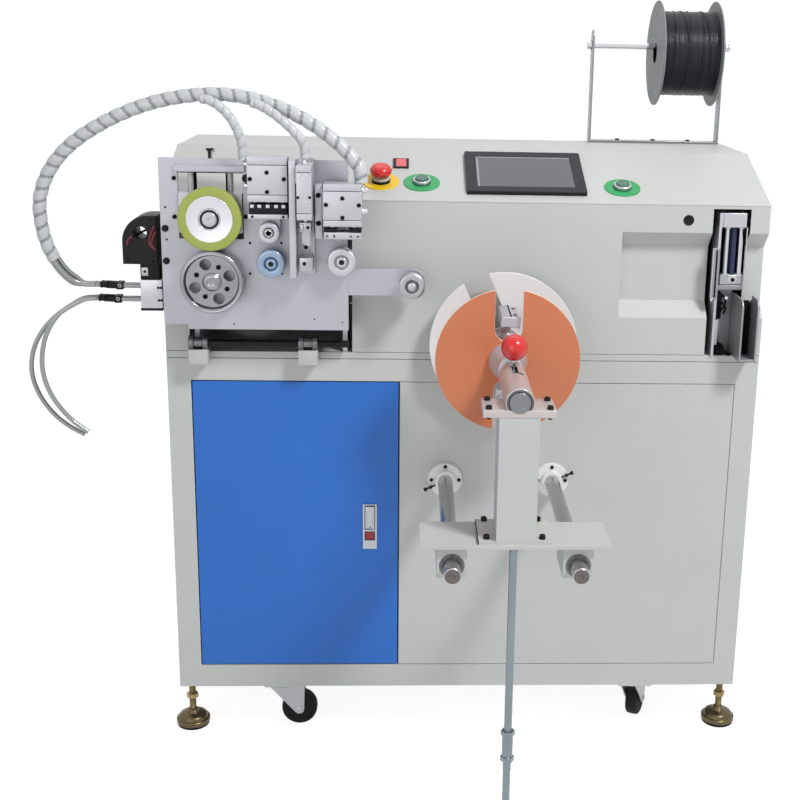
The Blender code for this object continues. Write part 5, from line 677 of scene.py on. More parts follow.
def run_length(path):
    return sum((second - first).length for first, second in zip(path, path[1:]))


for name in ROUTES:
    print(name, round(run_length(hose_path(name)), 3), "m long")

# %% [markdown]
# ### Spiral wrap
# The wrap is a plastic ribbon wound round the bundle, so its outside is a tube with a groove
# that climbs like a screw thread. A bump would leave the outline smooth, and the outline of a
# white hose on a white background is all that one sees of it. So the groove is in the mesh:
# the radius drops wherever the turn and the length along the hose agree.

# %% Wind the wrapped hoses
def wrapped_tube(mesh, path, radius, pitch, sides=20, depth=0.1):
    """A tube whose radius dips along a helix, like spiral wrap round a bundle."""
    length = run_length(path)
    count = int(length / pitch * 12)
    marks, total = [0.0], 0.0
    for first, second in zip(path, path[1:]):
        total += (second - first).length
        marks.append(total)
    rings, across, segment, dips = [], None, 0, {}
    for i in range(count + 1):
        reach = length * i / count
        while segment < len(path) - 2 and marks[segment + 1] < reach:
            segment += 1
        t = (reach - marks[segment]) / (marks[segment + 1] - marks[segment])
        point = path[segment].lerp(path[segment + 1], min(t, 1.0))
        along = (path[min(segment + 2, len(path) - 1)] - path[max(segment - 1, 0)]).normalized()
        across = along.orthogonal().normalized() if across is None else (across - along * across.dot(along)).normalized()
        third = along.cross(across)
        ring = []
        for side in range(sides):
            phase = (reach / pitch - side / sides) % 1.0
            dip = math.exp(-((min(phase, 1 - phase) / 0.13) ** 2))
            dips[i, side] = min(phase, 1 - phase)
            crown = 0.035 * math.sin(math.pi * phase)
            size = radius * (1.0 - depth * dip + crown - 0.03)
            angle = 2 * math.pi * side / sides
            ring.append(mesh.verts.new(point + size * (math.cos(angle) * across + math.sin(angle) * third)))
        rings.append(ring)
    for i, (first, second) in enumerate(zip(rings, rings[1:])):
        for side in range(sides):
            after = (side + 1) % sides
            face = mesh.faces.new((first[side], first[after], second[after], second[side]))
            # Faces in the groove take the second finish, a darker grey: painted shade.
            face.material_index = 1 if dips[i, side] < 0.13 else 0
    mesh.faces.new(rings[0][::-1])
    mesh.faces.new(rings[-1])


BARE = {"hose_loom": 0.085, "loom_branch_one": -1.0, "loom_branch_two": -1.0}
THIN_TUBES = ((0.0055, 0.0, 0.0040), (-0.0055, 0.0, 0.0040), (0.0, 0.0068, 0.0032), (0.0, -0.0068, 0.0032))
WRAPPED = {"hose_loom": (0.0110, 0.0220), "loom_branch_one": (0.0075, 0.0160), "loom_branch_two": (0.0075, 0.0160)}
for name, (radius, pitch) in WRAPPED.items():
    path = hose_path(name)
    hose = bmesh.new()
    bare = next(i for i in range(len(path)) if run_length(path[: i + 1]) > BARE[name])
    wrapped_tube(hose, path[bare:], radius, pitch)
    if bare:
        for aside, above, thick in THIN_TUBES:
            thin = []
            for i, point in enumerate(path[: bare + 3]):
                along = (path[i + 1] - path[max(i - 1, 0)]).normalized()
                level = Vector((0, 1, 0))
                thin.append(point + level * aside + along.cross(level).normalized() * above * min(1.0, i / 6))
            tube(hose, thin, thick, 12, 2)
    # The groove's darker finish is painted shade.
    gap = wrap_groove_shade if name == "hose_loom" else thin_wrap_groove_shade
    piece = place(hose, name + ".wrap", "machine", hose_wrap, gap, clear_hose, slot="hose", instead=[name], smooth=60)

# %% [markdown]
# ### Loose air hoses
# The two thin hoses are clear tube that has gone slightly grey. They are stiff enough to keep
# the bend they were coiled with, so they swing out and back like a hook. Their lower ends are
# open: they wait for the air supply of the workshop. A thin wall shows at the cut end, which a
# closed rod would lack, and the dark disc just inside it is painted shade in the bore.

# %% Hang the loose hoses
for name in ("loose_hose_outer", "loose_hose_inner"):
    path = hose_path(name)
    hose = bmesh.new()
    tube(hose, path, 0.0040, 16)
    tip, along = path[-1], (path[-1] - path[-2]).normalized()
    lathe(hose, [(0.0040, 0.0), (0.0040, 0.0004), (0.0027, 0.0004)], tip, along, 24, 0)
    # The dark disc inside the cut end is painted shade in the bore.
    lathe(hose, [(0.0027, 0.0004), (0.0027, 0.0001), (0.0, 0.0001)], tip, along, 24, 1)
    piece = place(hose, name + ".tube", "machine", clear_hose, shade_and_wire_black, slot="hose", instead=[name], smooth=60)

# %% [markdown]
# ## Finishes on the engineering model
# Sheet metal boxes, plates and brackets already have the right shape in the model, so they
# stay and only get their real finish. A folded sheet has no knife edge, so a narrow bevel goes
# on them too. The bevel is a modifier: it lies on top of the mesh, and the model itself stays
# as it was measured.

# %% Dress the nodes that stay
DRESS = {
    "cabinet": grey_paint, "housing": grey_paint, "housing_cover": grey_paint, "door": blue_paint,
         "feed_plate": plate_aluminium,
    "press_cylinder": satin_aluminium, "cutter_channel": bright_aluminium, "clamp_cylinder": satin_aluminium,
    "head_mount": deck_clamp, "feed_motor": black_oxide, "side_motor": black_plastic,
    "valve_block": bright_aluminium, "rail_left": ground_steel, "rail_right": ground_steel,
    "winding_motor": black_oxide, "spool_bracket": bracket_steel,
    "touch_screen": screen_bezel, "tying_frame": grey_steel, "latch_handle": satin_chrome,
    "latch_button": red_plastic, "wheel_carriage": satin_aluminium, "press_slide": milled_steel,
    "cutter_slide": milled_steel, "clamp_jaw": milled_steel, "carriage": grey_paint,
    "spindle_barrel": barrel_paint, "quill": ground_steel, "tying_slide": milled_steel,
    "support_leg": leg_steel, "rear_disc": white_plastic, "front_disc": orange_disc,
}
BEVELS = {"cabinet": 0.0012, "housing": 0.0008, "housing_cover": 0.0006, "door": 0.0015, "feed_plate": 0.0008,
          "spool_bracket": 0.0006,
          "tying_frame": 0.0008, "carriage": 0.0008, "press_cylinder": 0.0008, "clamp_cylinder": 0.0008,
          "cutter_channel": 0.0006, "touch_screen": 0.0015, "wheel_carriage": 0.0006}
OTHERS = {"levelling": bronze_metal, "caster_fork": milled_steel, "caster_wheel": black_rubber,
          "lower_feed": milled_steel,
          "upper_feed": tyre_green, "press_roller": milled_steel, "measuring": blue_steel,
          "right_roller": milled_steel,
          "guide_pulley": bright_aluminium, "knob": red_plastic, "wire_spool": spool_grey, "emergency": red_plastic,
          "start": green_lens, "reset": green_lens, "rocker": red_lens}
for name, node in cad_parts.items():
    chosen = DRESS.get(name) or next((material for start, material in OTHERS.items() if name.startswith(start)),
                                     hose_wrap)
    node.data.materials.clear()
    node.data.materials.append(chosen)
    if name in BEVELS:
        bevel = node.modifiers.new("soft edges", "BEVEL")
        bevel.width = BEVELS[name]
        bevel.segments = 2
        bevel.limit_method = "ANGLE"
        bevel.angle_limit = math.radians(35)
        bevel.harden_normals = True
print("dressed", len(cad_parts), "nodes of the model")

# %% [markdown]
# ## The feed head
# The head on the left pulls the cable in between two wheels. The lower one is a driven steel
# wheel and the upper one wears a yellow-green rubber tyre and is pressed down by its slide.
# Wheels are turned parts, so each is one profile spun on a lathe. The profile shows what makes
# a wheel a wheel: a rim, a sunk web, a hub, and a shaft end with its retaining ring.

# %% Upper wheel with its tyre
WHEEL_X, WHEEL_Y = 0.090, -0.058
UPPER_Z, LOWER_Z = 0.9403, 0.840
tyre_bright = finish("turned hub", paint(205, 206, 212), 0.26, 0.85, tone=0.02,
                     bump=("rings", (at(WHEEL_X, WHEEL_Y, UPPER_Z), (1, 0, 1), 0.0011), 0.00006), marks=0.2)
wheel = bmesh.new()
centre = (WHEEL_X, WHEEL_Y, UPPER_Z)
tyre = round_edges([(0.036, 0.0), (0.0495, 0.0), (0.0500, 0.002), (0.0500, 0.018), (0.0495, 0.020), (0.0372, 0.020),
                    (0.0366, 0.0192)], 0.0012)
lathe(wheel, tyre, centre, steps=96, finish=0)
hub = [(0.0366, 0.0192), (0.0360, 0.0198), (0.0340, 0.0196), (0.0175, 0.0190), (0.0168, 0.0182), (0.0152, 0.0182)]
lathe(wheel, hub, centre, steps=96, finish=1)
lathe(wheel, round_edges([(0.0152, 0.0182), (0.0152, 0.0204), (0.0120, 0.0204), (0.0120, 0.0196)], 0.0004), centre,
      steps=64, finish=2)
lathe(wheel,
      round_edges([(0.0120, 0.0196), (0.0112, 0.0215), (0.0105, 0.0219), (0.0022, 0.0219), (0.0, 0.0206)], 0.0004),
      centre, steps=64, finish=3)
lathe(wheel, [(0.036, 0.0), (0.007, 0.0), (0.007, -0.0085), (0.0, -0.0085)], centre, steps=48, finish=1)
upper_wheel = place(wheel, "upper_feed_wheel.turned", "upper_wheel", tyre_green, tyre_bright, black_oxide,
                    milled_steel,
                    slot="tyre_green", instead=["upper_feed_wheel"])
print("upper wheel:", len(upper_wheel.data.polygons), "faces")

# %% Lower wheel, with four holes in its web
rim_steel = finish("polished rim", paint(150, 151, 156), 0.2, 1.0, tone=0.05,
                   bump=("rings", (at(WHEEL_X, WHEEL_Y, LOWER_Z), (1, 0, 1), 0.0009), 0.00004), marks=0.25)
wheel = bmesh.new()
centre = (WHEEL_X, WHEEL_Y, LOWER_Z)
rim = round_edges([(0.0415, 0.006), (0.0430, 0.0105), (0.0430, 0.0180), (0.0445, 0.0200), (0.0462, 0.0192),
                   (0.0480, 0.0200),
                   (0.0500, 0.0188), (0.0500, 0.0), (0.0420, 0.0), (0.0415, 0.006)], 0.0007)
lathe(wheel, rim, centre, steps=96, finish=0)
spots = [ring_spot(WHEEL_X, LOWER_Z, 0.0290, angle)[::2] for angle in (20, 110, 200, 290)]
holes = [circle(spot, 0.0085, 24)[::-1] for spot in spots]
plate(wheel, circle((WHEEL_X, LOWER_Z), 0.0422, 72), WHEEL_Y - 0.0115, WHEEL_Y - 0.0055, "XZ", holes, 0.0007, 0)
hub = round_edges([(0.0150, 0.0105), (0.0150, 0.0150), (0.0105, 0.0185), (0.0072, 0.0188), (0.0068, 0.0178),
                   (0.0, 0.0178)], 0.0005)
lathe(wheel, hub, centre, steps=64, finish=0)
lathe(wheel, [(0.008, 0.0056), (0.008, -0.041), (0.0, -0.041)], centre, steps=48, finish=1)
for angle in (65, 155, 245, 335):
    spot = ring_spot(WHEEL_X, LOWER_Z, 0.0262, angle, WHEEL_Y - 0.0113)
    cap_screw(wheel, spot, radius=0.0040, height=0.0036, finish=2, pit=3)
lower_wheel = place(wheel, "lower_feed_wheel.turned", "lower_wheel", rim_steel, milled_steel, black_oxide, shade_and_wire_black,
                    slot="steel", instead=["lower_feed_wheel"])
print("lower wheel:", len(lower_wheel.data.polygons), "faces")

# %% [markdown]
# ### Rollers
# Right of the wheels the cable runs between a small press roller and a bluish measuring roller,
# and then over a third one. Each is a grooved steel ring on a ball bearing. The bearing shows
# as thin circles round the axle, and those circles are steps in the profile. The rear stubs and
# nuts of the plain model are repeated, so that nothing floats.

# %% Four rollers
ROLLER_BACK, ROLLER_FRONT = -0.0603, -0.0783


def roller(name, body, x, z, radius, face, ring, back=ROLLER_BACK, front=ROLLER_FRONT, shaft=True, slot="steel",
           stud=False, bearing_finish=ring_grey):
    """A grooved ring round a bearing; face and ring are the finishes of the ring and of its turned front."""
    mesh = bmesh.new()
    centre, width = (x, back, z), back - front
    middle, bore = width / 2, radius * 0.5
    outside = [
        (bore, width - 0.0014), (bore + 0.0005, width), (radius - 0.0030, width), (radius, width - 0.0016),
        (radius, middle + 0.003), (radius - 0.0014, middle + 0.001), (radius - 0.0014, middle - 0.001),
        (radius, middle - 0.003), (radius, 0.0012), (radius - 0.001, 0.0), (0.0044, 0.0),
    ]
    lathe(mesh, round_edges(outside, 0.0005), centre, steps=72, finish=0)
    bearing = [(bore, width - 0.0014), (bore - 0.0008, width - 0.0018), (bore - 0.0032, width - 0.0018)]
    lathe(mesh, bearing, centre, steps=48, finish=1)
    inner = [(bore - 0.0032, width - 0.0018), (bore - 0.0036, width - 0.0008), (0.0044, width - 0.0008)]
    lathe(mesh, inner, centre, steps=48, finish=2)
    if shaft:
        end = [(0.0044, width - 0.0008), (0.0040, width), (0.0024, width), (0.0020, width - 0.0015),
               (0.0, width - 0.0015)]
        lathe(mesh, end, centre, steps=32, finish=3)
        lathe(mesh, [(0.008, 0.0), (0.008, -0.0147), (0.004, -0.0147), (0.004, -0.029), (0.0, -0.029)], centre,
              steps=32, finish=2)
    else:
        lathe(mesh, [(0.0044, width - 0.0008), (0.0044, 0.0)], centre, steps=32, finish=2)
    if stud:
        bolt = [(0.0040, width - 0.002), (0.0040, width + 0.0004), (0.0062, width + 0.0006), (0.0066, width + 0.0050),
                (0.0040, width + 0.0056),
                (0.0040, width + 0.0120), (0.0034, width + 0.0126), (0.0, width + 0.0126)]
        lathe(mesh, bolt, centre, steps=28, finish=4)
    return place(mesh, name + ".turned", body, ring, bearing_finish, face, black_oxide, ground_steel, slot=slot,
                 instead=[name])


roller("press_roller", "press_idler", 0.182, 0.9205, 0.017, bright_aluminium, satin_aluminium, shaft=False)
roller("measuring_roller", "measuring", 0.1845, 0.871, 0.0225, blue_steel, blue_steel, slot="blue_anodised",
       bearing_finish=blue_metal)
roller("right_roller", "right_idler", 0.296, 0.875, 0.023, bright_aluminium, bright_aluminium)
roller("guide_pulley", "pulley", 0.408, 0.8375, 0.021, ring_grey, milled_steel, -0.063, -0.079, shaft=False,
       slot="chrome", stud=True, bearing_finish=dark_steel)
print("four rollers are turned")

# %% [markdown]
# ### Air cylinders
# Three square cylinders press, cut and clamp. Each is a block of drawn aluminium whose end cap
# is a separate slice, so a fine seam runs round it. Four black screws hold its face, and brass
# coloured push fittings take the hoses. Below the press and clamp cylinders sits a dark bar
# with pale notches. Blocks with softened edges and turned fittings give all of that.

# %% Parts that the cylinders share
PRESS_FRONT, CUTTER_FRONT, CLAMP_FRONT, PLATE_FRONT = -0.0853, -0.1103, -0.1000, -0.0450


def fitting(mesh, centre, direction, finish_body=0, finish_ring=1, radius=0.0050, length=0.0080):
    """A push fitting: hexagon foot, round body, and the release ring at its mouth."""
    lathe(mesh, [(radius, 0.0), (radius, length * 0.3), (radius * 0.84, length * 0.34)], centre, direction, 6,
          finish_body)
    body = [(radius * 0.84, length * 0.3), (radius * 0.84, length * 0.72), (radius * 0.74, length * 0.78)]
    lathe(mesh, body, centre, direction, 24, finish_body)
    ring = [(radius * 0.74, length * 0.78), (radius * 0.74, length), (radius * 0.42, length),
            (radius * 0.40, length * 0.6), (0, length * 0.6)]
    lathe(mesh, ring, centre, direction, 24, finish_ring)


def cylinder_block(mesh, low, high, caps, finish_block=0, finish_seam=1):
    """A drawn block with end caps of the given heights, each parted from the middle by a fine seam."""
    (x0, y0, z0), (x1, y1, z1) = low, high
    seams = [z0, *sorted(caps), z1]
    gap = 0.0004
    for i, (bottom, top) in enumerate(zip(seams, seams[1:])):
        block(mesh, (x0, y0, bottom + (gap if i else 0)), (x1, y1, top - (gap if top != z1 else 0)), 0.0007,
              finish_block)
    # The seam is a thin inset block in the gap; every cylinder here gives it near-black: painted shade between cap
    # and body.
    for seam in seams[1:-1]:
        block(mesh, (x0 + 0.001, y0 + 0.001, seam - gap * 1.2), (x1 - 0.001, y1 - 0.001, seam + gap * 1.2), 0,
              finish_seam)


def piston_rod(mesh, foot, finish):
    """A rod 8 mm thick that stands on a slide and ends inside its cylinder."""
    lathe(mesh, [(0.004, 0.0), (0.004, 0.030), (0.0, 0.030)], foot, UP, 32, finish)


print("fitting and cylinder block are ready")

# %% Press cylinder
press = bmesh.new()
cylinder_block(press, (0.151, -0.0853, 0.970), (0.213, -0.0453, 1.039), [0.981, 1.027])
for x, z in ((0.1817, 1.0158), (0.1818, 0.9858), (0.2080, 1.0059), (0.1556, 1.0054)):
    cap_screw(press, (x, PRESS_FRONT, z), radius=0.0034, height=0.0022, finish=2, pit=1)
for z in (1.027, 0.993):
    fitting(press, (0.151, -0.0653, z), LEFTWARD, 3, 4)
lathe(press, round_edges([(0.0062, 0.0), (0.0062, 0.004), (0.0040, 0.005), (0.0, 0.005)], 0.0006),
      (0.148, -0.0653, 1.004), (-0.4, -0.9, 0.1),
      24, 2)
press_block = place(press, "press_cylinder.block", "machine", satin_aluminium, shade_and_wire_black, black_oxide, chrome,
                    white_plastic,
                    slot="aluminium", instead=["press_cylinder"])
print("press cylinder:", len(press_block.data.polygons), "faces")

# %% Press slide, with the dark notched bar
slide = bmesh.new()
block(slide, (0.151, -0.0853, 0.9435), (0.213, -0.0463, 0.9505), 0.0008, 0)
block(slide, (0.153, -0.0833, 0.9505), (0.211, -0.0473, 0.9665), 0.0006, 1)
for x in (0.1575, 0.1690, 0.1820, 0.1950, 0.2065):
    block(slide, (x - 0.0028, -0.0837, 0.9605), (x + 0.0028, -0.0827, 0.9655), 0.0003, 2)
for x in (0.161, 0.182, 0.203):
    piston_rod(slide, (x, -0.0653, 0.9660), 3)
for x in (0.1580, 0.2060):
    button_screw(slide, (x, PRESS_FRONT, 0.9470), radius=0.0022, height=0.0012, finish=1, pit=4)
tongue = [(0.199, 0.944), (0.165, 0.944), (0.165, 0.9245)] + circle((0.182, 0.9205), 0.0102, 12, 200,
                                                                    340) + [(0.199, 0.9245)]
plate(slide, tongue, -0.0600, -0.0480, "XZ", (), 0.0008, 0)
lathe(slide, [(0.004, 0.0), (0.004, 0.0216), (0.0, 0.0216)], (0.182, -0.0597, 0.9205), steps=32, finish=3)
hexagon_head(slide, (0.182, -0.0783, 0.9205), radius=0.0052, height=0.0030, finish=3)
press_slide = place(slide, "press_slide.bar", "press", satin_aluminium, black_plastic, bright_aluminium, ground_steel,
                    shade_and_wire_black,
                    slot="aluminium", instead=["press_slide"])
print("press slide:", len(press_slide.data.polygons), "faces")

# %% Cutter channel and its cylinder
channel = bmesh.new()
block(channel, (0.2160, -0.0553, 0.852), (0.2525, -0.0453, 1.036), 0.0008, 0)
block(channel, (0.2160, -0.0953, 0.852), (0.2260, -0.0560, 1.036), 0.0008, 0)
cylinder_block(channel, (0.2290, -0.1103, 0.946), (0.2525, -0.0553, 1.030), [0.9560, 1.0190], 0, 1)
block(channel, (0.2255, -0.0940, 1.000), (0.2300, -0.0570, 1.026), 0.0005, 0)
block(channel, (0.2310, -0.0923, 0.862), (0.2515, -0.0553, 0.884), 0.0008, 3)
for x, z in ((0.2315, 0.9810), (0.2495, 0.9813)):
    button_screw(channel, (x, CUTTER_FRONT, z), radius=0.0024, height=0.0012, finish=2, pit=1)
pocket = [(0.0062, 0.0001), (0.0058, 0.0006), (0.0048, 0.0006), (0.0044, 0.0002), (0.0, 0.0002)]
for z, size in ((1.012, 1.0), (0.971, 0.8)):
    lathe(channel, [(r * size, h) for r, h in pocket], (0.2405, CUTTER_FRONT, z), steps=32, finish=0)
fitting(channel, (0.24075, -0.0843, 1.030), UP, 4, 5)
for z in (0.895, 0.875):
    cap_screw(channel, (0.2385, -0.0923 if z < 0.89 else -0.0553, z), radius=0.0030, height=0.0024, finish=2, pit=1)
cutter_channel = place(channel, "cutter_channel.block", "machine", satin_aluminium, shade_and_wire_black, black_oxide,
                       milled_steel, chrome,
                       white_plastic, slot="aluminium", instead=["cutter_channel"])
print("cutter channel:", len(cutter_channel.data.polygons), "faces")

# %% Cutter slide with its blade
slide = bmesh.new()
block(slide, (0.2318, -0.0943, 0.925), (0.2497, -0.0743, 0.940), 0.0010, 0)
block(slide, (0.2330, -0.0950, 0.9275), (0.2380, -0.0740, 0.9375), 0.0005, 1)
plate(slide, [(0.2348, 0.926), (0.2348, 0.906), (0.2478, 0.900), (0.2478, 0.926)], -0.0863, -0.0823, "XZ", (), 0.0004,
      2)
piston_rod(slide, (0.24075, -0.0843, 0.940), 2)
cap_screw(slide, (0.2450, -0.0943, 0.9325), radius=0.0026, height=0.0020, finish=1, pit=3)
place(slide, "cutter_slide.blade", "cutter", milled_steel, black_oxide, ground_steel, shade_and_wire_black, slot="steel",
      instead=["cutter_slide"])

# %% Clamp cylinder on its bracket
clamp = bmesh.new()
block(clamp, (0.2545, -0.0753, 0.912), (0.2660, -0.0453, 0.997), 0.0008, 0)
block(clamp, (0.2655, -0.0740, 0.941), (0.2700, -0.0610, 0.991), 0.0005, 0)
cylinder_block(clamp, (0.2690, -0.1000, 0.935), (0.3290, -0.0600, 1.001), [0.9450, 0.9900])
for x, z in ((0.2990, 0.9795), (0.2735, 0.9692), (0.3245, 0.9692), (0.2990, 0.9493)):
    cap_screw(clamp, (x, CLAMP_FRONT, z), radius=0.0034, height=0.0022, finish=2, pit=1)
for z in (0.9807, 0.9367):
    cap_screw(clamp, (0.2602, -0.0753, z), radius=0.0040, height=0.0036, finish=2, pit=1)
for z in (0.990, 0.957):
    fitting(clamp, (0.329, -0.080, z), RIGHTWARD, 3, 4)
clamp_block = place(clamp, "clamp_cylinder.block", "machine", satin_aluminium, shade_and_wire_black, black_oxide, chrome,
                    white_plastic,
                    slot="aluminium", instead=["clamp_cylinder"])
print("clamp cylinder:", len(clamp_block.data.polygons), "faces")

# %% Clamp jaw
jaw = bmesh.new()
block(jaw, (0.270, -0.0980, 0.915), (0.328, -0.0640, 0.926), 0.0008, 0)
block(jaw, (0.270, -0.0980, 0.9255), (0.2895, -0.0640, 0.931), 0.0006, 1)
block(jaw, (0.3085, -0.0980, 0.9255), (0.328, -0.0640, 0.931), 0.0006, 1)
for x in (0.2800, 0.2900, 0.2990, 0.3080):
    block(jaw, (x - 0.0022, -0.0975, 0.9262), (x + 0.0022, -0.0940, 0.9306), 0.0003, 1)
for x in (0.275, 0.286, 0.312, 0.323):
    cap_screw(jaw, (x, -0.0980, 0.9205), radius=0.0026, height=0.0014, finish=2, pit=1)
for x in (0.282, 0.316):
    piston_rod(jaw, (x, -0.080, 0.931), 2)
block(jaw, (0.306, -0.086, 0.9005), (0.313, -0.074, 0.9155), 0.0008, 1)
place(jaw, "clamp_jaw.bar", "clamp", satin_aluminium, black_oxide, milled_steel, slot="steel", instead=["clamp_jaw"])

# %% Screws and holes of the feed plate
screws = bmesh.new()
for x, z in ((0.0320, 1.0007), (0.0308, 0.9395), (0.1430, 0.9411), (0.1441, 1.0004)):
    cap_screw(screws, (x, PLATE_FRONT, z), radius=0.0036, height=0.0024, finish=0, pit=1)
for z in (0.9207, 0.8684):
    hexagon_head(screws, (0.0150, PLATE_FRONT, z), radius=0.0045, height=0.0042, finish=0)
for x, z in ((0.0165, 0.9545), (0.0168, 0.9028)):
    hollow(screws, (x, PLATE_FRONT, z), radius=0.0016, finish=1, rim=2)
for x, z in ((0.1487, 0.899), (0.1985, 0.8996), (0.1475, 0.8493), (0.1985, 0.8499)):
    hollow(screws, (x, PLATE_FRONT, z), radius=0.0020, finish=1, rim=2)
for x, z in ((0.250, 0.775), (0.120, 0.7660), (0.295, 0.770)):
    hollow(screws, (x, PLATE_FRONT, z), radius=0.0012, finish=1, rim=2)
place(screws, "feed_plate.screws", "machine", black_oxide, shade_and_wire_black, bright_aluminium, slot="black_plastic")
print("screws of the feed plate are in")

# %% Guide bars in the window behind the upper wheel
window = bmesh.new()
block(window, (0.0372, -0.0448, 1.0104), (0.1388, -0.0352, 1.0176), 0.0008, 0)
# A near-black strip under the bar is painted shadow, and the near-black stripes either side of each steel bar are
# painted shade in the window.
block(window, (0.0375, -0.0440, 1.0092), (0.1385, -0.0360, 1.0104), 0.0, 1)
for left, right in ((0.0509, 0.0562), (0.0597, 0.0650), (0.1106, 0.1150), (0.1177, 0.1225)):
    block(window, (left, -0.0296, 0.9060), (right, -0.0280, 1.0200), 0.0003, 1)
for left, right in ((0.0562, 0.0597), (0.1150, 0.1177)):
    block(window, (left, -0.0300, 0.9060), (right, -0.0280, 1.0200), 0.0006, 2)
place(window, "feed_plate.window", "machine", satin_aluminium, shade_and_wire_black, ground_steel, slot="aluminium")

# %% Screws of the upper wheel's slide, and the adjusting bolt
bolt = bmesh.new()
lathe(bolt,
      round_edges([(0.0, 0.0605), (0.0062, 0.0605), (0.0062, 0.0575), (0.0030, 0.0565), (0.0030, 0.045),
                   (0.0, 0.045)], 0.0004),
      (0.0885, -0.040, 0.9870), UP, 32, 0)
for turn in range(9):
    lathe(bolt, [(0.0029, 0.0), (0.0033, 0.0006), (0.0029, 0.0012)], (0.0885, -0.040, 1.0325 + turn * 0.0012), UP, 24,
          0)
place(bolt, "feed_plate.bolt", "machine", black_oxide, slot="black_plastic")

# %% [markdown]
# ## The left side
# A black motor drives the lower wheel through a worm gear. Its housing is rounded like a horn,
# with a round hole right through it, so the hole is cut in the plate's outline. Dark red wires
# cross behind the hole. Under it the silver valve block carries black push fittings, from which
# short clear tubes run into the wrapped bundle.

# %% Side motor
motor = bmesh.new()
LEFT_SIDE, LOWEST, SHOULDER, HIGHEST, FLAT = -0.0565, 0.8602, 0.8960, 0.9385, -0.0158
profile = [(-0.0003, LOWEST), (-0.0003, HIGHEST), (FLAT, HIGHEST)]
for step in range(1, 13):
    angle = math.radians(90 * step / 12)
    profile.append((FLAT + (LEFT_SIDE - FLAT) * math.sin(angle), SHOULDER + (HIGHEST - SHOULDER) * math.cos(angle)))
profile.append((LEFT_SIDE, LOWEST))
plate(motor, profile, -0.0347, 0.0253, "XZ", (circle((-0.0270, 0.9110), 0.0110, 32),), 0.0022, 0)
lathe(motor, [(0.0108, 0.0), (0.0118, 0.0005), (0.0128, 0.0005), (0.0134, -0.0003)], (-0.0270, -0.0347, 0.9110),
      steps=40, finish=1)
block(motor, (-0.0555, -0.0352, 0.8630), (-0.0440, -0.0330, 0.8900), 0.0012, 1)
for path in ([(-0.040, -0.0352, 0.905), (-0.046, -0.0356, 0.900), (-0.048, -0.0353, 0.892)],
             [(-0.004, -0.0352, 0.922), (-0.010, -0.0358, 0.909), (-0.013, -0.0357, 0.896), (-0.006, -0.0352, 0.885)],
             [(-0.002, -0.0352, 0.914), (-0.007, -0.0356, 0.904), (-0.009, -0.0355, 0.894),
              (-0.003, -0.0352, 0.884)]):
    tube(motor, smooth_path(path, 6), 0.0022, 10, 3)
tube(motor, [(-0.036, -0.010, 0.905), (-0.027, -0.009, 0.910), (-0.017, -0.010, 0.915)], 0.0018, 10, 0)
for x, z in ((-0.0085, 0.8650), (-0.0085, 0.9330)):
    button_screw(motor, (x, -0.0347, z), radius=0.0028, height=0.0012, finish=1, pit=2)
place(motor, "side_motor.horn", "machine", black_plastic, black_oxide, shade_and_wire_black, wire_red, slot="black_plastic",
      instead=["side_motor"])
print("the side motor has its hole")

# %% Valve block with its fittings
valve = bmesh.new()
VALVE_LEFT, VALVE_LOW, VALVE_HIGH = -0.0355, 0.7830, 0.8304
UPPER_TUBE, LOWER_TUBE = 0.8136, 0.7908
block(valve, (VALVE_LEFT, -0.010, VALVE_LOW), (0.0, 0.050, VALVE_HIGH), 0.0012, 0)
block(valve, (VALVE_LEFT - 0.0008, -0.0108, VALVE_LOW - 0.004), (0.0, 0.050, VALVE_LOW + 0.0004), 0.0008, 1)
for z in (VALVE_LOW + 0.0135, VALVE_HIGH - 0.0130):
    for x in (-0.0065, -0.0020):
        button_screw(valve, (x, -0.010, z), radius=0.0022, height=0.0012, finish=1, pit=2)
block(valve, (VALVE_LEFT, -0.0060, VALVE_HIGH - 0.0004), (-0.0040, 0.0460, VALVE_HIGH + 0.0283), 0.0016, 1)
block(valve, (VALVE_LEFT + 0.0020, -0.0068, VALVE_HIGH + 0.0060), (VALVE_LEFT + 0.0130, -0.0058, VALVE_HIGH + 0.0200),
      0.0008, 3)
button_screw(valve, (VALVE_LEFT + 0.0075, -0.0068, VALVE_HIGH + 0.0130), radius=0.0022, height=0.0010, finish=1,
             pit=2)
for z, right in ((UPPER_TUBE, -0.070), (LOWER_TUBE, -0.074)):
    for spread in (-0.0055, 0.0055):
        ring = [(0.0062, -0.002), (0.0062, 0.0025), (0.0050, 0.0035), (0.0050, 0.0060), (0.0040, 0.0065)]
        lathe(valve, ring, (VALVE_LEFT, 0.030 + spread, z), LEFTWARD, 24, 3)
        tube(valve, [(VALVE_LEFT - 0.002, 0.030 + spread, z), (right - 0.004, 0.030 + spread * 0.6, z)], 0.0040, 20,
             4)
    left, tip = right - 0.032, z + 0.0015
    block(valve, (right - 0.0120, 0.0200, z - 0.0062), (right, 0.0400, z + 0.0062), 0.0022, 1)
    body = [(0.0, 0.0), (0.0065, 0.0), (0.0065, 0.0240), (0.0055, 0.0260), (0.0, 0.0260)]
    lathe(valve, round_edges(body, 0.0010), (right - 0.0060, 0.030, z), (-1, 0, 0.047), 28, 1)
    button_screw(valve, (right - 0.0055, 0.0200, z + 0.0008), radius=0.0032, height=0.0010, finish=3, pit=2)
    for spread in (-0.0055, 0.0055):
        prong = [(0.0048, -0.006), (0.0048, 0.0020), (0.0054, 0.0026), (0.0054, 0.0052), (0.0044, 0.0062),
                 (0.0, 0.0062)]
        lathe(valve, round_edges(prong, 0.0004), (left, 0.030 + spread, tip), LEFTWARD, 24, 1)
        tube(valve, [(left - 0.004, 0.030 + spread, tip), (-0.1150, 0.030 + spread, tip)], 0.0040, 16, 4)
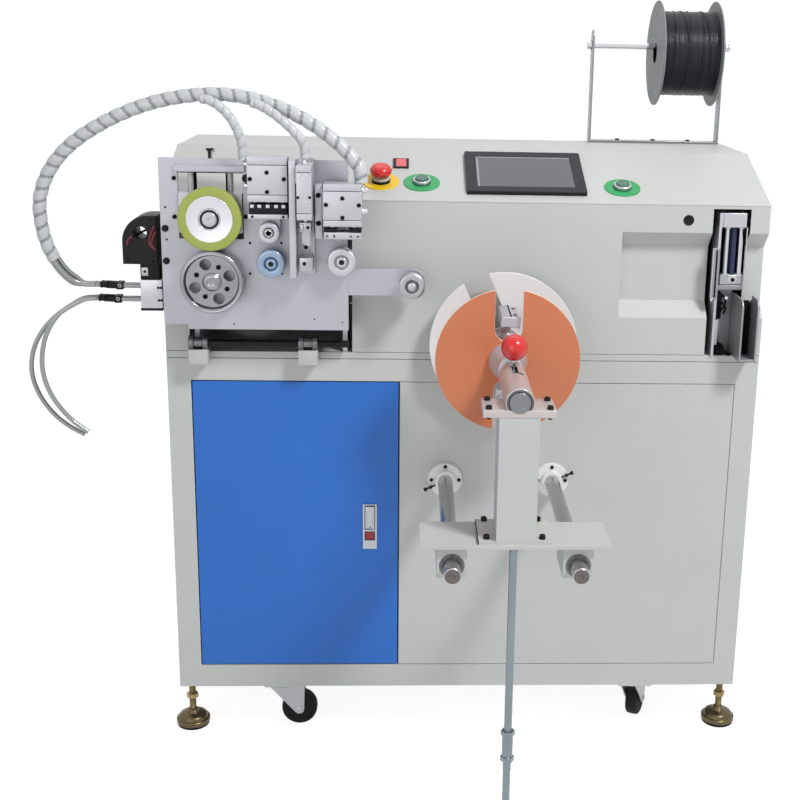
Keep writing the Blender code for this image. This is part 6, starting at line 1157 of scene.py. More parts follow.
place(valve, "valve_block.fittings", "machine", bright_aluminium, black_plastic, shade_and_wire_black, milled_steel, clear_hose,
      slot="aluminium", instead=["valve_block"])
print("the valve block has its fittings")

# %% Shaft and clamps under the feed plate
mount = bmesh.new()
SHAFT_Y, SHAFT_Z = -0.0155, 0.727
lathe(mount, round_edges([(0.0, 0.0), (0.0060, 0.0), (0.0060, 0.263), (0.0, 0.263)], 0.0008),
      (0.0415, SHAFT_Y, SHAFT_Z), RIGHTWARD, 48, 0)
for left, right in ((0.041, 0.073), (0.221, 0.253)):
    for low, high in ((left, left + 0.0085), (right - 0.0085, right)):
        lathe(mount, round_edges([(0.0061, 0.0), (0.0130, 0.0), (0.0130, high - low), (0.0061, high - low)], 0.0012),
              (low, SHAFT_Y, SHAFT_Z), RIGHTWARD, 40, 2)
    lathe(mount, round_edges([(0.0061, 0.0), (0.0100, 0.0), (0.0100, 0.015), (0.0061, 0.015)], 0.0008),
          (left + 0.0085, SHAFT_Y, SHAFT_Z), RIGHTWARD,
          40, 2)
    block(mount, (left, -0.0300, 0.693), (right, 0.0, 0.7180), 0.0016, 1)
    # A near-black block between each clamp and the shaft is painted shade under the shaft.
    block(mount, (left + 0.0100, -0.0260, 0.7170), (right - 0.0100, -0.0050, 0.7235), 0.0008, 3)
place(mount, "head_mount.shaft", "machine", black_oxide, deck_clamp, dark_steel, shade_and_wire_black, slot="aluminium",
      instead=["head_mount"])
print("two clamps hold the shaft")

# %% [markdown]
# ## The winding head
# The coil is wound between two discs. The rear one is painted white and turns with the motor.
# The front one is orange phenolic sheet and is taken off with the spindle to free the coil.
# Both have long slots with round ends, through which the tie goes round the coil. A disc with
# slots is one closed outline, so both are cut by the plate maker.

# %% Discs with slots
HUB_X, HUB_Z = 0.560, 0.732
AXIS = (HUB_X, 0.0, HUB_Z)
SLOT_REACH, SLOT_WIDTH = 0.052, 0.044


def slotted_outline(radius, reach, width, angles, steps=128):
    """A circle with slots that come in from the rim and end in a half circle round the reach."""
    half = width / 2
    opening = math.asin(half / radius)
    outline = []
    slots = sorted(math.radians(angle) for angle in angles)
    for i, angle in enumerate(slots):
        start = angle + opening
        end = slots[(i + 1) % len(slots)] - opening + (2 * math.pi if i + 1 == len(slots) else 0)
        count = max(4, int(steps * (end - start) / (2 * math.pi)))
        outline += [(radius * math.cos(start + (end - start) * k / count),
                     radius * math.sin(start + (end - start) * k / count)) for k in range(count + 1)]
        after = slots[(i + 1) % len(slots)]
        along, side = (math.cos(after), math.sin(after)), (-math.sin(after), math.cos(after))
        for k in range(17):
            turn = math.pi * k / 16
            inward, across = reach - half * math.sin(turn), -half * math.cos(turn)
            outline.append((along[0] * inward + side[0] * across, along[1] * inward + side[1] * across))
    return [(HUB_X + x, HUB_Z + z) for x, z in outline]


rear = bmesh.new()
plate(rear, slotted_outline(0.1225, SLOT_REACH, SLOT_WIDTH, (113, 293)), -0.0340, -0.0300, "XZ", (), 0.0006, 0)
hub = [(0.0, 0.0518), (0.0170, 0.0520), (0.0240, 0.0505), (0.0240, 0.0345), (0.0300, 0.0340), (0.0300, 0.0295),
       (0.0, 0.0295)]
lathe(rear, round_edges(hub, 0.0010), AXIS, steps=64, finish=1)
lathe(rear, [(0.0100, 0.0300), (0.0100, -0.0440), (0.0, -0.0440)], AXIS, steps=40, finish=2)
for angle in (23, 83, 143, 203, 263, 323):
    button_screw(rear, ring_spot(HUB_X, HUB_Z, 0.0270, angle, -0.0340), radius=0.0020, height=0.0012, finish=4, pit=5)
print("rear disc outline is cut")

# %% [markdown]
# The mandrel between the discs carries two curved shoes. The cable winds over them, and their
# distance sets the coil's inner size. Each shoe is a bent bar with a near-black line of painted
# shade along its middle where the two halves meet, and the arm that holds it has a black screw.

# %% Mandrel shoes
TILT = math.radians(4.0)


def turned_about_hub(angle):
    return Matrix.Translation((HUB_X, 0, HUB_Z)) @ Matrix.Rotation(angle, 4,
                                                                   "Y") @ Matrix.Translation((-HUB_X, 0, -HUB_Z))


for side in (0, 180):
    turn = turned_about_hub(TILT + math.radians(side))
    block(rear, (HUB_X - 0.009, -0.0480, HUB_Z + 0.018), (HUB_X + 0.009, -0.0345, HUB_Z + 0.060), 0.0012, 1, turn)
    shoe = circle((HUB_X, HUB_Z), 0.0680, 14, 90 - 12.8, 90 + 12.8) + circle((HUB_X, HUB_Z), 0.0520, 10, 90 + 16.5,
                                                                             90 - 16.5)
    spun = [turn @ Vector((x, 0.0, z)) for x, z in shoe]
    plate(rear, [(point.x, point.z) for point in spun], -0.1270, -0.0345, "XZ", (), 0.0012, 1)
    # A thin near-black strip along the shoe's middle: painted shade in the joint of its halves.
    block(rear, (HUB_X - 0.0012, -0.1262, HUB_Z + 0.0660), (HUB_X + 0.0012, -0.0350, HUB_Z + 0.0684), 0.0003, 3, turn)
    for depth in (-0.060, -0.105):
        cap_screw(rear, turn @ Vector((HUB_X + 0.0075, depth, HUB_Z + 0.0676)), turn.to_3x3() @ Vector(UP), 0.0030,
                  0.0010, 4, 5)
rear_piece = place(rear, "rear_disc.white", "winder", white_plastic, satin_aluminium, ground_steel, shade_and_wire_black,
                   black_oxide, shade_and_wire_black,
                   slot="white_plastic", instead=["rear_disc"])
print("rear disc:", len(rear_piece.data.polygons), "faces")

# %% Front disc
front = bmesh.new()
plate(front, slotted_outline(0.1150, SLOT_REACH, SLOT_WIDTH, (90, 270)), -0.1380, -0.1340, "XZ", (), 0.0005, 0)
for face in front.faces:
    if abs(face.normal.y) < 0.9:
        face.material_index = 1
cone = [(0.0103, 0.1330), (0.0103, 0.1947), (0.0190, 0.1947), (0.0190, 0.1680), (0.0300, 0.1460), (0.0300, 0.1375)]
lathe(front, round_edges(cone[::-1], 0.0010), AXIS, steps=72, finish=2)
for angle in (45, 135, 225, 315):
    hollow(front, ring_spot(HUB_X, HUB_Z, 0.0248, angle, -0.1380), radius=0.0018, finish=3, rim=2)
place(front, "front_disc.orange", "outer_disc", orange_disc, orange_edge, satin_aluminium, shade_and_wire_black,
      slot="orange_plastic", instead=["front_disc"])
print("front disc is cut")

# %% [markdown]
# ## The tailstock
# A white barrel on a sliding carriage carries the spindle that presses the front disc home. The
# operator pulls a red ball to draw the spindle back. The ball's stem runs in an L-shaped slot
# in the barrel, so that it can be hooked in the open place. The slot shows as two dark edges on
# top of the barrel.

# %% Barrel with its slot
barrel = bmesh.new()
BORE, OUTER = 0.0160, 0.0210
OUTER_END, INNER_END = 0.3780, 0.2360
SLOT_HALF, SLOT_OUTER, SLOT_INNER, NOTCH = 0.0045, 0.2925, 0.2455, 0.0080
half_angle = math.asin(SLOT_HALF / OUTER)
notch_angle = math.asin(NOTCH / OUTER) + half_angle
around = sorted({*(math.radians(-90 + 360 * k / 80) for k in range(80)), math.pi / 2 - half_angle,
                 math.pi / 2 + half_angle,
                 math.pi / 2 - notch_angle})
depths = [OUTER_END, 0.3772, 0.3400, 0.3100, SLOT_OUTER, 0.2835, 0.2650, SLOT_INNER, 0.2368, INNER_END]


def open_slot(angle, depth):
    """True where the L-shaped slot has been cut out of the barrel."""
    straight = abs(angle - math.pi / 2) < half_angle and SLOT_INNER < depth < SLOT_OUTER
    hook = math.pi / 2 - notch_angle < angle < math.pi / 2 and 0.2835 < depth < SLOT_OUTER
    return straight or hook


shell = {}
for layer, radius in ((0, OUTER), (1, BORE)):
    for i, depth in enumerate(depths):
        size = radius - 0.0008 if layer == 0 and i in (0, len(depths) - 1) else radius
        for k, angle in enumerate(around):
            shell[layer, i,
                  k] = barrel.verts.new((HUB_X + size * math.cos(angle), -depth, HUB_Z + size * math.sin(angle)))
count = len(around)


def solid(i, k):
    if not 0 <= i < len(depths) - 1:
        return False
    step = (around[(k + 1) % count] - around[k]) % (2 * math.pi)
    return not open_slot(around[k] + step / 2, (depths[i] + depths[i + 1]) / 2)


for i in range(len(depths) - 1):
    for k in range(count):
        if not solid(i, k):
            continue
        after = (k + 1) % count
        for layer in (0, 1):
            barrel.faces.new([shell[layer, i, k], shell[layer, i, after], shell[layer, i + 1, after],
                              shell[layer, i + 1, k]]).material_index = layer
        for first, second, beyond in (((i, k), (i, after), (i - 1, k)), ((i + 1, k), (i + 1, after), (i + 1, k)),
                                      ((i, k), (i + 1, k), (i, (k - 1) % count)),
                                      ((i, after), (i + 1, after), (i, after))):
            if not solid(*beyond):
                barrel.faces.new([shell[0, *first], shell[0, *second], shell[1, *second],
                                  shell[1, *first]]).material_index = 0 if beyond[0] in (-1, len(depths) - 1) else 1
SADDLE = ((0.508, -0.379, 0.7105), (0.612, -0.317, 0.7215))
block(barrel, *SADDLE, 0.0010, 0)
for x in (0.5165, 0.6035):
    for y in (-0.3700, -0.3260):
        cap_screw(barrel, (x, y, SADDLE[1][2]), UP, 0.0046, 0.0050, 2, 3)
        lathe(barrel, [(0.0030, 0.0), (0.0030, 0.004), (0.0, 0.004)], (x, y, SADDLE[0][2]), (0, 0, -1), 16, 2)
for side in (-1, 1):
    bead = [(HUB_X + side * 0.0162, -0.3770, 0.7222), (HUB_X + side * 0.0162, -0.3185, 0.7222)]
    tube(barrel, bead, 0.0022, 10, 0)
lathe(barrel,
      [(BORE, OUTER_END + 0.0002), (OUTER - 0.0016, OUTER_END + 0.0002), (OUTER - 0.0006, OUTER_END - 0.0006)],
      (HUB_X, 0.0, HUB_Z), steps=80, finish=1)
place(barrel, "spindle_barrel.slotted", "tailstock", barrel_paint, dark_steel, black_oxide, shade_and_wire_black,
      slot="aluminium",
      instead=["spindle_barrel"])
print("barrel slot is", round((SLOT_OUTER - SLOT_INNER) * 1000, 1), "mm long")

# %% Spindle and its ball
spindle = bmesh.new()
face = [(0.0, 0.3796), (0.0022, 0.3796), (0.0030, 0.3800), (0.0080, 0.3797), (0.0084, 0.3800), (0.0146, 0.3800),
        (0.0155, 0.3788)]
lathe(spindle, face, AXIS, steps=72, finish=3)
shape = [(0.0155, 0.3788), (0.0155, 0.1955), (0.0150, 0.1950), (0.0100, 0.1950),
         (0.0100, 0.1337), (0.0155, 0.1337), (0.0160, 0.1330), (0.0160, 0.1300), (0.0155, 0.1295), (0.0, 0.1295)]
lathe(spindle, shape, AXIS, steps=72, finish=0)
lathe(spindle, [(0.0156, 0.3786), (0.0168, 0.3782), (0.0168, 0.3771), (0.0156, 0.3770)], AXIS, steps=72, finish=2)
lathe(spindle, [(0.0040, 0.0), (0.0040, 0.0320), (0.0, 0.0320)], (HUB_X, -0.250, 0.7390), UP, 24, 0)
lathe(spindle, [(0.0062, 0.0), (0.0062, 0.004), (0.0040, 0.005)], (HUB_X, -0.250, 0.7540), UP, 6, 0)
place(spindle, "quill.spindle", "spindle", ground_steel, chrome, black_oxide, ring_grey, slot="steel",
      instead=["quill"])
ball = bmesh.new()
sphere = [(0.020 * math.sin(math.radians(a)), -0.020 * math.cos(math.radians(a))) for a in range(14, 181, 6)]
lathe(ball, [(0.0042, -0.0160), (0.0046, -0.0194), *sphere[1:], (0.0, 0.020)], (HUB_X, -0.250, 0.781), UP, 64, 0)
place(ball, "knob.ball", "spindle", red_plastic, slot="red_plastic", instead=["knob"])
print("spindle and ball are turned")

# %% [markdown]
# ### Rails, carriage and leg
# The carriage slides on two ground bars that stand in white flanges on the cabinet. It is a
# painted plate with a square column on a foot, and four black screws hold the foot. The long
# leg below has a threaded sleeve, so that it can be set to the floor's height.

# %% Rails with their flanges
RAIL_Z = 0.486
for name, x, thumb in (("rail_left", 0.468, 205), ("rail_right", 0.652, 24)):
    rail = bmesh.new()
    lathe(rail, [(0.0125, -0.0180), (0.0125, 0.4138), (0.0113, 0.4150)], (x, 0.0, RAIL_Z), steps=64, finish=0)
    lathe(rail, [(0.0113, 0.4150), (0.0040, 0.4150), (0.0036, 0.4135), (0.0, 0.4128)], (x, 0.0, RAIL_Z), steps=64,
          finish=4)
    flange = [(0.0126, 0.0183), (0.0172, 0.0183), (0.0180, 0.0173), (0.0182, 0.0090), (0.0192, 0.0074),
              (0.0285, 0.0073), (0.0295, 0.0063), (0.0295, 0.0)]
    lathe(rail, flange, (x, 0.0, RAIL_Z), steps=72, finish=1)
    for angle in (0, 90, 180, 270):
        cap_screw(rail, ring_spot(x, RAIL_Z, 0.0238, angle, -0.0073), radius=0.0030, height=0.0026, finish=2, pit=3)
    way = Vector((math.cos(math.radians(thumb)), 0.0, math.sin(math.radians(thumb))))
    thumbscrew = [(0.0030, 0.0), (0.0030, 0.0035), (0.0017, 0.0040), (0.0017, 0.0095), (0.0034, 0.0100),
                  (0.0034, 0.0145), (0.0, 0.0145)]
    threaded = Vector((x, -0.0125, RAIL_Z)) + way * 0.0255
    lathe(rail, [(0.0015, -0.0080), (0.0015, 0.0)], threaded, way, 16, 2)
    lathe(rail, round_edges(thumbscrew, 0.0004), threaded, way, 20, 2)
    place(rail, name + ".bar", "machine", ground_steel, white_plastic, black_oxide, shade_and_wire_black, rail_end,
          slot="chrome", instead=[name])
print("two rails stand in their flanges")

# %% Screws on the carriage
bolts = bmesh.new()
for x in (0.5178, 0.5990):
    for y in (-0.3676, -0.2970):
        cap_screw(bolts, (x, y, 0.5250), UP, 0.0046, 0.0060, 0, 1)
block(bolts, (0.5060, -0.3180, 0.5199), (0.6140, -0.2895, 0.5250), 0.0008, 3)
# A thin near-black strip along the left edge of the foot is painted shadow.
block(bolts, (0.5052, -0.3792, 0.5199), (0.5062, -0.2895, 0.5246), 0.0, 1)
for x in (0.468, 0.652):
    bearing = [(0.0128, -0.0004), (0.0140, 0.0008), (0.0178, 0.0010), (0.0186, -0.0002)]
    lathe(bolts, bearing, (x, -0.3760, RAIL_Z), steps=48, finish=2)
place(bolts, "carriage.screws", "tailstock", black_oxide, shade_and_wire_black, dark_steel, grey_paint, slot="black_plastic")

# %% Support leg
LEG, LEG_LENGTH = (0.560, -0.340), 0.5137
leg = bmesh.new()
foot = [(0.0, 0.0005), (0.0120, 0.0005), (0.0130, 0.0015), (0.0130, 0.0055), (0.0100, 0.0090), (0.0062, 0.0120),
        (0.0060, 0.0140)]
lathe(leg, foot + [(0.0060, LEG_LENGTH), (0.0, LEG_LENGTH)], (*LEG, 0.0), UP, 48, 0)
lathe(leg, round_edges([(0.0061, 0.155), (0.0085, 0.155), (0.0085, 0.190), (0.0061, 0.190)], 0.0008), (*LEG, 0.0), UP,
      48, 0)
for low in (0.190, 0.146, 0.5047):
    nut = [(0.0061, 0.0), (0.0100, 0.0), (0.0110, 0.0008), (0.0110, 0.0082), (0.0100, 0.0090), (0.0061, 0.0090)]
    lathe(leg, nut, (*LEG, low), UP, 6, 0)
for turn in range(12):
    lathe(leg, [(0.0060, 0.0), (0.0064, 0.0007), (0.0060, 0.0014)], (*LEG, 0.1290 + turn * 0.0014), UP, 24, 0)
place(leg, "support_leg.rod", "tailstock", leg_steel, slot="chrome", instead=["support_leg"])
print("support leg is", LEG_LENGTH, "m long")

# %% [markdown]
# ## The tying head
# A slot at the right shows the tying head. A silver slide runs down two bright rods in front of
# a dark blue air cylinder, and brings the tie to the wire guides below. Two thin guide plates
# with cut corners stand out of the slot. What lies behind them is in deep shade, and that
# darkness is what makes the bright parts read, so the gaps have near-black pieces of their own:
# painted shade.

# %% Frame of the tying head
FLOOR, SLIDE_LOW = 0.7093, 0.831
ROD_X, ROD_Y = (0.9335, 0.9565), 0.0140
tying = bmesh.new()
# Finish 3 is near-black: the backing sheet and the dark strips and blocks below are painted shade in the gaps; it
# also colours four thin black tubes.
block(tying, (0.9150, -0.0040, FLOOR), (0.9195, 0.0400, 0.9290), 0.0006, 0)
block(tying, (0.9122, 0.0395, FLOOR), (0.9640, 0.0460, 0.9500), 0.0006, 3)
block(tying, (0.9150, -0.0040, 0.9285), (0.9605, 0.0400, 0.9520), 0.0010, 1)
block(tying, (0.9210, -0.0044, 0.9300), (0.9215, -0.0030, 0.9510), 0.0001, 3)
block(tying, (0.9195, 0.0040, 0.8220), (0.9640, 0.0400, 0.8300), 0.0008, 5)
for x in ROD_X:
    lathe(tying, [(0.0040, 0.8290), (0.0040, 0.9295)], (x, ROD_Y, 0.0), UP, 32, 2)
    lathe(tying, round_edges([(0.0041, 0.9240), (0.0062, 0.9240), (0.0062, 0.9290)], 0.0005), (x, ROD_Y, 0.0), UP, 32,
          1)
lathe(tying, [(0.0045, 0.8290), (0.0045, 0.9295)], (0.945, ROD_Y, 0.0), UP, 32, 4)
lathe(tying, round_edges([(0.0, 0.8420), (0.0068, 0.8420), (0.0068, 0.9240), (0.0, 0.9240)], 0.0010),
      (0.945, 0.0335, 0.0), UP, 40, 4)
block(tying, (0.9270, 0.0300, 0.8420), (0.9300, 0.0395, 0.9280), 0.0004, 3)
block(tying, (0.9600, 0.0300, 0.8420), (0.9630, 0.0395, 0.9280), 0.0004, 3)
print("tying frame:", len(tying.faces), "faces")

# %% Guide plates and what stands round them
guide_profile = [(-0.0460, FLOOR), (0.0450, FLOOR), (0.0450, 0.8140), (-0.0290, 0.8140)]
guide_profile += circle((-0.0310, 0.7990), 0.0150, 8, 90, 180) + [(-0.0460, 0.7960)]
plate(tying, guide_profile, 0.9525, 0.9555, "YZ", (), 0.0004, 5)
plate(tying, [(min(y, -0.0015), z) for y, z in guide_profile], 0.9785, 0.9815, "YZ", (), 0.0004, 5)
block(tying, (0.9540, -0.0450, FLOOR), (0.9800, -0.0015, FLOOR + 0.0040), 0.0004, 5)
block(tying, (0.9557, -0.0032, FLOOR + 0.0040), (0.9783, -0.0016, 0.8060), 0.0003, 3)
block(tying, (0.9068, -0.0066, 0.8080), (0.9185, -0.0042, 0.8940), 0.0008, 5)
block(tying, (0.9066, -0.0072, 0.8090), (0.9084, -0.0040, 0.8930), 0.0004, 0)
block(tying, (0.9120, -0.0070, 0.8110), (0.9150, -0.0062, 0.8910), 0.0, 6)
block(tying, (0.9075, -0.0074, 0.8040), (0.9110, -0.0040, 0.8085), 0.0008, 1)
block(tying, (0.9195, 0.0300, FLOOR), (0.9525, 0.0400, 0.8215), 0.0006, 5)
block(tying, (0.9196, 0.0060, 0.7260), (0.9270, 0.0290, 0.7700), 0.0008, 0)
block(tying, (0.9196, 0.0040, 0.7720), (0.9300, 0.0290, 0.8160), 0.0010, 3)
block(tying, (0.9196, 0.0040, FLOOR), (0.9380, 0.0290, 0.7250), 0.0006, 3)
for path in ([(0.930, 0.004, 0.814), (0.934, -0.002, 0.806), (0.932, -0.004, 0.796), (0.9275, 0.000, 0.786)],
             [(0.922, -0.001, 0.810), (0.928, -0.006, 0.802), (0.9345, -0.004, 0.792), (0.9330, 0.002, 0.782)],
             [(0.921, 0.002, 0.723), (0.930, -0.003, 0.721), (0.940, -0.006, 0.717), (0.948, -0.008, 0.714)],
             [(0.922, -0.002, 0.716), (0.930, -0.008, 0.719), (0.938, -0.010, 0.7150), (0.946, -0.008, 0.7118)]):
    tube(tying, smooth_path(path, 5), 0.0020, 10, 3)
lathe(tying, round_edges([(0.0, 0.0), (0.0030, 0.0), (0.0030, 0.0060), (0.0, 0.0060)], 0.0006),
      (0.9335, -0.0020, 0.8080), (0.3, -1, 0.4), 20, 1)
for x, z in ((0.9590, 0.8040), (0.9590, 0.7900), (0.9760, 0.8040)):
    button_screw(tying, (x, -0.0035, z), radius=0.0026, height=0.0022, finish=1, pit=3)
tube(tying, [(0.9628, -0.0010, 0.8300), (0.9630, -0.0012, 0.8800), (0.9626, -0.0010, 0.9280)], 0.0011, 10, 0)
place(tying, "tying_frame.head", "machine", satin_aluminium, bright_aluminium, chrome, shade_and_wire_black, dark_blue,
      grey_steel, black_oxide,
      slot="aluminium", instead=["tying_frame"])
slide = bmesh.new()
block(slide, (0.9235, 0.0032, SLIDE_LOW), (0.9620, 0.0248, 0.8480), 0.0012, 0)
lathe(slide, round_edges([(0.0, 0.0), (0.0072, 0.0), (0.0072, 0.0030), (0.0, 0.0030)], 0.0010),
      (0.9450, 0.0060, 0.8395), (0, -1, 0), 32, 1)
cap_screw(slide, (0.9450, 0.0030, 0.8395), radius=0.0034, height=0.0016, finish=2, pit=3)
for x in ROD_X:
    lathe(slide, [(0.0043, 0.8480), (0.0060, 0.8480), (0.0060, 0.8487), (0.0043, 0.8487)], (x, ROD_Y, 0.0), UP, 32, 1)
place(slide, "tying_slide.block", "tie", milled_steel, bright_aluminium, black_oxide, shade_and_wire_black, slot="steel",
      instead=["tying_slide"])
print("tying slide stands at z", SLIDE_LOW)

# %% Plug in the front
plug = bmesh.new()
lathe(plug, [(0.0088, 0.0), (0.0088, 0.0008), (0.0080, 0.0014), (0.0066, 0.0014), (0.0060, 0.0010), (0.0, 0.0010)],
      (0.864, 0.0, 0.939), steps=48, finish=0)
place(plug, "housing.plug", "machine", black_plastic, slot="black_plastic")

# %% [markdown]
# ## Controls on the sloped desk
# The operator sees an emergency stop on a yellow plate, a lit rocker switch, two green buttons
# on green plates and a touch screen. All of them stand square to the slope, so they are made
# flat and laid on the slope by one matrix. A push button is a metal ring with a moulded cap
# that is a little sunk, and a mushroom head is a dome with a rounded rim.

# %% Laying a piece on the slope
SLOPE_RISE, SLOPE_RUN, SLOPE_FOOT = 0.068, 0.180, 0.965
SLOPE = Matrix.Translation((0.0, 0.0, SLOPE_FOOT)) @ Matrix.Rotation(math.atan2(SLOPE_RISE, SLOPE_RUN), 4, "X")


def laid(mesh, *others, **more):
    """Lays a mesh drawn flat on the slope and places it as a piece."""
    bmesh.ops.transform(mesh, matrix=SLOPE, verts=mesh.verts)
    return place(mesh, *others, **more)


def legend(mesh, x, up, finish):
    """A round plate 60 mm across behind a button."""
    lathe(mesh, [(0.0120, 0.0), (0.0120, 0.0016), (0.0300, 0.0016), (0.0304, 0.0012), (0.0304, 0.0)], (x, up, 0.0),
          UP, 72, finish)


# %% Plates and rings
STOP, START, RESET = (0.355, 0.064), (0.423, 0.062), (0.759, 0.054)
rings = bmesh.new()
legend(rings, *STOP, 0)
legend(rings, *START, 1)
legend(rings, *RESET, 1)
collar = [(0.0090, 0.0112), (0.0128, 0.0114), (0.0136, 0.0108), (0.0137, 0.0070), (0.0153, 0.0066), (0.0155, 0.0060),
          (0.0155, 0.0014)]
lathe(rings, collar[:4], (*STOP, 0.0), UP, 64, 4)
lathe(rings, collar[3:], (*STOP, 0.0), UP, 64, 3)
for x, up in (START, RESET):
    bezel = [(0.0113, 0.0050), (0.0114, 0.0077), (0.0120, 0.0082), (0.0136, 0.0082), (0.0147, 0.0072),
             (0.0150, 0.0050), (0.0143, 0.0030)]
    lathe(rings, bezel, (x, up, 0.0), UP, 72, 2)
    lathe(rings, [(0.0143, 0.0030), (0.0150, 0.0026), (0.0153, 0.0014)], (x, up, 0.0), UP, 72, 3)
laid(rings, "housing_cover.rings", "machine", yellow_legend, green_legend, bright_aluminium, black_plastic,
     cream_plastic,
     slot="white_plastic")
print("three round plates lie on the slope")

# %% Button caps and the mushroom head
for name, body, x, up in (("start_button", "start", *START), ("reset_button", "reset", *RESET)):
    cap = bmesh.new()
    shape = [(0.0100, -0.0080), (0.0108, -0.0080), (0.0108, 0.0096), (0.0102, 0.0106), (0.0090, 0.0110),
             (0.0084, 0.0105), (0.0, 0.0102)]
    lathe(cap, shape, (x, up, 0.0), UP, 64, 0)
    laid(cap, name + ".cap", body, green_lens, slot="green_plastic", instead=[name])
head = bmesh.new()
dome = [(0.0, 0.0160), (0.0150, 0.0158), (0.0172, 0.0168), (0.0183, 0.0188), (0.0185, 0.0210), (0.0180, 0.0238),
        (0.0165, 0.0266), (0.0140, 0.0290),
        (0.0105, 0.0306), (0.0060, 0.0313), (0.0, 0.0315)]
lathe(head, dome, (*STOP, 0.0), UP, 80, 0)
lathe(head, [(0.0080, -0.0060), (0.0080, 0.0160)], (*STOP, 0.0), UP, 40, 1)
laid(head, "emergency_stop_button.head", "estop", red_plastic, cream_plastic, slot="red_plastic",
     instead=["emergency_stop_button"])
print("two caps and one mushroom head are in")

# %% [markdown]
# ### Rocker switch and touch screen
# The rocker's lens is red and clear, with a shallow ramp to each side of its middle. The screen
# is a flat black frame with a slightly sunk sheet of grey glass, and a fine pale line along the
# left and top edges where the glass meets the frame: a painted highlight.

# %% Rocker and its frame
frame_of_rocker = bmesh.new()
X, UPWARD = 0.388, 0.131
outer = [(X - 0.0134, UPWARD - 0.0174), (X + 0.0134, UPWARD - 0.0174), (X + 0.0134, UPWARD + 0.0174),
         (X - 0.0134, UPWARD + 0.0174)]
inner = [(X - 0.0094, UPWARD - 0.0129), (X + 0.0094, UPWARD - 0.0129), (X + 0.0094, UPWARD + 0.0129),
         (X - 0.0094, UPWARD + 0.0129)]
plate(frame_of_rocker, outer, 0.0, 0.0026, "XY", (inner[::-1],), 0.0006, 0)
laid(frame_of_rocker, "housing_cover.rocker_frame", "machine", black_plastic, slot="black_plastic")
lens = bmesh.new()
side = [(-0.0123, -0.0080), (0.0123, -0.0080), (0.0123, 0.0040), (0.0100, 0.0046), (0.0, 0.0010), (-0.0100, 0.0014),
        (-0.0123, 0.0006)]
plate(lens, [(UPWARD + y, z) for y, z in side], X - 0.0088, X + 0.0088, "YZ", (), 0.0005, 0)
laid(lens, "rocker_switch.lens", "rocker", red_lens, slot="red_plastic", instead=["rocker_switch"])

# %% Touch screen
screen = bmesh.new()
LEFT, RIGHT, LOW, HIGH = 0.497, 0.697, 0.023, 0.171
BORDER = 0.019


def rectangle(inset, corner):
    """A rectangle with rounded corners inside the screen's outline."""
    x0, x1, y0, y1 = LEFT + inset + corner, RIGHT - inset - corner, LOW + inset + corner, HIGH - inset - corner
    points = []
    for centre, start in (((x0, y0), 180), ((x1, y0), 270), ((x1, y1), 0), ((x0, y1), 90)):
        points += circle(centre, corner, 5, start, start + 90)
    return points


plate(screen, rectangle(0.0, 0.0030), 0.0, 0.0070, "XY", (rectangle(BORDER, 0.0012)[::-1],), 0.0012, 0)
block(screen, (LEFT + BORDER - 0.002, LOW + BORDER - 0.002, 0.0),
      (RIGHT - BORDER + 0.002, HIGH - BORDER + 0.002, 0.0058), 0.0, 1)
# Two pale strips along the left and top edges of the glass: painted highlight.
for low, high in (((LEFT + BORDER, LOW + BORDER), (LEFT + BORDER + 0.0035, HIGH - BORDER)),
                  ((LEFT + BORDER, HIGH - BORDER - 0.0035), (RIGHT - BORDER, HIGH - BORDER))):
    block(screen, (*low, 0.0056), (*high, 0.0061), 0.0, 2)
laid(screen, "touch_screen.front", "machine", screen_bezel, screen_glass, screen_edge_highlight, slot="black_plastic",
     instead=["touch_screen"])
print("screen is", round((RIGHT - LEFT) * 1000), "mm wide")

# %% [markdown]
# ### Door latch
# The latch is a long silver case set into the door. Its handle springs out when the red button
# below it is pressed.

# %% Latch
case = bmesh.new()
outer = [(0.3262, 0.3557), (0.3508, 0.3557), (0.3508, 0.4383), (0.3262, 0.4383)]
handle_hole = [(0.3297, 0.3915), (0.3473, 0.3915), (0.3473, 0.4362), (0.3297, 0.4362)]
button_hole = [(0.3297, 0.3719), (0.3473, 0.3719), (0.3473, 0.3881), (0.3297, 0.3881)]
plate(case, outer, -0.0026, -0.0004, "XZ", (handle_hole[::-1], button_hole[::-1]), 0.0006, 0)
block(case, (0.3300, -0.0012, 0.3600), (0.3470, -0.0024, 0.3690), 0.0004, 0)
place(case, "door.latch_case", "door_leaf", satin_chrome, slot="chrome")
handle = bmesh.new()
block(handle, (0.3303, -0.0012, 0.3925), (0.3467, 0.0060, 0.4335), 0.0008, 0)
block(handle, (0.3330, -0.0018, 0.3990), (0.3440, -0.0008, 0.4270), 0.0006, 0)
lathe(handle, [(0.0010, -0.0088), (0.0012, -0.0088), (0.0012, 0.0088), (0.0, 0.0088)], (0.3385, 0.0030, 0.4310),
      RIGHTWARD, 16, 0)
hollow(handle, (0.3390, -0.0012, 0.3952), radius=0.0011, finish=1, rim=0)
place(handle, "latch_handle.bar", "door_handle", satin_chrome, shade_and_wire_black, slot="aluminium", instead=["latch_handle"])
button = bmesh.new()
block(button, (0.3303, -0.0015, 0.3725), (0.3467, 0.0075, 0.3875), 0.0012, 0)
block(button, (0.3325, -0.0019, 0.3745), (0.3445, -0.0009, 0.3855), 0.0005, 0)
place(button, "latch_button.cap", "door_button", dark_red, slot="red_plastic", instead=["latch_button"])
print("the latch has its case, handle and button")

# %% [markdown]
# ## Wire spool on its bracket
# The tie wire comes from a spool over the machine. Its flanges are grey plastic, the dark blue
# wire lies in tight turns, and each layer ends a little uneven. Ripples in the turned profile
# give the turns, and a few single wires cross them at a slant, since nobody winds a spool so
# well that none does.

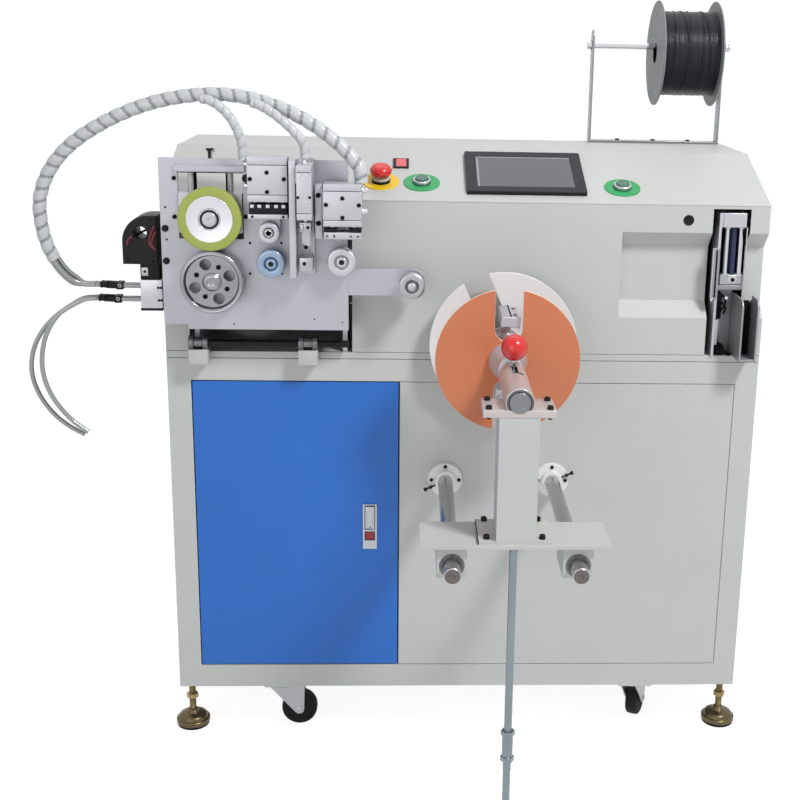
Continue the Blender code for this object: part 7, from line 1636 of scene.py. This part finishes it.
# %% Spool
SPOOL_LEFT, SPOOL_Y, SPOOL_Z, SPOOL_WIDTH = 0.864, 0.386, 1.1998, 0.111
RIM, WOUND, SPOOL_BORE = 0.096, 0.0775, 0.0185
centre = (SPOOL_LEFT, SPOOL_Y, SPOOL_Z)
spool = bmesh.new()
for start in (0.0, SPOOL_WIDTH - 0.003):
    flange = [(SPOOL_BORE, start), (RIM - 0.001, start), (RIM, start + 0.0008), (RIM, start + 0.0022),
              (RIM - 0.001, start + 0.003), (0.070, start + 0.003)]
    lathe(spool, flange, centre, RIGHTWARD, 128, 0)
# The bore takes near-black: painted shade inside the spool's bore.
lathe(spool, [(SPOOL_BORE, 0.0), (SPOOL_BORE, SPOOL_WIDTH)], centre, RIGHTWARD, 48, 2)
lathe(spool, [(SPOOL_BORE, -0.0004), (SPOOL_BORE + 0.005, -0.0004), (SPOOL_BORE + 0.0056, 0.0002)], centre, RIGHTWARD,
      64, 0)
PITCH, TURNS = 0.0030, 35
wound = []
for turn in range(TURNS):
    sag = 0.0006 * math.sin(turn * 1.7) + 0.0004 * math.sin(turn * 0.61)
    for part, depth in ((0.0, -0.0006), (0.22, -0.0001), (0.5, 0.0), (0.78, -0.0001)):
        wound.append((WOUND - 0.0006 + sag * 0.5 + depth, 0.003 + PITCH * (turn + part)))
lathe(spool, wound + [(WOUND - 0.0012, SPOOL_WIDTH - 0.003)], centre, RIGHTWARD, 128, 1)
for start, end, first, last in ((0.020, 0.034, 150, 330), (0.044, 0.058, 120, 300), (0.050, 0.041, 170, 290),
                                (0.070, 0.086, 140, 320), (0.090, 0.080, 160, 280)):
    path = []
    for step in range(25):
        t = step / 24
        angle = math.radians(first + (last - first) * t)
        path.append((SPOOL_LEFT + start + (end - start) * t, SPOOL_Y + WOUND * math.cos(angle),
                     SPOOL_Z - WOUND * math.sin(angle)))
    tube(spool, path, 0.0009, 8, 1)
place(spool, "wire_spool.wound", "spool", spool_grey, wire_black, shade_and_wire_black, slot="black_plastic",
      instead=["wire_spool"])
print("wire lies in", TURNS, "turns per layer")

# %% Bracket with its rod
bracket = bmesh.new()
BASE, TIP, ROD_Z = 1.0333, 1.2280, 1.212
for left in (0.743, 0.9885):
    side = [(0.374, BASE), (0.398, BASE)] + circle((SPOOL_Y, TIP), 0.012, 16, 0, 180)
    plate(bracket, side, left, left + 0.004, "YZ", (), 0.0005, 0)
block(bracket, (0.7432, 0.3742, BASE + 0.0001), (0.9923, 0.3978, BASE + 0.0040), 0.0006, 0)
rod = [(0.0, 0.0), (0.0068, 0.0), (0.0075, 0.0006), (0.0075, 0.0054), (0.0068, 0.0060), (0.0060, 0.0062),
       (0.0060, 0.2668), (0.0068, 0.2670),
       (0.0075, 0.2676), (0.0075, 0.2724), (0.0068, 0.2730), (0.0, 0.2730)]
lathe(bracket, rod, (0.734, SPOOL_Y, ROD_Z), RIGHTWARD, 48, 1)
for x in (0.7995, 0.8680, 0.9360):
    cap_screw(bracket, (x, SPOOL_Y, BASE + 0.0040), UP, 0.0042, 0.0026, 2, 3)
for x in (0.7398, 0.9957):
    lathe(bracket, round_edges([(0.0062, 0.0), (0.0088, 0.0), (0.0088, 0.0032), (0.0062, 0.0032)], 0.0006),
          (x, SPOOL_Y, ROD_Z), RIGHTWARD, 32, 1)
place(bracket, "spool_bracket.frame", "machine", bracket_steel, chrome, black_oxide, shade_and_wire_black, slot="painted_grey",
      instead=["spool_bracket"])
print("bracket stands", round((TIP + 0.012 - BASE) * 1000), "mm high")

# %% [markdown]
# ## Feet and casters
# The machine stands on four levelling feet, and its casters hang just clear of the floor. A
# foot is a threaded stud with a lock nut over a stepped pad with a rubber sole. A caster is a
# pressed fork with a moulded wheel. The studs really are threaded here, because a smooth pin
# under a machine looks like a toy's.

# %% Levelling feet
for corner, x, y in (("front_left", 0.016, 0.030), ("front_right", 0.984, 0.030), ("rear_left", 0.016, 0.370),
                     ("rear_right", 0.984, 0.370)):
    foot = bmesh.new()
    lathe(foot, [(0.0, 0.0), (0.0272, 0.0), (0.0286, 0.0012), (0.0288, 0.0052), (0.0280, 0.0060)], (x, y, 0.0), UP,
          64, 1)
    pad = [(0.0280, 0.0060), (0.0300, 0.0062), (0.0300, 0.0128), (0.0288, 0.0140), (0.0262, 0.0144), (0.0258, 0.0165),
           (0.0240, 0.0200), (0.0205, 0.0222),
           (0.0150, 0.0234), (0.0112, 0.0238), (0.0108, 0.0262), (0.0095, 0.0275), (0.0092, 0.0300), (0.0066, 0.0318),
           (0.0056, 0.0325)]
    lathe(foot, pad, (x, y, 0.0), UP, 64, 0)
    thread = []
    for turn in range(36):
        low = 0.0325 + 0.0016 * turn
        thread += [(0.0052, low), (0.0060, low + 0.0008)]
    lathe(foot, thread + [(0.0052, 0.0900), (0.0052, 0.1120), (0.0, 0.1120)], (x, y, 0.0), UP, 32, 0)
    nut = [(0.0061, 0.0), (0.0088, 0.0), (0.0105, 0.0010), (0.0105, 0.0090), (0.0088, 0.0100), (0.0061, 0.0100)]
    lathe(foot, nut, (x, y, 0.0520), UP, 6, 2)
    place(foot, "levelling_foot_" + corner + ".turned", "machine", bronze_metal, black_rubber, worn_zinc,
          slot="yellow_zinc",
          instead=["levelling_foot_" + corner])
print("four feet are turned")

# %% Caster wheels and rivets
SWIVELS = {"front_left": (0.180, 0.030, 0.0), "front_right": (0.820, 0.030, 65.0), "rear_left": (0.180, 0.370, 200.0),
           "rear_right": (0.820, 0.370, 155.0)}
TRAIL, AXLE_HEIGHT = 0.030, 0.035
for corner, (x, y, turn) in SWIVELS.items():
    angle = math.radians(turn)
    middle = Vector((x + TRAIL * math.cos(angle), y + TRAIL * math.sin(angle), AXLE_HEIGHT))
    axle = Vector((-math.sin(angle), math.cos(angle), 0.0))
    wheel = bmesh.new()
    tread = [(0.0045, 0.0118), (0.0100, 0.0118), (0.0108, 0.0108), (0.0235, 0.0100), (0.0245, 0.0112),
             (0.0290, 0.0108), (0.0312, 0.0090), (0.0320, 0.0055)]
    whole = tread + [(radius, -height) for radius, height in tread[::-1]]
    lathe(wheel, whole, middle, axle, 72, 0)
    # The bore takes near-black: painted shade round the axle.
    lathe(wheel, [(0.0045, 0.0118), (0.0045, -0.0118)], middle, axle, 32, 1)
    place(wheel, "caster_wheel_" + corner + ".tyre", "wheel_" + corner, black_rubber, shade_and_wire_black, slot="black_rubber",
          instead=["caster_wheel_" + corner])
    rivets = bmesh.new()
    for way in (1, -1):
        lathe(rivets, [(0.0058, -0.0004), (0.0058, 0.0006), (0.0040, 0.0016), (0.0026, 0.0012), (0.0, 0.0010)],
              middle + axle * way * 0.0160, axle * way, 28, 0)
    ring = [(0.0245, 0.0), (0.0250, 0.0012), (0.0232, 0.0026), (0.0160, 0.0032)]
    lathe(rivets, ring, (x, y, 0.0828), UP, 48, 1)
    place(rivets, "caster_fork_" + corner + ".rivets", "caster_" + corner, milled_steel, worn_zinc, slot="steel")
print("four casters have their wheels")

# %% [markdown]
# ## Back of the cabinet
# The back is one folded sheet per box, screwed on round its edge so that it comes off for
# service. The photograph doesn't show it, so it stays plain: only the screws and the slots are
# there.

# %% Screws of the rear sheets
back_screws = bmesh.new()
REAR_FACE = 0.400
spots = [(x, z) for x in (0.030, 0.265, 0.500, 0.735, 0.970) for z in (0.118, 0.668, 0.738, 1.008)]
spots += [(x, z) for z in (0.300, 0.485) for x in (0.030, 0.970)]
for x, z in spots:
    button_screw(back_screws, (x, REAR_FACE, z), (0, 1, 0), radius=0.0048, height=0.0022, finish=0, pit=1)
place(back_screws, "cabinet.back_screws", "machine", milled_steel, shade_and_wire_black, slot="steel")
print("the rear sheets have their screws")

# %% [markdown]
# ## Floor, light and background
# The picture shows the machine on plain white with soft light from the upper right. The floor
# is a big pale sheet without a wall, so the machine can be walked round. Its own colour is kept
# white for the camera by a share of light of its own, while the rest of it still takes a soft
# shadow, so the machine stands on something. Brighter lamps would also give a white floor, but
# would burn out the pale paint.

# %% Floor
FLOOR_REACH = 14.0


def seen_directly(tree):
    """1 for rays that show a thing to the camera, in a mirror or through glass, and 0 for all others."""
    rays = add(tree, "ShaderNodeLightPath").outputs
    seen = maths(tree, "MAXIMUM", rays["Is Camera Ray"], rays["Is Glossy Ray"])
    return maths(tree, "MAXIMUM", seen, rays["Is Transmission Ray"])


floor_mesh = bmesh.new()
corners = [floor_mesh.verts.new((x, y, 0.0)) for x in (-FLOOR_REACH, FLOOR_REACH) for y in (-FLOOR_REACH,
                                                                                            FLOOR_REACH)]
floor_mesh.faces.new([corners[k] for k in (0, 1, 3, 2)])
floor_data = bpy.data.meshes.new("floor")
floor_mesh.to_mesh(floor_data)
floor_mesh.free()
for polygon in floor_data.polygons:
    polygon.use_smooth = True
floor = bpy.data.objects.new("floor", floor_data)
bpy.context.scene.collection.objects.link(floor)
white_floor = bpy.data.materials.new("white floor")
white_floor.use_nodes = True
tree = white_floor.node_tree
tree.nodes.remove(tree.nodes["Principled BSDF"])
matt = add(tree, "ShaderNodeBsdfDiffuse", [("Color", (0.90, 0.90, 0.90, 1))])
glow = add(tree, "ShaderNodeEmission", [("Color", (1, 1, 1, 1)), ("Strength", 1.47)])
share = maths(tree, "MULTIPLY", seen_directly(tree), 0.60)
mixed = add(tree, "ShaderNodeMixShader", [(0, share), (1, matt.outputs[0]), (2, glow.outputs[0])])
tree.links.new(mixed.outputs[0], tree.nodes["Material Output"].inputs["Surface"])
floor_data.materials.append(white_floor)
print("the floor is", 2 * FLOOR_REACH, "m deep")

# %% Sky and lamps
world = bpy.data.worlds.new("studio")
bpy.context.scene.world = world
world.use_nodes = True
tree = world.node_tree
sky = tree.nodes["Background"]
strength = add(tree, "ShaderNodeMapRange", [("Value", seen_directly(tree)), ("To Min", 0.33), ("To Max", 1.06)])
sky.inputs["Color"].default_value = (1, 1, 1, 1)
tree.links.new(strength.outputs["Result"], sky.inputs["Strength"])


def lamp(name, place, target, size, power):
    data = bpy.data.lights.new(name, "AREA")
    data.shape = "RECTANGLE"
    data.size, data.size_y = size
    data.energy = power
    light = bpy.data.objects.new(name, data)
    bpy.context.scene.collection.objects.link(light)
    light.location = place
    light.rotation_euler = (Vector(target) - Vector(place)).to_track_quat("-Z", "Y").to_euler()
    return light


lamp("key", (1.45, -1.65, 3.1), (0.0, 0.0, 0.6), (0.55, 0.55), 70.0)
lamp("fill", (-1.6, -3.2, 1.5), (0.0, 0.0, 0.6), (2.6, 2.0), 22.0)
lamp("top", (0.2, 0.6, 3.2), (0.0, 0.1, 0.9), (2.2, 1.6), 8.0)
print("three lamps stand round the machine")

# %% View settings
bpy.context.scene.view_settings.view_transform = "Standard"
print("view transform:", bpy.context.scene.view_settings.view_transform)
